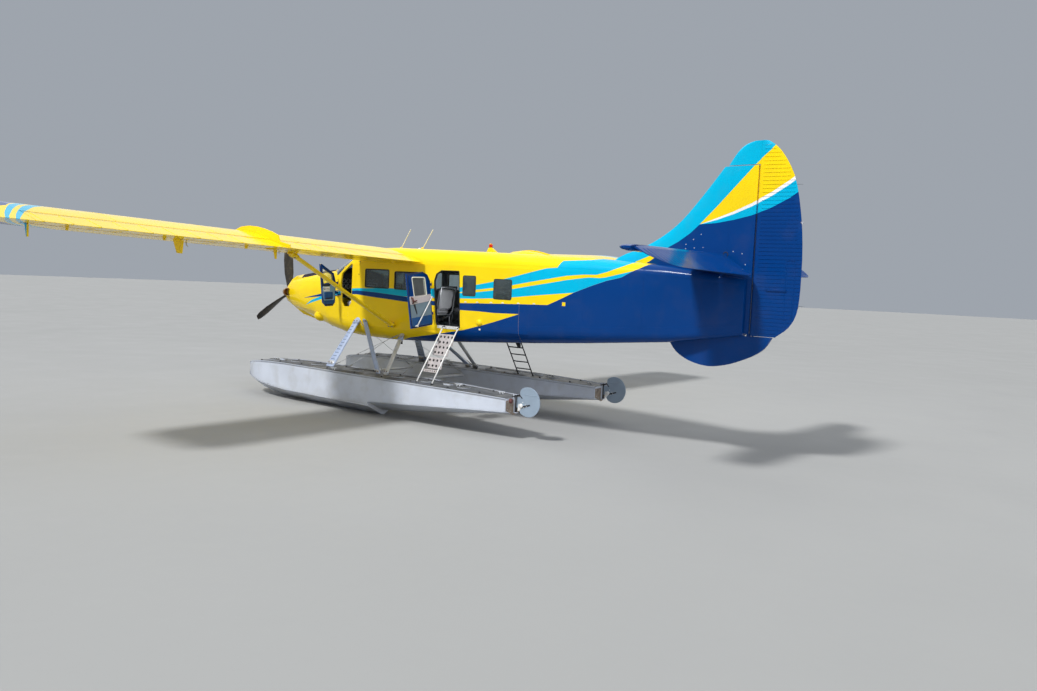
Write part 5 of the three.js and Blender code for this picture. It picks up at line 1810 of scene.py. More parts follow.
@dataclass
class Doors:
    """The four doors and what hangs on them."""

    deep: float = HULL.wall + 0.006
    crew_handle: tuple = (3.33, 2.46)
    crew_knuckles: tuple = (2.3, 2.62)
    crew_inner: tuple = ((3.08, 2.155), (3.14, 2.095), (3.305, 2.095), (3.375, 2.165), (3.388, 2.515),
                         (3.04, 2.55))
    pocket: tuple = ((3.13, 2.225), (3.35, 2.385))
    # The first black lip lies across the pocket's lower part, where its black paints the shade there.
    pocket_rims: tuple = (((3.145, 2.235), (3.335, 2.262), 0.03), ((3.19, 2.512), (3.36, 2.552), 0.016))
    card: tuple = ((3.2, 2.4), (3.36, 2.5))
    kick_panel: tuple = ((3.085, 2.16), (3.142, 2.1), (3.303, 2.1), (3.37, 2.168), (3.373, 2.205),
                         (3.082, 2.205))
    kick_strip: tuple = ((3.118, 2.122), (3.14, 2.097), (3.305, 2.097), (3.33, 2.122))
    cabin_handle: tuple = (6.47, 2.36)
    cabin_knuckles: tuple = (2.0, 2.7)
    cabin_inner: tuple = ((6.0, 1.89), (6.55, 1.89), (6.525, 2.42), (5.92, 2.42))
    lower_panel: tuple = ((6.0, 1.893), (6.55, 1.893), (6.54, 2.06), (5.975, 2.06))
    arm_strip: tuple = ((5.925, 2.335), (6.53, 2.315), (6.525, 2.475), (5.92, 2.465))
    grip: tuple = ((6.487, 2.45, 0.01), (6.485, 2.44, 0.045), (6.48, 2.38, 0.05), (6.475, 2.35, 0.04),
                   (6.47, 2.335, 0.012))
    grip_radii: tuple = (0.016, 0.017, 0.018, 0.017, 0.014)
    latch: tuple = ((6.475, 2.38, 0.03), (6.42, 2.375, 0.04), (6.36, 2.385, 0.03), (6.34, 2.385, 0.01))
    latch_radii: tuple = (0.013, 0.012, 0.01, 0.008)
    strap: tuple = ((6.45, 2.33), (6.4, 2.33), (6.375, 2.14), (6.385, 2.11), (6.4, 2.14))
    stay: tuple = ((5.945, 2.4, 0.085), (6.47, 1.895, 0.095))
    stay_radius: float = 0.0115
    stay_end: tuple = ((0.02, -0.012), (0.02, 0.012))
    pocket_corner: float = 0.03
    pocket_thickness: float = 0.022
    pocket_bevel: float = 0.008
    rim_corner: float = 0.012
    rim_bevel: float = 0.004
    kick_corner: float = 0.015
    panel_corner: float = 0.02
    thin: float = 0.006

    def build(self, finish: Finish) -> None:
        """Builds the trim of all doors.

        Args:
            finish: the shared finishes.
        """
        for side in Side:
            crew = DoorTrim("crew_door", side, CREW_CORNERS, CREW_PANE, self.crew_inner, self.crew_handle,
                            CREW_HINGE, self.crew_knuckles, CREW_PANE)
            crew.build(finish, finish.navy, finish.door_blue)
            cabin = DoorTrim("cabin_door", side, CABIN_CORNERS, CABIN_PANE, self.cabin_inner,
                             self.cabin_handle, CABIN_HINGE, self.cabin_knuckles, CABIN_SIGHT)
            cabin.build(finish, finish.cream, finish.slate)
            self.crew_fittings(crew, finish)
            self.cabin_fittings(cabin, finish)
            if side is Side.PORT:
                self.cabin_stay(cabin, finish)

    def crew_fittings(self, door: DoorTrim, finish: Finish) -> None:
        """The crew door's map pocket with two black lips, its blank white card and the black kick strip; the
        lip across the pocket's lower part is painted shade.

        Args:
            door: the door.
            finish: the shared finishes.
        """
        pocket = rounded(rectangle(*self.pocket), self.pocket_corner)
        door.piece("pocket", finish.door_pocket, pocket, self.deep, self.pocket_thickness, self.pocket_bevel)
        # The first black lip paints the shade across the pocket's lower part.
        rim = Shape()
        for low, high, thickness in self.pocket_rims:
            door.panel.plate(rim, rounded(rectangle(low, high), self.rim_corner), self.deep, thickness)
        rim.build(f"{door.body}_pocket_rim", finish.black, door.body, bevel=self.rim_bevel)
        door.piece("blank_card", finish.card, rounded(rectangle(*self.card), 0.008), self.deep + 0.002, 0.008,
                   0.001)
        kick_panel = rounded(self.kick_panel, self.kick_corner)
        door.piece("kick_panel", finish.door_pocket, kick_panel, self.deep, 0.004, 0.002)
        door.piece("kick_strip", finish.rubber, self.kick_strip, self.deep + 0.002, self.thin, 0.002)

    def cabin_fittings(self, door: DoorTrim, finish: Finish) -> None:
        """The cabin door's lower panel, arm strip, handle and pull strap.

        Args:
            door: the door.
            finish: the shared finishes.
        """
        deep = self.deep
        lower, arm = (rounded(shape, self.panel_corner) for shape in (self.lower_panel, self.arm_strip))
        door.piece("lower_panel", finish.door_blue_dark, lower, deep, 0.003, 0.002)
        door.piece("arm_strip", finish.arm_strip, arm, deep, 0.01, 0.004)
        handle = Shape()
        for path, radii in ((self.grip, self.grip_radii), (self.latch, self.latch_radii)):
            handle.tube([door.panel.point(s, z, deep + rise) for s, z, rise in path], radii, 8)
        handle.build(f"{door.body}_handle_grip", finish.brown, door.body)
        door.piece("pull_strap", finish.black, self.strap, deep + 0.002, self.thin, 0.001)

    def cabin_stay(self, door: DoorTrim, finish: Finish) -> None:
        """The rod across the open cabin door, on a stud at each end.

        Args:
            door: the door.
            finish: the shared finishes.
        """
        rod = Shape()
        rod.tube([door.panel.point(*place) for place in self.stay], self.stay_radius, 10)
        for s, z, depth in self.stay:
            end = door.panel.point(s, z, depth)
            rod.tube([door.panel.point(s, z, HULL.wall), end], 0.012, 8)
            rod.disc(end, door.panel.outward(), self.stay_end, 12, smooth=False)
        rod.build(f"{door.body}_stay", finish.white, door.body)


@dataclass
class Riveting:
    """Lap strips and rivets on one group of skins, laid along rows of places."""

    name: str
    nodes: tuple
    material: bpy.types.Material
    seam: Seam = field(default_factory=Seam)
    body: str = "airframe"

    def __post_init__(self) -> None:
        """Gathers the skin and starts the two shapes."""
        self.skin = Skin(*self.nodes)
        self.strips, self.rivets = Shape(), Shape()

    def row(self, line: Sequence[Contact | None], lapped: bool = False) -> None:
        """A row of rivets, on a lap strip or straight on the skin."""
        if lapped:
            self.seam.lay(self.strips, self.rivets, line)
        else:
            replace(self.seam, height=0.0).lay(Shape(), self.rivets, line)

    def ring(self, centre: Vector, start: float, reach: float, turns: Iterable[int], lapped: bool) -> None:
        """A row around a body, found from outside.

        Args:
            centre: the ring's centre.
            start: how far outside the search starts.
            reach: how far in it goes.
            turns: the angles that it looks from, in degrees from straight below.
            lapped: whether the row lies on a lap strip.
        """
        line = []
        for turn in turns:
            way = Vector((0, math.sin(math.radians(turn)), -math.cos(math.radians(turn))))
            line.append(self.skin.drop(centre + way * start, -way, reach))
        self.row(line, lapped)

    def hull_ring(self, station: float, lapped: bool = False) -> None:
        """A row around the fuselage at one station."""
        self.ring(at(station, 0, HULL.middle(station)), 3.0, 2.9, range(-180, 181, 4), lapped)

    def build(self) -> None:
        """Builds both shapes."""
        if self.strips.faces:
            self.strips.build(f"{self.name}_lap_strips", self.material, self.body)
        self.rivets.build(f"{self.name}_rivets", self.material, self.body)


@dataclass
class FuselageSkin:
    """The sheet joints and rivet rows of the fuselage, and the cowl's panel lines and latches."""

    laps: tuple = (3.52, 5.58, 8.22, 9.3, 10.4, 11.4)
    rows: tuple = (2.62, 3.8, 4.65, 5.5, 6.75, 7.15, 7.6, 8.0, 8.5, 8.9, 9.75, 10.1, 10.8, 11.1, 11.75, 12.0)
    stringers: tuple = (-0.62, -0.3, 0.12, 0.45, 0.74)
    lapped_stringers: tuple = (-0.62, 0.74)
    low_start: float = 2.56
    high_start: float = 3.5
    last: float = 12.0
    cowl_seam: Seam = Seam(0.03, 0.0022, 0.06)
    cowl_rings: tuple = (0.7, 1.25, 1.9, 2.46)
    cowl_lines: tuple = ((2.52, 0.05), (2.02, -0.1))
    latch_places: tuple = ((0.95, 2.55), (1.55, 2.58), (2.2, 2.62), (0.95, 2.0), (1.55, 1.94), (2.2, 1.88))
    latch: tuple = ((0.026, 0.0), (0.026, 0.005), (0.018, 0.007), (0.006, 0.0075))
    cover_place: tuple = (3.2, 1.9)
    cover: tuple = ((-0.1, -0.04), (0.1, 0.04))
    marks: tuple = (6.72, 7.02, 7.35, 7.62, 7.98, 8.32)
    lip: tuple = ((0.035, 0.0), (0.012, 0.022), (-0.012, 0.022), (-0.035, 0.0))
    step_place: tuple = (7.09, 1.967)
    step: tuple = ((0.075, 0.0), (0.07, 0.02), (0.05, 0.045), (0.02, 0.055))
    drain_place: tuple = (7.1, 1.835)
    drain: tuple = ((0.022, 0.0), (0.02, 0.01), (0.008, 0.014))
    holds: tuple = (((3.59, 3.06), (3.66, 3.065)), ((3.6, 2.79), (3.65, 2.785)),
                    ((3.655, 3.06), (3.645, 2.98)))
    rail: float = 1.7
    rail_span: tuple = (3.55, 6.4)
    rail_seam: Seam = Seam(0.03, 0.01)
    cover_corner: float = 0.02
    cover_thickness: float = 0.006
    screw_share: float = 0.84
    screw: tuple = (0.005, 0.002)
    lip_line: tuple = (6.7, 2.335, 0.03)
    lip_thickness: float = 0.008
    hold_radius: float = 0.005
    rail_pitch: float = 0.15

    def build(self, finish: Finish) -> None:
        """Builds the seams, rivets and latches.

        Args:
            finish: the shared finishes.
        """
        cabin = ("cockpit_shell", "cabin_belly", "cabin_roof", "rear_fuselage", *both_sides("cabin_side"))
        shell = Riveting("fuselage", cabin, finish.fuselage)
        for station in self.laps:
            shell.hull_ring(station, lapped=True)
        for station in self.rows:
            shell.hull_ring(station)
        for sign in SIGNS:
            for share in self.stringers:
                first = self.low_start if share < 0 else self.high_start
                line = [shell.skin.side(s, self.height(s, share), sign)
                        for s in steps(first, self.last, 0.12)]
                shell.row(line, lapped=share in self.lapped_stringers)
        shell.build()
        cowl = Riveting("cowl", ("nose_cowl",), finish.fuselage, self.cowl_seam)
        for station in self.cowl_rings:
            cowl.hull_ring(station, lapped=True)
        for sign in SIGNS:
            for height, slope in self.cowl_lines:
                line = [cowl.skin.side(s, height + (s - 0.6) * slope, sign) for s in steps(0.66, 2.44, 0.08)]
                cowl.row(line, lapped=True)
        cowl.build()
        self.latches(cowl.skin, finish)
        self.covers(finish)
        self.marking(shell.skin, finish)

    def height(self, station: float, share: float) -> float:
        """A stringer's height, from its share of the way from the middle to the top."""
        middle = HULL.middle(station)
        return middle + share * (HULL.row(station)[1] - middle)

    def latches(self, skin: Skin, finish: Finish) -> None:
        """The cowl's flush latches.

        Args:
            skin: the cowl's skin.
            finish: the shared finishes.
        """
        latches = Shape()
        for sign in SIGNS:
            for station, z in self.latch_places:
                spot = skin.side(station, z, sign)
                if spot:
                    latches.disc(spot.over(-0.002), spot.normal, self.latch, 16)
        latches.build("cowl_latches", finish.fuselage)

    def covers(self, finish: Finish) -> None:
        """A screwed cover low on each side of the cockpit.

        Args:
            finish: the shared finishes.
        """
        cover, screws = Shape(), Shape()
        outline = rounded(rectangle(*self.cover), self.cover_corner)
        shell = Skin("cockpit_shell", "cabin_belly", *both_sides("cabin_side"))
        for sign in SIGNS:
            spot = shell.side(*self.cover_place, sign)
            along = AHEAD - spot.normal * spot.normal.x
            rise = spot.normal.cross(along).normalized()
            flat = [along.normalized() * a + rise * b for a, b in outline]
            cover.prism([spot.over(-0.003) + p for p in flat], spot.normal * self.cover_thickness)
            for p in flat[2::5]:
                foot = spot.place + p * self.screw_share + spot.normal * 0.003
                screws.dome(foot, spot.normal, *self.screw)
        cover.build("cockpit_side_covers", finish.fuselage, bevel=0.001)
        screws.build("cockpit_cover_screws", finish.steel)

    def marking(self, skin: Skin, finish: Finish) -> None:
        """Small things on the side: white drain lips, the footstep, handholds and a rub rail.

        Args:
            skin: the fuselage's skin.
            finish: the shared finishes.
        """
        lips, step, holds, rail = Shape(), Shape(), Shape(), Shape()
        start, height, slope = self.lip_line
        for sign in SIGNS:
            for station in self.marks:
                spot = skin.side(station, height + slope * (station - start), sign)
                if spot:
                    foot = spot.over(-0.002)
                    lip = [foot + Vector((a, 0, b)) for a, b in self.lip]
                    lips.prism(lip, spot.normal * self.lip_thickness)
            spot = skin.side(*self.step_place, sign)
            step.disc(spot.over(-0.01), spot.normal, self.step, 18)
            spot = skin.side(*self.drain_place, sign)
            lips.disc(spot.over(-0.002), spot.normal, self.drain, 14)
            for ends in self.holds:
                holds.tube([skin.side(s, z, sign).place for s, z in ends], self.hold_radius, 6)
            line = [skin.side(s, self.rail, sign) for s in steps(*self.rail_span, self.rail_pitch)]
            self.rail_seam.strip(rail, [spot for spot in line if spot])
        holds.build("handholds", finish.black)
        rail.build("rub_rails", finish.fuselage)
        lips.build("drain_lips", finish.white)
        step.build("footsteps", finish.yellow)


@dataclass
class Cockpit:
    """The windscreen's frame strips with their screws, and the two wipers."""

    seam: Seam = Seam(0.034, 0.004, 0.05, 0.004)
    post: tuple = (2.57, 3.33)
    edges: tuple = ((2.572, 0.2), (3.33, 0.14))
    side_line: tuple = ((2.565, 2.868), (2.88, 2.735), (3.335, 3.09))
    wiper_foot: tuple = ((0.02, 0.0), (0.018, 0.012), (0.01, 0.02))
    wiper_places: tuple = (-0.22, 0.22)
    wiper_stations: tuple = (2.5, 2.9)
    wiper_spread: float = 1.6

    def build(self, finish: Finish) -> None:
        """Builds the frame strips along the windscreen's edges.

        Args:
            finish: the shared finishes.
        """
        nodes = ("cockpit_shell", "nose_cowl", "cabin_roof", *both_sides("windscreen"))
        strips = Riveting("windscreen", nodes, finish.fuselage, self.seam)
        skin = strips.skin
        lines = [[skin.top(s, 0.0) for s in steps(*self.post, 0.04)]]
        for station, inset in self.edges:
            reach = HULL.half(station) - inset
            lines.append([skin.top(station, y) for y in steps(-reach, reach, 0.05)])
        for sign in SIGNS:
            lines += [skin.side_line(*ends, sign) for ends in zip(self.side_line, self.side_line[1:])]
        for line in lines:
            strips.row(line, lapped=True)
        strips.strips.build("windscreen_frame", finish.fuselage)
        strips.rivets.build("windscreen_screws", finish.steel)
        self.wipers(skin, finish)

    def wipers(self, skin: Skin, finish: Finish) -> None:
        """The two wipers, each an arm that rises over the glass from a foot on the cowl.

        Args:
            skin: the cockpit's skin.
            finish: the shared finishes.
        """
        shape = Shape()
        foot_station, tip_station = self.wiper_stations
        for y in self.wiper_places:
            foot, tip = skin.top(foot_station, y), skin.top(tip_station, y * self.wiper_spread)
            shape.disc(foot.over(-0.003), foot.normal, self.wiper_foot, 12)
            middle = (foot.place + tip.place) / 2 + foot.normal * 0.03
            shape.tube([foot.over(0.016), middle, tip.over(0.014)], 0.006, 8)
        shape.build("windscreen_wipers", finish.black)


@dataclass
class Doorway:
    """The black edging of the cabin doorways, their sill plates and the crew doorways' yellow edging."""

    depth: float = 0.034
    corner: float = 0.015
    sill_stations: tuple = (6.0, 6.575)
    sill_top: float = 1.846
    drop: float = 0.055
    floor: tuple = (1.812, 1.802)
    ribs: int = 4
    rib_pitch: float = 0.011
    rib_radius: float = 0.0025
    middle: float = 6.3
    overhang: float = 0.008
    inside: float = 0.16

    def build(self, finish: Finish) -> None:
        """Builds the edging and the sills.

        Args:
            finish: the shared finishes.
        """
        section = ((0.012, -0.0005), (0.012, 0.003), (-0.001, 0.003), (-0.003, 0.0), (-0.003, -self.depth),
                   (0.001, -self.depth))
        for side in Side:
            panel = SidePanel(side)
            for name, corners, material in (("cabin", CABIN_CORNERS, finish.rubber),
                                            ("crew", CREW_CORNERS, finish.yellow)):
                edging = Shape()
                outline = panel.outline(rounded(corners, self.corner))
                edging.frame(outline, section, panel.outward(), smooth=False)
                edging.build(f"{name}_doorway_edging_{side.label}", material)
            self.sill(side, finish)

    def sill(self, side: Side, finish: Finish) -> None:
        """One cabin doorway's ribbed sill plate, folded down over the skin outside.

        Args:
            side: the side.
            finish: the shared finishes.
        """
        top, low = self.sill_top, self.sill_top - self.drop
        first, last = self.sill_stations
        outer, inner = HULL.half(self.middle) + self.overhang, HULL.half(self.middle) - self.inside
        skin = abs(Skin("cabin_belly", f"cabin_side_{side.label}").side(6.28, low, side.value).place.y)
        profile = ((skin + 0.006, low), (outer, top + 0.003), (outer - 0.05, top + 0.004),
                   (inner, self.floor[0]), (inner, self.floor[1]), (outer - 0.052, top - 0.004),
                   (outer - 0.012, top - 0.001), (skin - 0.004, low))
        sill = Shape()
        sill.loft([[at(s, side.value * y, z) for y, z in profile] for s in (first, last)], smooth=False)
        for k in range(self.ribs):
            y = side.value * (outer - 0.012 - self.rib_pitch * k)
            sill.tube([at(first, y, top + 0.004), at(last, y, top + 0.004)], self.rib_radius, 6)
        sill.build(f"cabin_sill_{side.label}", finish.white)


@dataclass
class Pad:
    """One sewn cushion: blown up by cloth from a slightly smaller form."""

    size: tuple
    swell: float = 0.016
    voxel: float = 0.016
    pressure: float = 4.0
    frames: int = 14
    corner: float = 0.22
    levels: tuple = ((-0.5, -0.02), (-0.36, 0.0), (0.36, 0.0), (0.5, -0.02))

    def mesh(self) -> bpy.types.Mesh:
        """Makes the cushion's mesh around the origin.

        Returns:
            The mesh.
        """
        width, depth, height = (edge - 2 * self.swell for edge in self.size)
        shape = Shape()
        corners = rectangle((-depth / 2, -width / 2), (depth / 2, width / 2))
        plan = rounded(corners, min(width, depth) * self.corner, 6)
        shape.loft([[(x, y, height * level) for x, y in offset(plan, inset)] for level, inset in self.levels])
        made = bpy.data.objects.new("pad", bpy.data.meshes.new("pad"))
        made.data.from_pydata([tuple(p) for p in shape.points], [], shape.faces)
        bpy.context.scene.collection.objects.link(made)
        remesh = made.modifiers.new("even mesh", "REMESH")
        remesh.mode = "VOXEL"
        remesh.voxel_size = self.voxel
        self.apply(made)
        start = [v.co.copy() for v in made.data.vertices]
        self.blow(made)
        for vertex, first in zip(made.data.vertices, start):
            step = vertex.co - first
            if step.length > self.swell:
                vertex.co = first + step.normalized() * self.swell
        mesh = made.data.copy()
        bpy.data.objects.remove(made)
        return mesh

    def blow(self, made: bpy.types.Object) -> None:
        """Runs the cloth on the cushion and keeps its result.

        Args:
            made: the cushion's object.
        """
        cloth = made.modifiers.new("cloth", "CLOTH")
        cloth.settings.use_pressure = True
        cloth.settings.uniform_pressure_force = self.pressure
        cloth.settings.effector_weights.gravity = 0.0
        cloth.point_cache.frame_end = self.frames
        for number in range(1, self.frames + 1):
            bpy.context.scene.frame_set(number)
        self.apply(made)
        bpy.context.scene.frame_set(1)

    def apply(self, made: bpy.types.Object) -> None:
        """Replaces the object's mesh by the one that its modifiers give.

        Args:
            made: the object.
        """
        solved = made.evaluated_get(bpy.context.evaluated_depsgraph_get())
        mesh = bpy.data.meshes.new_from_object(solved)
        made.modifiers.clear()
        made.data = mesh


@dataclass
class Seats:
    """Padded seats on tubular frames with floor rails, in place of the plain CAD ones."""

    cabin_stations: tuple = (4.0, 4.8, 5.6, 7.25)
    cabin_place: float = 0.46
    cabin_width: float = 0.46
    pilot_station: float = 3.18
    pilot_places: tuple = (0.4, -0.4)
    pilot_width: float = 0.48
    length: float = 0.46
    margin: float = 0.02
    heights: tuple = (0.13, 0.12)
    cushion_place: tuple = (-0.01, 2.12)
    back_place: tuple = (0.235, 2.36)
    lean: float = math.radians(9) * 1.2
    fill: float = 0.8
    piping_rise: float = 0.042
    piping_inset: float = 0.006
    piping_corner: float = 0.09
    piping_radius: float = 0.0045
    tube: float = 0.012
    leg_heights: tuple = (2.045, 1.822)
    floor: float = 1.8
    brace: tuple = ((-0.2, 1.85), (0.18, 2.03))
    brace_radius: float = 0.008
    base: tuple = ((0.24, -0.014, 1.8), (-0.26, 0.014, 1.808))
    bar_radius: float = 0.011
    rail: tuple = ((-0.22, 2.045), (0.2, 2.045), (0.26, 2.12), (0.33, 2.6))
    bars: tuple = ((-0.2, 2.045), (0.33, 2.6), (0.2, 2.045))
    legs: tuple = (-0.2, 0.18)
    leg_splay: float = 1.08
    foot: tuple = ((0.028, 0.0), (0.028, 0.012), (0.016, 0.022))
    side_inset: float = 0.025

    def build(self, finish: Finish) -> None:
        """Builds every seat.

        Args:
            finish: the shared finishes.
        """
        for side in Side:
            self.group(f"cabin_seats_{side.label}", self.cabin_stations, (side.value * self.cabin_place,),
                       self.cabin_width, finish)
        self.group("pilot_seats", (self.pilot_station,), self.pilot_places, self.pilot_width, finish)

    def group(self, node: str, stations: tuple, places: tuple, width: float, finish: Finish) -> None:
        """The seats that stand for one CAD node.

        Args:
            node: the CAD node.
            stations: the seats' stations.
            places: their places across.
            width: a seat's width.
            finish: the shared finishes.
        """
        cushion, back = (Pad((width - self.margin, self.length, height)).mesh() for height in self.heights)
        frames, piping = Shape(), Shape()
        pads = []
        for number, (s, y) in enumerate((s, y) for s in stations for y in places):
            (aft, low), (far, high) = self.cushion_place, self.back_place
            upright = Matrix.Rotation(math.pi / 2 - self.lean, 4, "Y")
            for name, mesh, matrix in (
                    ("cushion", cushion, Matrix.Translation(at(s + aft, y, low))),
                    ("back", back, Matrix.Translation(at(s + far, y, high)) @ upright)):
                pads.append(self.pad(f"{node}_{name}_{number}", mesh, matrix, finish))
                self.pipe(piping, matrix, width - self.margin)
            self.frame(frames, s, y, width)
        for pad in pads:
            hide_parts(node)
        frames.build(f"{node}_frames", finish.aluminium, slot="bare_aluminium")
        piping.build(f"{node}_piping", finish.rubber)

    def pad(self, name: str, mesh: bpy.types.Mesh, matrix: Matrix, finish: Finish) -> bpy.types.Object:
        """Places one pad.

        Args:
            name: its name.
            mesh: the pad's mesh around the origin.
            matrix: its place.
            finish: the shared finishes.

        Returns:
            Its object.
        """
        placed = mesh.copy()
        placed.transform(matrix)
        placed.polygons.foreach_set("use_smooth", [True] * len(placed.polygons))
        placed.materials.append(finish.fabric)
        pad = bpy.data.objects.new(name, placed)
        bpy.context.scene.collection.objects.link(pad)
        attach(pad, "airframe")
        return pad

    def pipe(self, shape: Shape, matrix: Matrix, width: float) -> None:
        """The piping around a pad's two faces.

        Args:
            shape: the shape that takes it.
            matrix: the pad's place.
            width: the pad's width.
        """
        across, along = width / 2 - self.piping_inset, self.length / 2 - self.piping_inset
        corners = rounded(rectangle((-along, -across), (along, across)), self.piping_corner, 5)
        for height in (self.piping_rise, -self.piping_rise):
            shape.tube([matrix @ Vector((x, y, height)) for x, y in corners], self.piping_radius, 6,
                       closed=True)

    def frame(self, shape: Shape, s: float, y: float, width: float) -> None:
        """One seat's tubular legs, side rails and back frame.

        Args:
            shape: the shape that takes the tubes.
            s: the seat's station.
            y: its place across.
            width: its width.
        """
        reach = width / 2 - self.side_inset
        top, low = self.leg_heights
        for sign in SIGNS:
            aside = y + sign * reach
            shape.tube([at(s + run, aside, z) for run, z in self.rail], self.tube, 8)
            for foot in self.legs:
                end = s + foot * self.leg_splay
                shape.tube([at(s + foot, aside, top), at(end, aside, low)], self.tube, 8)
                shape.disc(at(end, aside, self.floor), UP, self.foot, 12)
            shape.tube([at(s + run, aside, z) for run, z in self.brace], self.brace_radius, 6)
            shape.block(*(at(s + run, aside + across, z) for run, across, z in self.base))
        for run, z in self.bars:
            shape.tube([at(s + run, y - reach, z), at(s + run, y + reach, z)], self.bar_radius, 8)


@dataclass
class FlightDeck:
    """The instrument panel's dials and switches, the control wheels and the rudder pedals."""

    face: float = 2.763
    dials: tuple = ((0.5, 2.62, 0.046), (0.38, 2.62, 0.046), (0.26, 2.62, 0.046), (0.5, 2.5, 0.046),
                    (0.38, 2.5, 0.046), (0.26, 2.5, 0.046), (0.06, 2.64, 0.032), (-0.06, 2.64, 0.032),
                    (0.06, 2.55, 0.032), (-0.06, 2.55, 0.032))
    mirrored_from: float = 0.2
    rim: tuple = ((-0.004, 0.0), (-0.004, 0.01), (0.006, 0.01), (0.008, 0.0))
    needle: tuple = ((-0.05, -0.2), (0.05, -0.2), (0.62, 0.5), (0.55, 0.58))
    hour_marks: int = 12
    mark: float = 0.0015
    switch_rows: tuple = (2.4, 2.34)
    switches: int = 14
    switch_reach: float = 0.55
    switch: tuple = ((0.008, 0.0), (0.008, 0.005), (0.003, 0.006), (0.003, 0.02))
    wheel_places: tuple = (0.4, -0.4)
    wheel: tuple = (2.93, 2.33)
    wheel_size: tuple = (0.15, 0.12)
    wheel_open: tuple = (0.6, 5.68)
    wheel_hub: tuple = ((0.035, -0.01), (0.035, 0.014), (0.02, 0.02))
    wheel_pitch: float = 0.3
    grip_radius: float = 0.014
    spoke_radius: float = 0.012
    column_front: float = 2.76
    column_radius: float = 0.016
    pedals: tuple = (-0.1, 0.1)
    pedal_arm: tuple = ((2.62, 1.82), (2.6, 1.98))
    pedal_radius: float = 0.01
    pedal: tuple = ((2.61, -0.045, 1.96), (2.585, 0.045, 2.06))
    levers: tuple = (-0.06, -0.02, 0.02, 0.06)
    lever: tuple = ((2.77, 2.42), (2.86, 2.47), (2.865, 2.475))
    lever_rise: float = 0.012
    lever_radius: float = 0.006
    lever_knob: tuple = (0.016, 0.02)

    def build(self, finish: Finish) -> None:
        """Builds the flight deck.

        Args:
            finish: the shared finishes.
        """
        rims, faces, marks = Shape(), Shape(), Shape()
        mirrored = ((-y, z, r) for y, z, r in self.dials if y > self.mirrored_from)
        for y, z, radius in (*self.dials, *mirrored):
            self.dial(rims, faces, marks, at(self.face - 0.003, y, z), radius)
        for row in self.switch_rows:
            for k in range(self.switches):
                y = self.switch_reach - 2 * self.switch_reach * k / (self.switches - 1)
                marks.disc(at(self.face - 0.002, y, row), AFT, self.switch, 8)
        rims.build("dial_rims", finish.steel)
        faces.build("dial_faces", finish.black)
        marks.build("dial_marks", finish.white)
        self.controls(finish)

    def dial(self, rims: Shape, faces: Shape, marks: Shape, foot: Vector, radius: float) -> None:
        """One dial with its rim, its needle and its marks.

        Args:
            rims: the shape that takes the rim.
            faces: the shape that takes the face.
            marks: the shape that takes the needle and the marks.
            foot: the dial's centre on the panel.
            radius: its radius.
        """
        circle = [foot + Vector((0, math.cos(a), math.sin(a))) * radius
                  for a in steps(0, math.tau, 0.35)[:-1]]
        rims.frame(circle, self.rim, AFT)
        faces.disc(foot, AFT, ((radius, 0.0), (radius - 0.003, 0.004), (0.001, 0.0045)), 20)
        face = foot + AFT * 0.005
        marks.prism([face + Vector((0, a, b)) * radius for a, b in self.needle], AFT * 0.001)
        for k in range(self.hour_marks):
            turn = math.radians(360 / self.hour_marks * k)
            mark = face + Vector((0, math.cos(turn), math.sin(turn))) * radius * 0.8
            half = Vector((0, self.mark, self.mark))
            marks.block(mark - half, mark + half + AFT * 0.001)

    def controls(self, finish: Finish) -> None:
        """The control wheels on their columns, the pedals and the power levers.

        Args:
            finish: the shared finishes.
        """
        wheels, quadrant = Shape(), Shape()
        station, height = self.wheel
        rise, reach = self.wheel_size
        for y in self.wheel_places:
            centre = at(station, y, height)
            grip = [centre + Vector((0.0, math.sin(a) * rise, -math.cos(a) * reach))
                    for a in steps(*self.wheel_open, self.wheel_pitch)]
            wheels.tube(grip, self.grip_radius, 8)
            wheels.tube([grip[0], centre, grip[-1]], self.spoke_radius, 8)
            wheels.tube([centre, at(self.column_front, y, height)], self.column_radius, 10)
            wheels.disc(centre, AFT, self.wheel_hub, 14)
            for aside in self.pedals:
                wheels.tube([at(s, y + aside, z) for s, z in self.pedal_arm], self.pedal_radius, 6)
                wheels.block(*(at(s, y + aside + across, z) for s, across, z in self.pedal))
        wheels.build("control_wheels_and_pedals", finish.black)
        (root, low), (tip, high), (knob, middle) = self.lever
        for k, y in enumerate(self.levers):
            rise = self.lever_rise * k
            quadrant.tube([at(root, y, low), at(tip, y, high + rise)], self.lever_radius, 6)
            quadrant.dome(at(knob, y, middle + rise), AFT + UP * 0.4, *self.lever_knob, 10, 3)
        quadrant.build("power_levers", finish.steel)


@dataclass
class CabinFittings:
    """The floor's seat tracks and the cabin's frames."""

    floor: float = 1.8
    tracks: tuple = (-0.66, -0.26, 0.26, 0.66)
    track_half: float = 0.018
    stud: tuple = ((0.009, 0.0), (0.008, 0.002))
    frames: tuple = (3.52, 4.65, 5.66, 7.18, 7.95)
    arch: tuple = ((0.006, 0.33), (0.08, 0.13), (0.28, 0.05))
    crown: float = 0.045
    frame_radius: float = 0.012

    def build(self, finish: Finish) -> None:
        """Builds the fittings.

        Args:
            finish: the shared finishes.
        """
        tracks, frames = Shape(), Shape()
        for y in self.tracks:
            tracks.block(at(7.9, y - self.track_half, self.floor - 0.002),
                         at(3.6, y + self.track_half, self.floor + 0.004))
            for station in steps(3.7, 7.8, 0.1):
                tracks.disc(at(station, y, self.floor + 0.003), UP, self.stud, 6)
        tracks.build("floor_tracks", finish.aluminium)
        for station in self.frames:
            half, top, _ = HULL.row(station)
            inner = half - HULL.wall
            for sign in SIGNS:
                foot = at(station, sign * (inner - self.arch[0][0]), self.floor + 0.01)
                bends = [at(station, sign * (inner - inset), top - drop) for inset, drop in self.arch]
                frames.tube([foot, *bends, at(station, 0.0, top - self.crown)], self.frame_radius, 6)
        frames.build("cabin_frames", finish.lining, slot="cabin_trim")


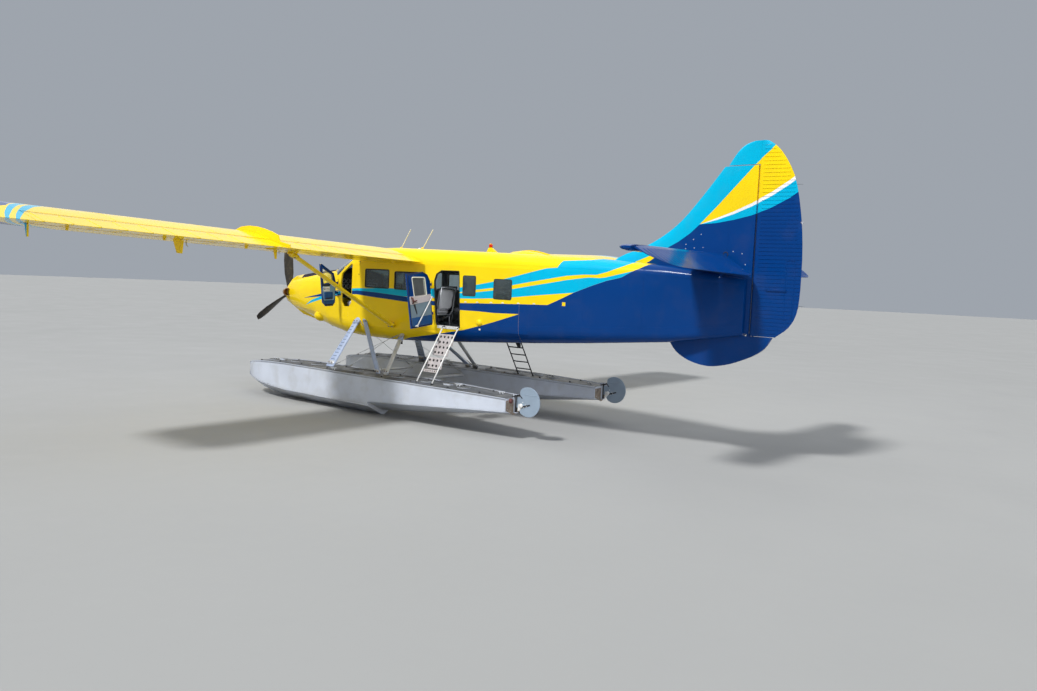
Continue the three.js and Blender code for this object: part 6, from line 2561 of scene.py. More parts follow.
@dataclass
class Ladder:
    """A boarding ladder: two rails, end shoes, and perforated treads or round rungs."""

    side: Side
    tops: tuple
    feet: tuple
    perforated: bool
    rungs: int = 6
    radius: float = 0.0145
    depth: float = 0.215
    lowest_depth: float = 0.05
    tilt: float = math.radians(76)
    plates: tuple = (0.105, 0.29, 0.525, 0.735)
    holes: tuple = (4, 2)
    lowest_holes: tuple = (7, 1)
    hole_share: float = 0.27
    thickness: float = 0.003
    lip: float = 0.03
    lowered: float = 0.03
    squash: float = 0.8
    shoe_share: float = 0.035
    shoe_size: float = 1.35
    hook: tuple = (0.028, 0.03, 0.035, 0.04)
    hook_radius: float = 0.009
    rung_radius: float = 0.013
    tread_share: float = 0.98
    # Where the dark sheet of painted shade behind each tread lies: its gap behind the plate, and its span
    # along and across.
    shade_sheet_gap: float = 0.012
    shade_sheet_span: tuple = (0.02, 0.98, 0.96)

    def build(self, finish: Finish) -> None:
        """Builds the ladder in place of the CAD one.

        Args:
            finish: the shared finishes.
        """
        lowered = self.lowered if self.perforated else 0.0
        lines = [(at(*top).lerp(at(*foot), lowered), at(*foot)) for top, foot in zip(self.tops, self.feet)]
        rails, shoes, treads, shade_sheets = Shape(), Shape(), Shape(), Shape()
        for top, foot in lines:
            rails.tube([top, top.lerp(foot, 0.5), foot], self.radius, 12, squash=self.squash)
            shoes.tube([foot.lerp(top, self.shoe_share), foot], self.radius * self.shoe_size, 12)
            rise, inward, high, reach = self.hook
            hook = top + Vector((0, -inward * self.side.value, high))
            end = hook - Vector((0, reach * self.side.value, 0))
            shoes.tube([top, top + UP * rise, hook, end], self.hook_radius, 8)
        evenly = [k / (self.rungs + 1) for k in range(1, self.rungs + 1)]
        for share in self.plates if self.perforated else evenly:
            first, second = (top.lerp(foot, share) for top, foot in lines)
            if self.perforated:
                self.tread(treads, shade_sheets, first, second, share == self.plates[-1])
            else:
                treads.tube([first, second], self.rung_radius, 10)
        name = f"ladder_{self.side.label}"
        paint, tread_paint = (finish.white, finish.tread) if self.perforated else (finish.black, finish.black)
        rail = rails.build(f"{name}_rails", paint, slot="ladder_paint")
        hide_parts(name)
        shoes.build(f"{name}_shoes", finish.rubber)
        treads.build(f"{name}_treads", tread_paint)
        # The dark sheets behind the treads are painted shade, which darkens the treads' holes.
        if self.perforated:
            shade_sheets.build(f"{name}_tread_linings", finish.rubber)

    def tread(self, treads: Shape, shade_sheets: Shape, first: Vector, second: Vector, lowest: bool) -> None:
        """A perforated plate with two lips, and behind it a dark sheet of painted shade that darkens its
        holes.

        Args:
            treads: the shape that takes the plate.
            shade_sheets: the shape that takes the dark sheet of painted shade.
            first: its place on one rail.
            second: its place on the other.
            lowest: whether it is the narrow one at the foot.
        """
        along = (second - first) * self.tread_share
        outward = Vector((0, self.side.value, 0))
        depth = self.lowest_depth if lowest else self.depth
        across = (outward * math.cos(self.tilt) + -UP * math.sin(self.tilt)) * depth
        corner = first + along * 0.01
        columns, rows = self.lowest_holes if lowest else self.holes
        treads.holed(corner, along, across, columns, rows, self.hole_share, self.thickness)
        normal = along.cross(across).normalized()
        # A dark rubber sheet just behind the plate paints the shade that falls inside its holes.
        back = normal * self.shade_sheet_gap
        start, end, deep = self.shade_sheet_span
        shade_sheets.prism([corner + back + part for part in (
            along * start, along * end, along * end + across * deep, along * start + across * deep)],
                      back.normalized() * 0.002)
        for edge, turn in ((corner, -1), (corner + across, 1)):
            lip = across.normalized() * (self.thickness * turn)
            fall = normal * self.lip
            treads.prism([edge, edge + along, edge + along + fall, edge + fall], lip)


@dataclass
class Floats:
    """The floats' sheet joints, deck hardware, transoms and bumpers."""

    centre: float = FLOAT_CENTRE
    middle: float = 0.45
    seam: Seam = Seam(0.03, 0.0016, 0.05, 0.005, 0.0022)
    rings: tuple = (1.3, 1.9, 2.6, 3.3, 4.0, 4.7, 5.4, 6.1, 6.8, 7.5, 8.1)
    lapped_rings: tuple = (1.9, 3.3, 4.7, 6.1, 7.5)
    ring_start: float = 0.9
    ring_reach: float = 0.88
    ring_turns: range = range(-172, 173, 8)
    side_row: tuple = (1.0, 8.4, 0.16)
    side_height: float = 0.56
    edge_radius: float = 0.009
    keel_radius: float = 0.014
    hatches: tuple = (1.55, 2.35, 3.05, 4.35, 5.55, 6.35, 7.3)
    hatch: tuple = ((0.125, 0.0), (0.125, 0.008), (0.118, 0.011), (0.1, 0.011), (0.098, 0.008), (0.03, 0.008),
                    (0.028, 0.014), (0.01, 0.015))
    hatch_screws: int = 8
    hatch_screw_reach: float = 0.11
    hatch_screw_rise: float = 0.007
    hatch_screw: tuple = (0.006, 0.004)
    caps: tuple = (1.35, 2.1, 2.85, 3.7, 4.55, 5.35, 6.15, 7.1, 7.85)
    cap_shares: tuple = (-0.6, 0.6)
    cap: tuple = ((0.024, 0.0), (0.024, 0.006), (0.018, 0.009), (0.016, 0.02), (0.009, 0.024))
    cleats: tuple = ((1.62, 0.0), (3.95, 0.3), (7.16, 0.0), (8.2, 0.0))
    cleat_posts: tuple = (-0.035, 0.035)
    cleat_post: tuple = ((-0.002, 0.034), (0.014, 0.009))
    cleat_bar: tuple = ((-0.095, 0.05), (-0.04, 0.038), (0.04, 0.038), (0.095, 0.05))
    cleat_bar_radii: tuple = (0.006, 0.011, 0.011, 0.006)
    walkways: tuple = ((2.15, 3.2), (3.75, 4.75), (5.5, 6.7))
    walkway_shares: tuple = (0.42, 0.8)
    keel: tuple = ((0.76, 0.372), (0.8, 0.322), (0.92, 0.238), (1.15, 0.153), (1.5, 0.083), (2.0, 0.024))
    chine: tuple = ((0.8, 0.115, 0.44), (0.915, 0.193, 0.395), (1.15, 0.288, 0.36), (1.5, 0.365, 0.31),
                    (2.0, 0.415, 0.265), (2.5, 0.433, 0.235), (5.145, 0.433, 0.215))
    after_chine: tuple = ((5.17, 0.433, 0.29), (6.9, 0.403, 0.415), (8.0, 0.323, 0.48), (8.49, 0.258, 0.5))
    gunwale: tuple = ((0.8, 0.115, 0.625), (0.915, 0.192, 0.684), (1.15, 0.287, 0.73), (1.5, 0.364, 0.767),
                      (2.0, 0.414, 0.792), (2.5, 0.432, 0.804), (5.15, 0.432, 0.79), (6.9, 0.402, 0.777),
                      (8.0, 0.322, 0.757), (8.49, 0.257, 0.737))
    bumper: tuple = ((0.755, 0.05, 0.4, 0.55), (0.725, 0.06, 0.405, 0.545), (0.708, 0.045, 0.42, 0.53),
                     (0.7, 0.02, 0.45, 0.5))
    transom_station: float = 8.499
    transom_thickness: float = 0.007
    bolt_station: float = 8.505
    knob_station: float = 8.5
    transom: tuple = ((-0.235, 0.52), (-0.02, 0.43), (0.02, 0.43), (0.235, 0.52), (0.235, 0.7), (-0.235, 0.7))
    bolts: tuple = ((-0.2, 0.54), (-0.1, 0.5), (0.1, 0.5), (0.2, 0.54), (-0.2, 0.67), (-0.1, 0.67),
                    (0.1, 0.67), (0.2, 0.67))
    bolt: tuple = ((0.011, 0.0), (0.011, 0.006), (0.004, 0.008))
    knob_place: tuple = (0.12, 0.69)
    knob: tuple = ((0.045, 0.0), (0.045, 0.03), (0.02, 0.05))

    def build(self, finish: Finish) -> None:
        """Builds both floats' details.

        Args:
            finish: the shared finishes.
        """
        for side in Side:
            y = side.value * self.centre
            name = f"float_{side.label}"
            metal = Riveting(name, (name,), finish.float_paint, self.seam)
            for station in self.rings:
                lapped = station in self.lapped_rings
                metal.ring(at(station, y, self.middle), self.ring_start, self.ring_reach, self.ring_turns,
                           lapped)
            for sign in SIGNS:
                aside = y + sign * self.ring_start
                metal.row([metal.skin.drop(at(s, aside, self.side_height), (0, -sign, 0), self.ring_reach)
                           for s in steps(*self.side_row)])
                for edge in (self.chine, self.after_chine, self.gunwale):
                    line = [at(s, y + sign * reach, z) for s, reach, z in edge]
                    metal.strips.tube(line, self.edge_radius, 6)
            metal.strips.tube([at(s, y, z) for s, z in self.keel], self.keel_radius, 8)
            metal.build()
            self.deck(metal.skin, side, finish)
            self.bow(side, finish)
            self.stern(side, finish)

    def deck(self, skin: Skin, side: Side, finish: Finish) -> None:
        """The hatches, pump caps and cleats on one deck, and its walkway strips.

        Args:
            skin: the float's skin.
            side: the side.
            finish: the shared finishes.
        """
        y = side.value * self.centre
        hatches, caps, cleats = Shape(), Shape(), Shape()
        for station in self.hatches:
            place = skin.top(station, y).place
            hatches.disc(place - UP * 0.003, UP, self.hatch, 28)
            for turn in around(self.hatch_screws):
                way = Vector((math.cos(turn), math.sin(turn), 0))
                screw = place + way * self.hatch_screw_reach + UP * self.hatch_screw_rise
                hatches.dome(screw, UP, *self.hatch_screw)
        for station in self.caps:
            for share in self.cap_shares:
                spot = skin.top(station, y + self.width(station) * share)
                caps.disc(spot.place - UP * 0.002, spot.normal, self.cap, 14)
        rises, radii = self.cleat_post
        for station, outward in self.cleats:
            foot = skin.top(station, y + side.value * outward).place
            for run in self.cleat_posts:
                cleats.tube([foot + AHEAD * run + UP * rise for rise in rises], radii, 8)
            cleats.tube([foot + Vector((run, 0, rise)) for run, rise in self.cleat_bar],
                        self.cleat_bar_radii, 8)
        hatches.build(f"float_hatches_{side.label}", finish.float_paint)
        caps.build(f"float_pump_caps_{side.label}", finish.black)
        cleats.build(f"float_cleats_{side.label}", finish.aluminium)
        self.walks(skin, side, finish)

    def walks(self, skin: Skin, side: Side, finish: Finish) -> None:
        """The walkway strips on one deck.

        Args:
            skin: the float's skin.
            side: the side.
            finish: the shared finishes.
        """
        y = side.value * self.centre
        low, high = UP * 0.001, UP * 0.003
        walk = Shape()
        for sign in SIGNS:
            for first, last in self.walkways:
                rings = []
                for s in steps(first, last, 0.1):
                    half = sign * self.width(s)
                    inner, outer = (skin.top(s, y + half * share).place for share in self.walkway_shares)
                    rings.append([inner - low, inner + high, outer + high, outer - low])
                walk.loft(rings, smooth=False)
        walk.build(f"float_walkways_{side.label}", finish.float_deck)

    def width(self, station: float) -> float:
        """The deck's half width at a station."""
        for (s0, w0, _), (s1, w1, _) in zip(self.gunwale, self.gunwale[1:]):
            if station <= s1:
                return w0 + (w1 - w0) * (station - s0) / (s1 - s0)
        return self.gunwale[-1][1]

    def bow(self, side: Side, finish: Finish) -> None:
        """The rubber bumper on one bow.

        Args:
            side: the side.
            finish: the shared finishes.
        """
        y = side.value * self.centre
        bumper = Shape()
        bumper.loft([[at(s, y + a, z) for a, z in rounded(rectangle((-half, low), (half, high)), half * 0.8)]
                     for s, half, low, high in self.bumper])
        bumper.build(f"float_bumper_{side.label}", finish.white)

    def stern(self, side: Side, finish: Finish) -> None:
        """One stern's transom plate with its bolts and its drain knob.

        Args:
            side: the side.
            finish: the shared finishes.
        """
        y, label = side.value * self.centre, side.label
        transom, bolts, knob = Shape(), Shape(), Shape()
        transom.prism([at(self.transom_station, y + a, z) for a, z in self.transom],
                      AFT * self.transom_thickness)
        transom.build(f"float_transom_{label}", finish.rust, bevel=0.002)
        for a, z in self.bolts:
            bolts.disc(at(self.bolt_station, y + a, z), AFT, self.bolt, 6)
        bolts.build(f"float_transom_bolts_{label}", finish.steel)
        aside, z = self.knob_place
        knob.disc(at(self.knob_station, y + side.value * aside, z), AFT, self.knob, 16)
        knob.build(f"float_transom_knob_{label}", finish.brown)


@dataclass
class WaterRudders:
    """The brackets, pivots, stiffeners and steering arms on the water rudders."""

    centre: float = FLOAT_CENTRE
    blade: tuple = (8.805, 0.69)
    blade_radius: float = 0.257
    bracket: tuple = ((8.59, 0.51), (8.64, 0.53), (8.69, 0.6), (8.6, 0.64))
    arm: tuple = ((8.62, 0.55), (8.86, 0.635), (8.85, 0.655), (8.66, 0.6))
    pivot: tuple = (8.66, 0.61)
    pivot_cover: tuple = ((0.04, 0.0), (0.04, 0.012), (0.028, 0.018), (0.012, 0.02))
    bolts: tuple = ((8.78, 0.61), (8.72, 0.585), (8.7, 0.68), (8.76, 0.64))
    stiffener: tuple = (8.7, 0.258 * 0.35 * 1.4)
    stiffener_radius: float = 0.225
    yoke: tuple = ((8.56, 0.78), (8.62, 0.8), (8.68, 0.74))
    yoke_half: float = 0.13
    yoke_place: tuple = (8.56, 0.775)
    post: tuple = ((8.545, 0.47), (8.545, 0.8))
    face: float = 0.0075
    bracket_thickness: float = 0.006
    arm_thickness: float = 0.005
    bolt: tuple = (0.008, 0.006)
    tube_radii: tuple = (0.013, 0.011, 0.017)
    stiffener_tube: float = 0.005
    edge_tube: float = 0.0085
    edge_turns: tuple = (-2.25, 2.25, 0.1)

    def build(self, finish: Finish) -> None:
        """Builds the details of both water rudders.

        Args:
            finish: the shared finishes.
        """
        for side in Side:
            y = side.value * self.centre
            bracket, arm, rim = Shape(), Shape(), Shape()
            for sign in SIGNS:
                face = y + sign * self.face
                out = Vector((0, sign, 0))
                bracket.prism([at(s, face, z) for s, z in self.bracket], out * self.bracket_thickness)
                arm.prism([at(s, face, z) for s, z in self.arm], out * self.arm_thickness)
                bracket.disc(at(self.pivot[0], face, self.pivot[1]), out, self.pivot_cover, 16)
                for s, z in self.bolts:
                    bracket.dome(at(s, face + sign * self.bracket_thickness, z), out, *self.bolt, 8)
                first, rise = self.stiffener
                last = self.blade[0] + math.sqrt(self.stiffener_radius ** 2 - rise ** 2)
                height = self.blade[1] + rise
                rim.tube([at(s, face - sign * 0.001, height) for s in (first, last)], self.stiffener_tube, 6)
            yoke, cross, post = self.tube_radii
            arm.tube([at(s, y, z) for s, z in self.yoke], yoke, 8)
            s, z = self.yoke_place
            arm.tube([at(s, y - self.yoke_half, z), at(s, y + self.yoke_half, z)], cross, 8)
            arm.tube([at(s, y, z) for s, z in self.post], post, 10)
            edge = [at(self.blade[0] + math.cos(a) * self.blade_radius, y,
                       self.blade[1] + math.sin(a) * self.blade_radius) for a in steps(*self.edge_turns)]
            rim.tube(edge, self.edge_tube, 6)
            body = f"water_rudder_{side.label}"
            bracket.build(f"{body}_bracket", finish.white, body)
            arm.build(f"{body}_arm", finish.black, body)
            rim.build(f"{body}_rim", finish.rudder_grey, body)


@dataclass
class Struts:
    """The fittings, step marks and bracing wires of the float and wing struts."""

    front: tuple = ((3.64, 0.8, 1.85), (3.44, 1.42, 0.79))
    diagonal: tuple = ((3.81, 0.8, 1.84), (4.98, 1.42, 0.765))
    rear: tuple = ((4.96, 0.77, 1.59), (5.16, 1.42, 0.765))
    wing: tuple = ((4.73, 0.8, 1.725), (4.72, 3.46, 3.13))
    sections: tuple = ((0.15, 0.058), (0.1, 0.05), (0.105, 0.052), (0.165, 0.062))
    fitting_span: tuple = (0.06, 0.15)
    fitting_share: float = 0.62
    fitting_corner: float = 0.9
    bolt_run: float = 0.1
    bolt_spread: tuple = (-0.3, 0.3)
    bolt_reach: float = 0.8
    bolt_radius: float = 0.016
    cross_wire: tuple = ((3.44, 1.12, 0.66), (5.1, -1.12, 0.66))
    front_wire: tuple = ((3.66, 0.78, 1.72), (3.44, -1.05, 0.67))
    rear_wire_foot: tuple = (5.1, -1.05, 0.67)
    wire: float = 0.0035
    turnbuckle: tuple = ((0.1, 0.13, 0.27, 0.3), (0.004, 0.009, 0.009, 0.004))
    marks: int = 12
    marks_span: tuple = (0.13, 0.72)
    mark_half: float = 0.006

    def build(self, finish: Finish) -> None:
        """Builds the fittings on both sides.

        Args:
            finish: the shared finishes.
        """
        ends, feet, marks, wires, sleeves, bolts = Shape(), Shape(), Shape(), Shape(), Shape(), Shape()
        for side in Side:
            sign = side.value
            front, diagonal, rear, wing = (tuple(at(s, y * sign, z) for s, y, z in line)
                                           for line in (self.front, self.diagonal, self.rear, self.wing))
            for (top, foot), section, above, below in zip(
                    (front, diagonal, rear, wing), self.sections, (ends, ends, ends, sleeves),
                    (feet, feet, feet, sleeves)):
                along = (foot - top).normalized()
                self.fitting(above, bolts, top, along, section, self.across(top, foot))
                self.fitting(below, bolts, foot, -along, section, self.across(top, foot))
            self.step_marks(marks, *front, sign)
            self.wires(wires, front, rear, sign)
        ends.build("strut_top_fittings", finish.strut_blue, slot="bare_aluminium")
        sleeves.build("wing_strut_sleeves", finish.yellow)
        bolts.build("strut_bolts", finish.rust)
        feet.build("strut_foot_fittings", finish.aluminium, slot="bare_aluminium")
        marks.build("strut_step_marks", finish.step_grey)
        wires.build("bracing_wires", finish.steel)

    def across(self, top: Vector, foot: Vector) -> Vector:
        """Which way a strut's broad face looks."""
        return (foot - top).normalized().cross(AHEAD).normalized()

    def fitting(self, shape: Shape, bolts: Shape, end: Vector, way: Vector, section: tuple,
                flat: Vector) -> None:
        """The sleeve at one end of a strut, with its two bolts.

        Args:
            shape: the shape that takes the sleeve.
            bolts: the shape that takes the bolts.
            end: the strut's end.
            way: which way the strut runs from it.
            section: the strut's chord and thickness.
            flat: which way its broad face looks.
        """
        chord, thick = section
        share = self.fitting_share
        corners = rounded(((-1, -1), (1, -1), (1, 1), (-1, 1)), self.fitting_corner)
        shape.loft([[end + way * run + Vector((a * chord * share, 0, 0)) + flat * (b * thick * share)
                     for a, b in corners] for run in self.fitting_span])
        for spread in self.bolt_spread:
            bolt = end + way * self.bolt_run + Vector((chord * spread, 0, 0))
            reach = flat * thick * self.bolt_reach
            bolts.tube([bolt - reach, bolt + reach], self.bolt_radius, 8)

    def wires(self, shape: Shape, front: tuple, rear: tuple, sign: int) -> None:
        """One side's bracing wires, each with a turnbuckle near both ends.

        Args:
            shape: the shape that takes them.
            front: the front strut's top and foot.
            rear: the rear strut's top and foot.
            sign: the side's sign.
        """
        crossing, slanting = ([at(s, y * sign, z) for s, y, z in line]
                              for line in (self.cross_wire, self.front_wire))
        s, y, z = self.rear_wire_foot
        for first, second in ((front[0], rear[1]), (rear[0] + UP * 0.02, front[1]), crossing, slanting,
                              (rear[0], at(s, y * sign, z))):
            shape.tube([first, first.lerp(second, 0.5), second], self.wire, 6)
            for end, other in ((first, second), (second, first)):
                way = (other - end).normalized()
                runs, radii = self.turnbuckle
                shape.tube([end + way * run for run in runs], radii, 8)

    def step_marks(self, shape: Shape, top: Vector, foot: Vector, sign: int) -> None:
        """The dark non-slip strips across both faces of the front strut.

        Args:
            shape: the shape that takes them.
            top: the strut's top.
            foot: its foot.
            sign: the side's sign.
        """
        flat = self.across(top, foot)
        face = flat if flat.y * sign > 0 else -flat
        first, reach = self.marks_span
        for k in range(self.marks):
            share = first + reach * k / (self.marks - 1)
            centre = top.lerp(foot, share)
            half = (0.03 + 0.06 * share) * 0.72
            corners = ((half, -self.mark_half), (half, self.mark_half), (-half, self.mark_half),
                       (-half, -self.mark_half))
            for way in (face, -face):
                base = centre + way * 0.0265
                shape.prism([base + Vector((a, 0, b)) for a, b in corners], way * 0.005)


@dataclass
class Nose:
    """The intake's lip and screen, the spinner's seams and back plate, and the exhausts' bands."""

    axis_height: float = 2.26
    intake: tuple = ((-0.115, 2.02), (0.115, 2.1))
    intake_station: float = 0.345
    lip: tuple = ((0.016, -0.004), (0.014, 0.01), (0.002, 0.014), (-0.004, 0.004), (-0.004, -0.02))
    screen_stations: tuple = (0.365, 0.366)
    screen_columns: int = 11
    screen_column: float = 0.02
    screen_rows: tuple = (2.04, 2.06, 2.08)
    front_seam: Seam = Seam(0.05, 0.004, 0.05)
    front_station: float = 0.372
    seams: tuple = ((0.285, 0.16), (0.2, 0.152))
    screws: int = 18
    screw_place: tuple = (0.243, 0.155)
    back_station: float = 0.31
    back_plate: tuple = ((0.165, -0.02), (0.17, -0.01), (0.17, 0.002), (0.15, 0.006))
    bands: int = 3
    band_place: tuple = (0.56, 0.3, 0.04, 2.285)
    band_pitch: float = 0.075
    band: tuple = ((0.101, -0.006), (0.106, 0.0), (0.101, 0.006))

    def build(self, finish: Finish) -> None:
        """Builds the nose's details.

        Args:
            finish: the shared finishes.
        """
        self.air_intake(finish)
        self.spinner(finish)
        station, foot, rise, height = self.band_place
        bands = Shape()
        for side in Side:
            for k in range(self.bands):
                centre = at(station + self.band_pitch * k, side.value * foot + side.value * rise, height)
                bands.disc(centre, Vector((-0.5, side.value, 0)), self.band, 24)
        bands.build("exhaust_bands", finish.steel)

    def air_intake(self, finish: Finish) -> None:
        """The lip and the screen of the intake under the spinner, and the cowl's front ring.

        Args:
            finish: the shared finishes.
        """
        lip, screen = Shape(), Shape()
        outline = rounded(rectangle(*self.intake), 0.03)
        lip.frame([at(self.intake_station, y, z) for y, z in outline], self.lip, AHEAD)
        lip.build("intake_lip", finish.bronze)
        ring = Riveting("cowl_front", ("nose_cowl",), finish.bronze, self.front_seam)
        ring.hull_ring(self.front_station, lapped=True)
        ring.build()
        upright, level = self.screen_stations
        for k in range(self.screen_columns):
            y = -0.1 + self.screen_column * k
            screen.tube([at(upright, y, 2.018), at(upright, y, 2.102)], 0.0015, 4)
        for z in self.screen_rows:
            screen.tube([at(level, -0.112, z), at(level, 0.112, z)], 0.0015, 4)
        screen.build("intake_screen", finish.steel)

    def spinner(self, finish: Finish) -> None:
        """The spinner's seams with their screws, and its back plate.

        Args:
            finish: the shared finishes.
        """
        seam, plate = Shape(), Shape()
        z = self.axis_height
        for station, radius in self.seams:
            circle = [at(station, math.cos(a) * radius, z + math.sin(a) * radius)
                      for a in steps(0, math.tau, 0.2)[:-1]]
            seam.tube(circle, 0.0035, 6, closed=True)
        station, reach = self.screw_place
        for turn in around(self.screws):
            way = Vector((0, math.cos(turn), math.sin(turn)))
            seam.dome(at(station, 0, z) + way * reach, way, 0.006, 0.004)
        seam.build("spinner_seams", finish.steel, "propeller")
        plate.disc(at(self.back_station, 0, z), AHEAD, self.back_plate, 36)
        plate.build("spinner_backplate", finish.bronze, "propeller")


@dataclass
class Wings:
    """The wings' sheet joints and rivets, and the lamps, probes and caps on them."""

    ribs: tuple = tuple(0.95 + 0.42 * k for k in range(19))
    spars: tuple = (3.72, 4.1, 4.62, 4.98)
    lapped_spar: float = 4.1
    rib_span: tuple = (3.66, 4.97)
    spar_span: tuple = (0.9, 8.7)
    seam: Seam = Seam(0.034, 0.0018, 0.06, 0.0052, 0.002)
    moving: tuple = (("flap", 0.95, 4.05), ("aileron", 4.25, 8.1))
    moving_span: tuple = (5.12, 5.56)
    moving_seam: Seam = Seam(0.02, 0.003, 0.07, 0.005, 0.002)
    horn_shares: tuple = (0.12, 0.5, 0.88)
    horn: tuple = ((0.05, 0, 0.008), (-0.07, 0, 0.008), (-0.02, 0, -0.055), (0.03, 0, -0.055))
    horn_pin: tuple = ((0.005, -0.012, -0.04), (0.005, 0.02, -0.04))
    lamp_base: tuple = ((1.0, -0.03), (1.0, 0.004), (0.8, 0.012))
    lamp_half: tuple = (0.09, 0.022)
    caps: tuple = (1.6, 2.6)
    cap: tuple = ((0.055, 0.0), (0.055, 0.004), (0.045, 0.007), (0.043, 0.004), (0.03, 0.004),
                  (0.028, 0.011), (0.01, 0.012))
    ring_place: tuple = (4.62, 3.62)
    vent_place: tuple = (4.5, 5.4)
    vent: tuple = ((0, 0, 0.01), (-0.01, 0, -0.05), (-0.06, 0, -0.075))

    def build(self, finish: Finish) -> None:
        """Builds the details of both wings.

        Args:
            finish: the shared finishes.
        """
        for side in Side:
            sign = side.value
            name = f"wing_{side.label}"
            wing = Riveting(name, (name,), finish.wing, self.seam)
            for number, y in enumerate(self.ribs):
                for cast in (wing.skin.top, wing.skin.under):
                    wing.row([cast(s, sign * y) for s in steps(*self.rib_span, 0.13)], lapped=number % 4 == 2)
            for s in self.spars:
                for cast in (wing.skin.top, wing.skin.under):
                    line = [cast(s, sign * y) for y in steps(*self.spar_span, 0.2)]
                    wing.row(line, lapped=s == self.lapped_spar)
            wing.build()
            for part, first, last in self.moving:
                name = f"{part}_{side.label}"
                moving = Riveting(name, (name,), finish.wing, self.moving_seam, name)
                for y in steps(first, last, 0.38):
                    for cast in (moving.skin.top, moving.skin.under):
                        moving.row([cast(s, sign * y) for s in steps(*self.moving_span, 0.11)], lapped=True)
                moving.build()
                self.horns(moving.skin, name, [sign * (first + (last - first) * k) for k in self.horn_shares],
                           finish)
            foot = wing.skin.drop(at(4.0, sign * 9.2, 3.48), (0, -sign, 0), 1.5).place
            self.tip_lamp(side, foot, finish)
            self.fittings(side, wing.skin, finish)
            self.tip_base(side, foot, finish)

    def horns(self, skin: Skin, name: str, places: Sequence[float], finish: Finish) -> None:
        """The actuating horns under a flap or an aileron.

        Args:
            skin: its skin.
            name: its name.
            places: the horns' places across.
            finish: the shared finishes.
        """
        shape = Shape()
        for y in places:
            spot = skin.under(5.2, y)
            if spot:
                foot = spot.place
                shape.prism([foot + Vector(p) for p in self.horn], Vector((0, 0.008, 0)))
                shape.tube([foot + Vector(p) for p in self.horn_pin], 0.012, 10)
        shape.build(f"{name}_horns", finish.yellow, name)

    def tip_lamp(self, side: Side, foot: Vector, finish: Finish) -> None:
        """The tip lamp.

        Args:
            side: the side.
            foot: its place on the wing's tip.
            finish: the shared finishes.
        """
        out = Vector((0, side.value, 0))
        lamp = Shape()
        lamp.dome(foot + out * 0.008, out, 0.03, 0.026, 14, 4)
        lens = finish.red_lens if side is Side.PORT else finish.green_lens
        lamp.build(f"tip_lamp_{side.label}", lens)

    def tip_base(self, side: Side, foot: Vector, finish: Finish) -> None:
        """The tip lamp's base.

        Args:
            side: the side.
            foot: its place on the wing's tip.
            finish: the shared finishes.
        """
        base = Shape()
        rings = []
        for share, rise in self.lamp_base:
            along, up = (half * share for half in self.lamp_half)
            corners = rounded(rectangle((-along, -up), (along, up)), 0.02 * share, 3)
            rings.append([foot + Vector((a, side.value * rise, b)) for a, b in corners])
        base.loft(rings)
        base.build(f"tip_lamp_base_{side.label}", finish.aluminium)

    def fittings(self, side: Side, skin: Skin, finish: Finish) -> None:
        """The fuel caps, the tie-down ring and the vent.

        Args:
            side: the side.
            skin: the wing's skin.
            finish: the shared finishes.
        """
        sign = side.value
        caps, probe = Shape(), Shape()
        for y in self.caps:
            spot = skin.top(4.35, sign * y)
            caps.disc(spot.over(-0.002), spot.normal, self.cap, 22)
        caps.build(f"fuel_caps_{side.label}", finish.steel)
        station, y = self.ring_place
        foot = skin.under(station, sign * y).place
        circle = [foot + Vector((math.sin(a) * 0.02, 0, -0.022 - math.cos(a) * 0.02))
                  for a in steps(0, math.tau, 0.5)[:-1]]
        probe.tube(circle, 0.005, 6, closed=True)
        station, y = self.vent_place
        foot = skin.under(station, sign * y).place
        probe.tube([foot + Vector(p) for p in self.vent], 0.009, 8)
        probe.build(f"wing_probes_{side.label}", finish.aluminium)


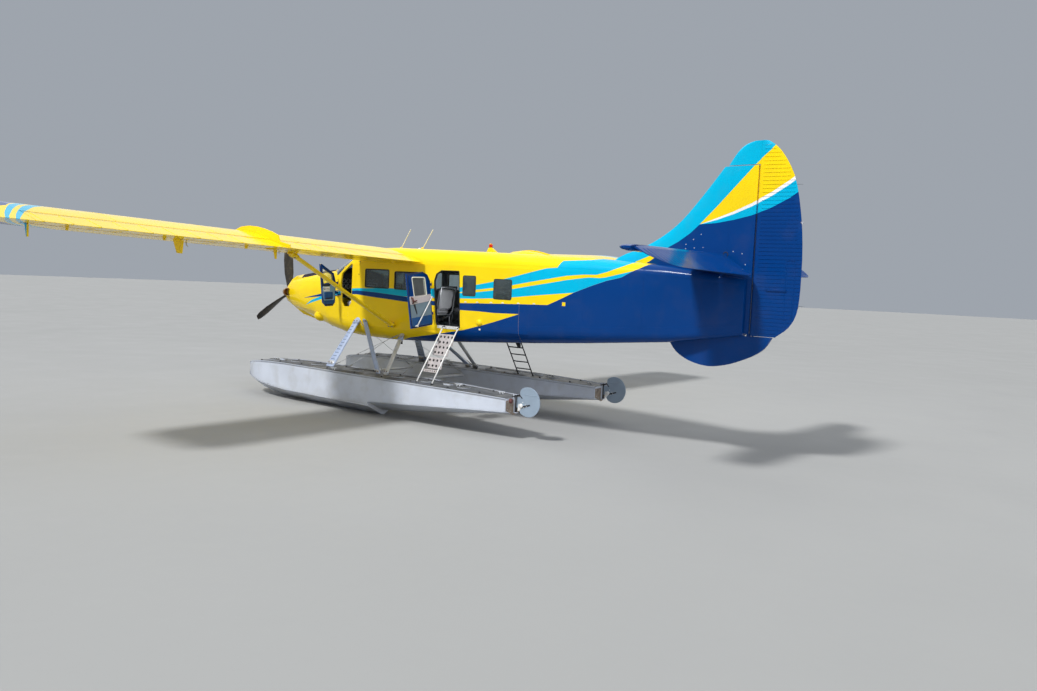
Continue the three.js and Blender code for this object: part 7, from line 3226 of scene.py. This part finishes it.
@dataclass
class Tail:
    """The tail's ribs, beads, rivets, trim tabs and lamp."""

    bead_seam: Seam = Seam(0.016, 0.005, 0.06)
    bead_heights: tuple = (2.14, 5.14)
    bead_pitch: float = 0.062
    bead_stations: tuple = (12.26, 12.94)
    hinge_row: tuple = (12.27, 2.2, 5.1)
    seal: tuple = (2.15, 4.75)
    seal_pitch: float = 0.13
    seal_least: float = 0.02
    seal_station: float = 12.1
    keel_seal: tuple = (((12.55, -0.02, 2.066), (12.13, 0.02, 2.073)),
                        ((12.13 + 0.06, -0.015, 2.068), (12.13, 0.015, 2.112)))
    fin_seam: Seam = Seam(0.024, 0.0016, 0.055, 0.006, 0.0024)
    fin_heights: tuple = (3.1, 4.75)
    fin_stations: tuple = (9.3, 12.14)
    fin_laps: tuple = (12.12, 11.73)
    root_seam: Seam = Seam(0.02, 0.0, 0.16, 0.008, 0.004)
    root_rows: tuple = (((10.25, 3.42), (11.35, 3.5)), ((11.75, 3.45), (12.1, 3.38)),
                        ((12.02, 3.3), (12.1, 3.1)), ((10.9, 3.5), (11.3, 3.75)))
    ventral_seam: Seam = Seam(0.02, 0.0016, 0.05)
    ventral_margins: tuple = (0.15, 0.12, 0.03)
    pivot_place: tuple = (11.7, 3.385)
    pivot_cover: tuple = ((0.045, 0.0), (0.045, 0.008), (0.036, 0.01), (0.034, 0.003), (0.008, 0.002))
    plane_seam: Seam = Seam(0.016, 0.003, 0.055)
    plane_ribs: tuple = (("tailplane", "airframe", 11.2, 11.6, 0.2, 2.75, 0.3),
                         ("elevator", "elevator", 11.76, 12.4, 0.36, 2.85, 0.1))
    tab: tuple = ((12.72, 2.36), (12.86, 2.42), (12.86, 3.3), (12.72, 3.3))
    tab_seam: Seam = Seam(0.008, 0.0045)
    rod: tuple = ((12.42, 2.84), (12.74, 2.84))
    lamp_height: float = 3.9
    lamp: tuple = ((0.018, 0.0), (0.018, 0.02), (0.012, 0.034), (0.004, 0.038))
    wicks: tuple = (2.6, 4.5)

    def build(self, finish: Finish) -> None:
        """Builds the tail's details.

        Args:
            finish: the shared finishes.
        """
        beads = Riveting("rudder", ("rudder",), finish.tail, self.bead_seam, "rudder")
        station, low, high = self.hinge_row
        for sign in SIGNS:
            for z in steps(*self.bead_heights, self.bead_pitch):
                self.bead(beads, [beads.skin.side(s, z, sign) for s in steps(*self.bead_stations, 0.085)])
            beads.row([beads.skin.side(station, z, sign) for z in steps(low, high, 0.1)])
        beads.build()
        self.fin(finish)
        self.ventral(finish)
        self.pivot_covers(finish)
        self.planes(finish)
        self.tabs(beads.skin, finish)
        self.lamp_and_wicks(beads.skin, finish)
        self.gap_seal(finish)

    def bead(self, skin: Riveting, line: Sequence[Contact | None]) -> list[Contact]:
        """A raised bead with no rivets.

        Args:
            skin: the skin that it lies on.
            line: the contacts that it runs through, or None where there is none.

        Returns:
            The contacts that it found.
        """
        kept = [spot for spot in line if spot]
        if len(kept) > 1:
            skin.seam.strip(skin.strips, kept)
        return kept

    def behind(self, skin: Skin, z: float) -> Vector:
        """The rearmost place of a skin on the middle plane, at a height."""
        return skin.drop(at(13.4, 0.0, z), AHEAD, 2.0).place

    def gap_seal(self, finish: Finish) -> None:
        """The dark seal on the fin's rear face, ahead of the rudder.

        Args:
            finish: the shared finishes.
        """
        skin = Skin("fin", "rear_fuselage")
        seal = Shape()
        rings = []
        for z in steps(*self.seal, self.seal_pitch):
            place = self.behind(skin, z)
            half = max(self.seal_least, abs(skin.side(self.seal_station, z, 1).place.y) - 0.002)
            rings.append([place + Vector((a, b, 0)) for a, b in (
                (0.002, -half), (-0.003, -half), (-0.003, half), (0.002, half))])
        seal.loft(rings, smooth=False)
        for near, far in self.keel_seal:
            seal.block(at(*near), at(*far))
        seal.build("rudder_gap_seal", finish.tail)

    def fin(self, finish: Finish) -> None:
        """The fin's rivets, its lap strips and the bright screws at its root.

        Args:
            finish: the shared finishes.
        """
        fin = Riveting("fin", ("fin",), finish.tail, self.fin_seam)
        for sign in SIGNS:
            for z in steps(*self.fin_heights, 0.33):
                fin.row([fin.skin.side(s, z, sign) for s in steps(*self.fin_stations, 0.1)])
            for station in self.fin_laps:
                fin.row([fin.skin.side(station, z, sign) for z in steps(3.0, 4.8, 0.1)], lapped=True)
        fin.build()
        root = Riveting("fin_root", ("fin",), finish.white, self.root_seam)
        for sign in SIGNS:
            for start, end in self.root_rows:
                root.row(root.skin.side_line(start, end, sign))
        root.build()

    def ventral(self, finish: Finish) -> None:
        """The ventral fin's rivet rows.

        Args:
            finish: the shared finishes.
        """
        ventral = Riveting("ventral_fin", ("ventral_fin",), finish.tail, self.ventral_seam)
        (tail, _, low), (nose, _, high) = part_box("ventral_fin")
        ahead, aft, edge = self.ventral_margins
        for sign in SIGNS:
            for s in steps(HALF_LENGTH - nose + ahead, HALF_LENGTH - tail - aft, 0.28):
                ventral.row([ventral.skin.drop(at(s, sign, z), (0, -sign, 0), 1.2)
                             for z in steps(low + edge, high - edge, 0.06)])
        ventral.build()

    def pivot_covers(self, finish: Finish) -> None:
        """The tailplane pivot's cover on each side of the fin.

        Args:
            finish: the shared finishes.
        """
        skin = Skin("fin")
        cover = Shape()
        for sign in SIGNS:
            spot = skin.side(*self.pivot_place, sign)
            cover.disc(spot.over(-0.004), spot.normal, self.pivot_cover, 20)
        cover.build("tailplane_pivot_covers", finish.black)

    def planes(self, finish: Finish) -> None:
        """The tailplanes' and elevators' ribs.

        Args:
            finish: the shared finishes.
        """
        for side in Side:
            for part, body, first, last, low, high, pitch in self.plane_ribs:
                name = f"{part}_{side.label}"
                plane = Riveting(name, (name,), finish.tail, self.plane_seam, body)
                for y in steps(low, high, pitch):
                    for cast in (plane.skin.top, plane.skin.under):
                        line = self.bead(plane, [cast(s, side.value * y) for s in steps(first, last, 0.07)])
                        if len(line) > 1:
                            plane.seam.rivet_row(plane.rivets, line[:2])
                plane.build()

    def tabs(self, skin: Skin, finish: Finish) -> None:
        """The rudder's trim tab outline with its pushrod.

        Args:
            skin: the rudder's skin.
            finish: the shared finishes.
        """
        rods, tab = Shape(), Shape()
        for sign in SIGNS:
            for start, end in zip(self.tab, [*self.tab[1:], self.tab[0]]):
                kept = [spot for spot in skin.side_line(start, end, sign, 0.125) if spot]
                if len(kept) > 1:
                    self.tab_seam.strip(tab, kept)
            first, last = (skin.side(s, z, sign) for s, z in self.rod)
            rods.tube([first.place, first.over(0.03), last.over(0.03), last.place], 0.006, 6)
        rods.build("rudder_tab_rods", finish.navy, "rudder")
        tab.build("rudder_tab_edges", finish.tail, "rudder")

    def lamp_and_wicks(self, skin: Skin, finish: Finish) -> None:
        """The tail lamp and the static wicks on the rudder's trailing edge.

        Args:
            skin: the rudder's skin.
            finish: the shared finishes.
        """
        lamp, wicks = Shape(), Shape()
        lamp.disc(self.behind(skin, self.lamp_height) + AHEAD * 0.012, AFT, self.lamp, 14)
        lamp.build("tail_lamp", finish.clear_lens, "rudder")
        for z in self.wicks:
            place = self.behind(skin, z)
            wicks.tube([place + AHEAD * 0.01, place - Vector((0.1, 0, 0.006))], [0.003, 0.0016], 6)
        wicks.build("rudder_wicks", finish.black, "rudder")


@dataclass
class RoofFittings:
    """The beacon's lens, the aerials' feet on the roof and the aerials under the belly."""

    beacon: tuple = (6.61, 3.442)
    lens: tuple = ((0.038, 0.0), (0.038, 0.045), (0.03, 0.066), (0.016, 0.078), (0.004, 0.082))
    feet: tuple = (4.02, 4.67)
    foot: tuple = ((0.045, 0.0), (0.045, 0.006), (0.03, 0.012), (0.012, 0.03))
    aerials: tuple = ((4.1, 0.0, 0.16), (5.6, 0.15, 0.09), (7.4, 0.0, 0.13))
    aerial_half: tuple = (0.07, 0.01)

    def build(self, finish: Finish) -> None:
        """Builds the fittings.

        Args:
            finish: the shared finishes.
        """
        lens, feet, belly = Shape(), Shape(), Shape()
        station, height = self.beacon
        lens.disc(at(station, 0, height), UP, self.lens, 20)
        lens.build("beacon_lens", finish.red_lens)
        roof = Skin("cabin_roof")
        for station in self.feet:
            feet.disc(roof.top(station, 0.06).place - UP * 0.002, UP, self.foot, 16)
        feet.build("aerial_feet", finish.white)
        skin = Skin("cabin_belly")
        along, across = self.aerial_half
        section = rounded(rectangle((-along, -across), (along, across)), 0.009, 3)
        for station, y, drop in self.aerials:
            foot = skin.under(station, y, 0.5).place + UP * 0.01
            belly.loft([[foot + Vector((a, b, 0)) for a, b in section],
                        [foot + Vector((a * 0.5 - 0.05, b * 0.6, -drop)) for a, b in section]])
        belly.build("belly_aerials", finish.black)


def dress_nodes(finish: Finish) -> None:
    """Gives each CAD node its finish.

    Args:
        finish: the shared finishes.
    """
    fuselage = ["nose_cowl", "cockpit_shell", "cabin_belly", "cabin_roof", "rear_fuselage",
                "crew_door_starboard", "cabin_door_starboard", *both_sides("cabin_side")]
    tail = ["fin", "ventral_fin", "rudder", *both_sides("tailplane"), *both_sides("elevator")]
    groups = (
        (finish.fuselage, fuselage),
        (finish.tail, tail),
        (finish.wing, [*both_sides("wing"), *both_sides("flap"), *both_sides("aileron")]),
        (finish.yellow, both_sides("wing_strut")),
        (finish.float_paint, both_sides("float")),
        (finish.strut_blue, [*both_sides("float_front_strut"), *both_sides("float_diagonal_strut")]),
        (finish.aluminium, [*both_sides("float_rear_strut"), "spreader_bar_front", "spreader_bar_rear"]),
        (finish.rudder_grey, both_sides("water_rudder")),
        (finish.bronze, both_sides("exhaust_stub")),
        (finish.engine, ["engine_block"]),
        (finish.dark_glass, [*both_sides("windscreen"),
                             *(name for k in range(1, 5) for name in both_sides(f"window_{k}"))]),
        (finish.lining, ["cabin_floor"]),
        (finish.black, ["instrument_panel"]),
        (finish.propeller, ["propeller"]),
        (finish.fabric, ["pilot_seats", *both_sides("cabin_seats")]),
        (finish.white, both_sides("ladder")),
    )
    for material, nodes in groups:
        for node in nodes:
            SKINNING.dress(node, material)
    for node, hinge in (("crew_door_port", CREW_HINGE), ("cabin_door_port", CABIN_HINGE)):
        paint = AircraftPaint(f"{node}_paint", Scheme.FUSELAGE, hinge=hinge, lining=PALETTE.navy)
        SKINNING.dress(node, paint.make())


LADDERS = (
    Ladder(Side.PORT, ((6.22, 0.895, 1.836), (6.62, 0.895, 1.836)), ((6.3, 1.69, 0.765), (6.7, 1.69, 0.765)),
           perforated=True),
    Ladder(Side.STARBOARD, ((6.22, -0.895, 1.836), (6.62, -0.895, 1.836)),
           ((6.45, -1.3, 0.765), (6.85, -1.3, 0.765)), perforated=False),
)


def main() -> None:
    """Builds the scene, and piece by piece."""
    logging.basicConfig(level=logging.INFO, format="%(message)s")
    Camera().build()
    Studio().build()
    finish = Finish()
    dress_nodes(finish)
    for assembly in (Windows(), Doors(), Doorway(), Cockpit(), FuselageSkin(), Seats(), FlightDeck(),
                     CabinFittings(), *LADDERS, Floats(), WaterRudders(), Struts(), Nose(), Wings(), Tail(),
                     RoofFittings()):
        log.info("building %s", type(assembly).__name__)
        assembly.build(finish)


if __name__ == "__main__":
    main()
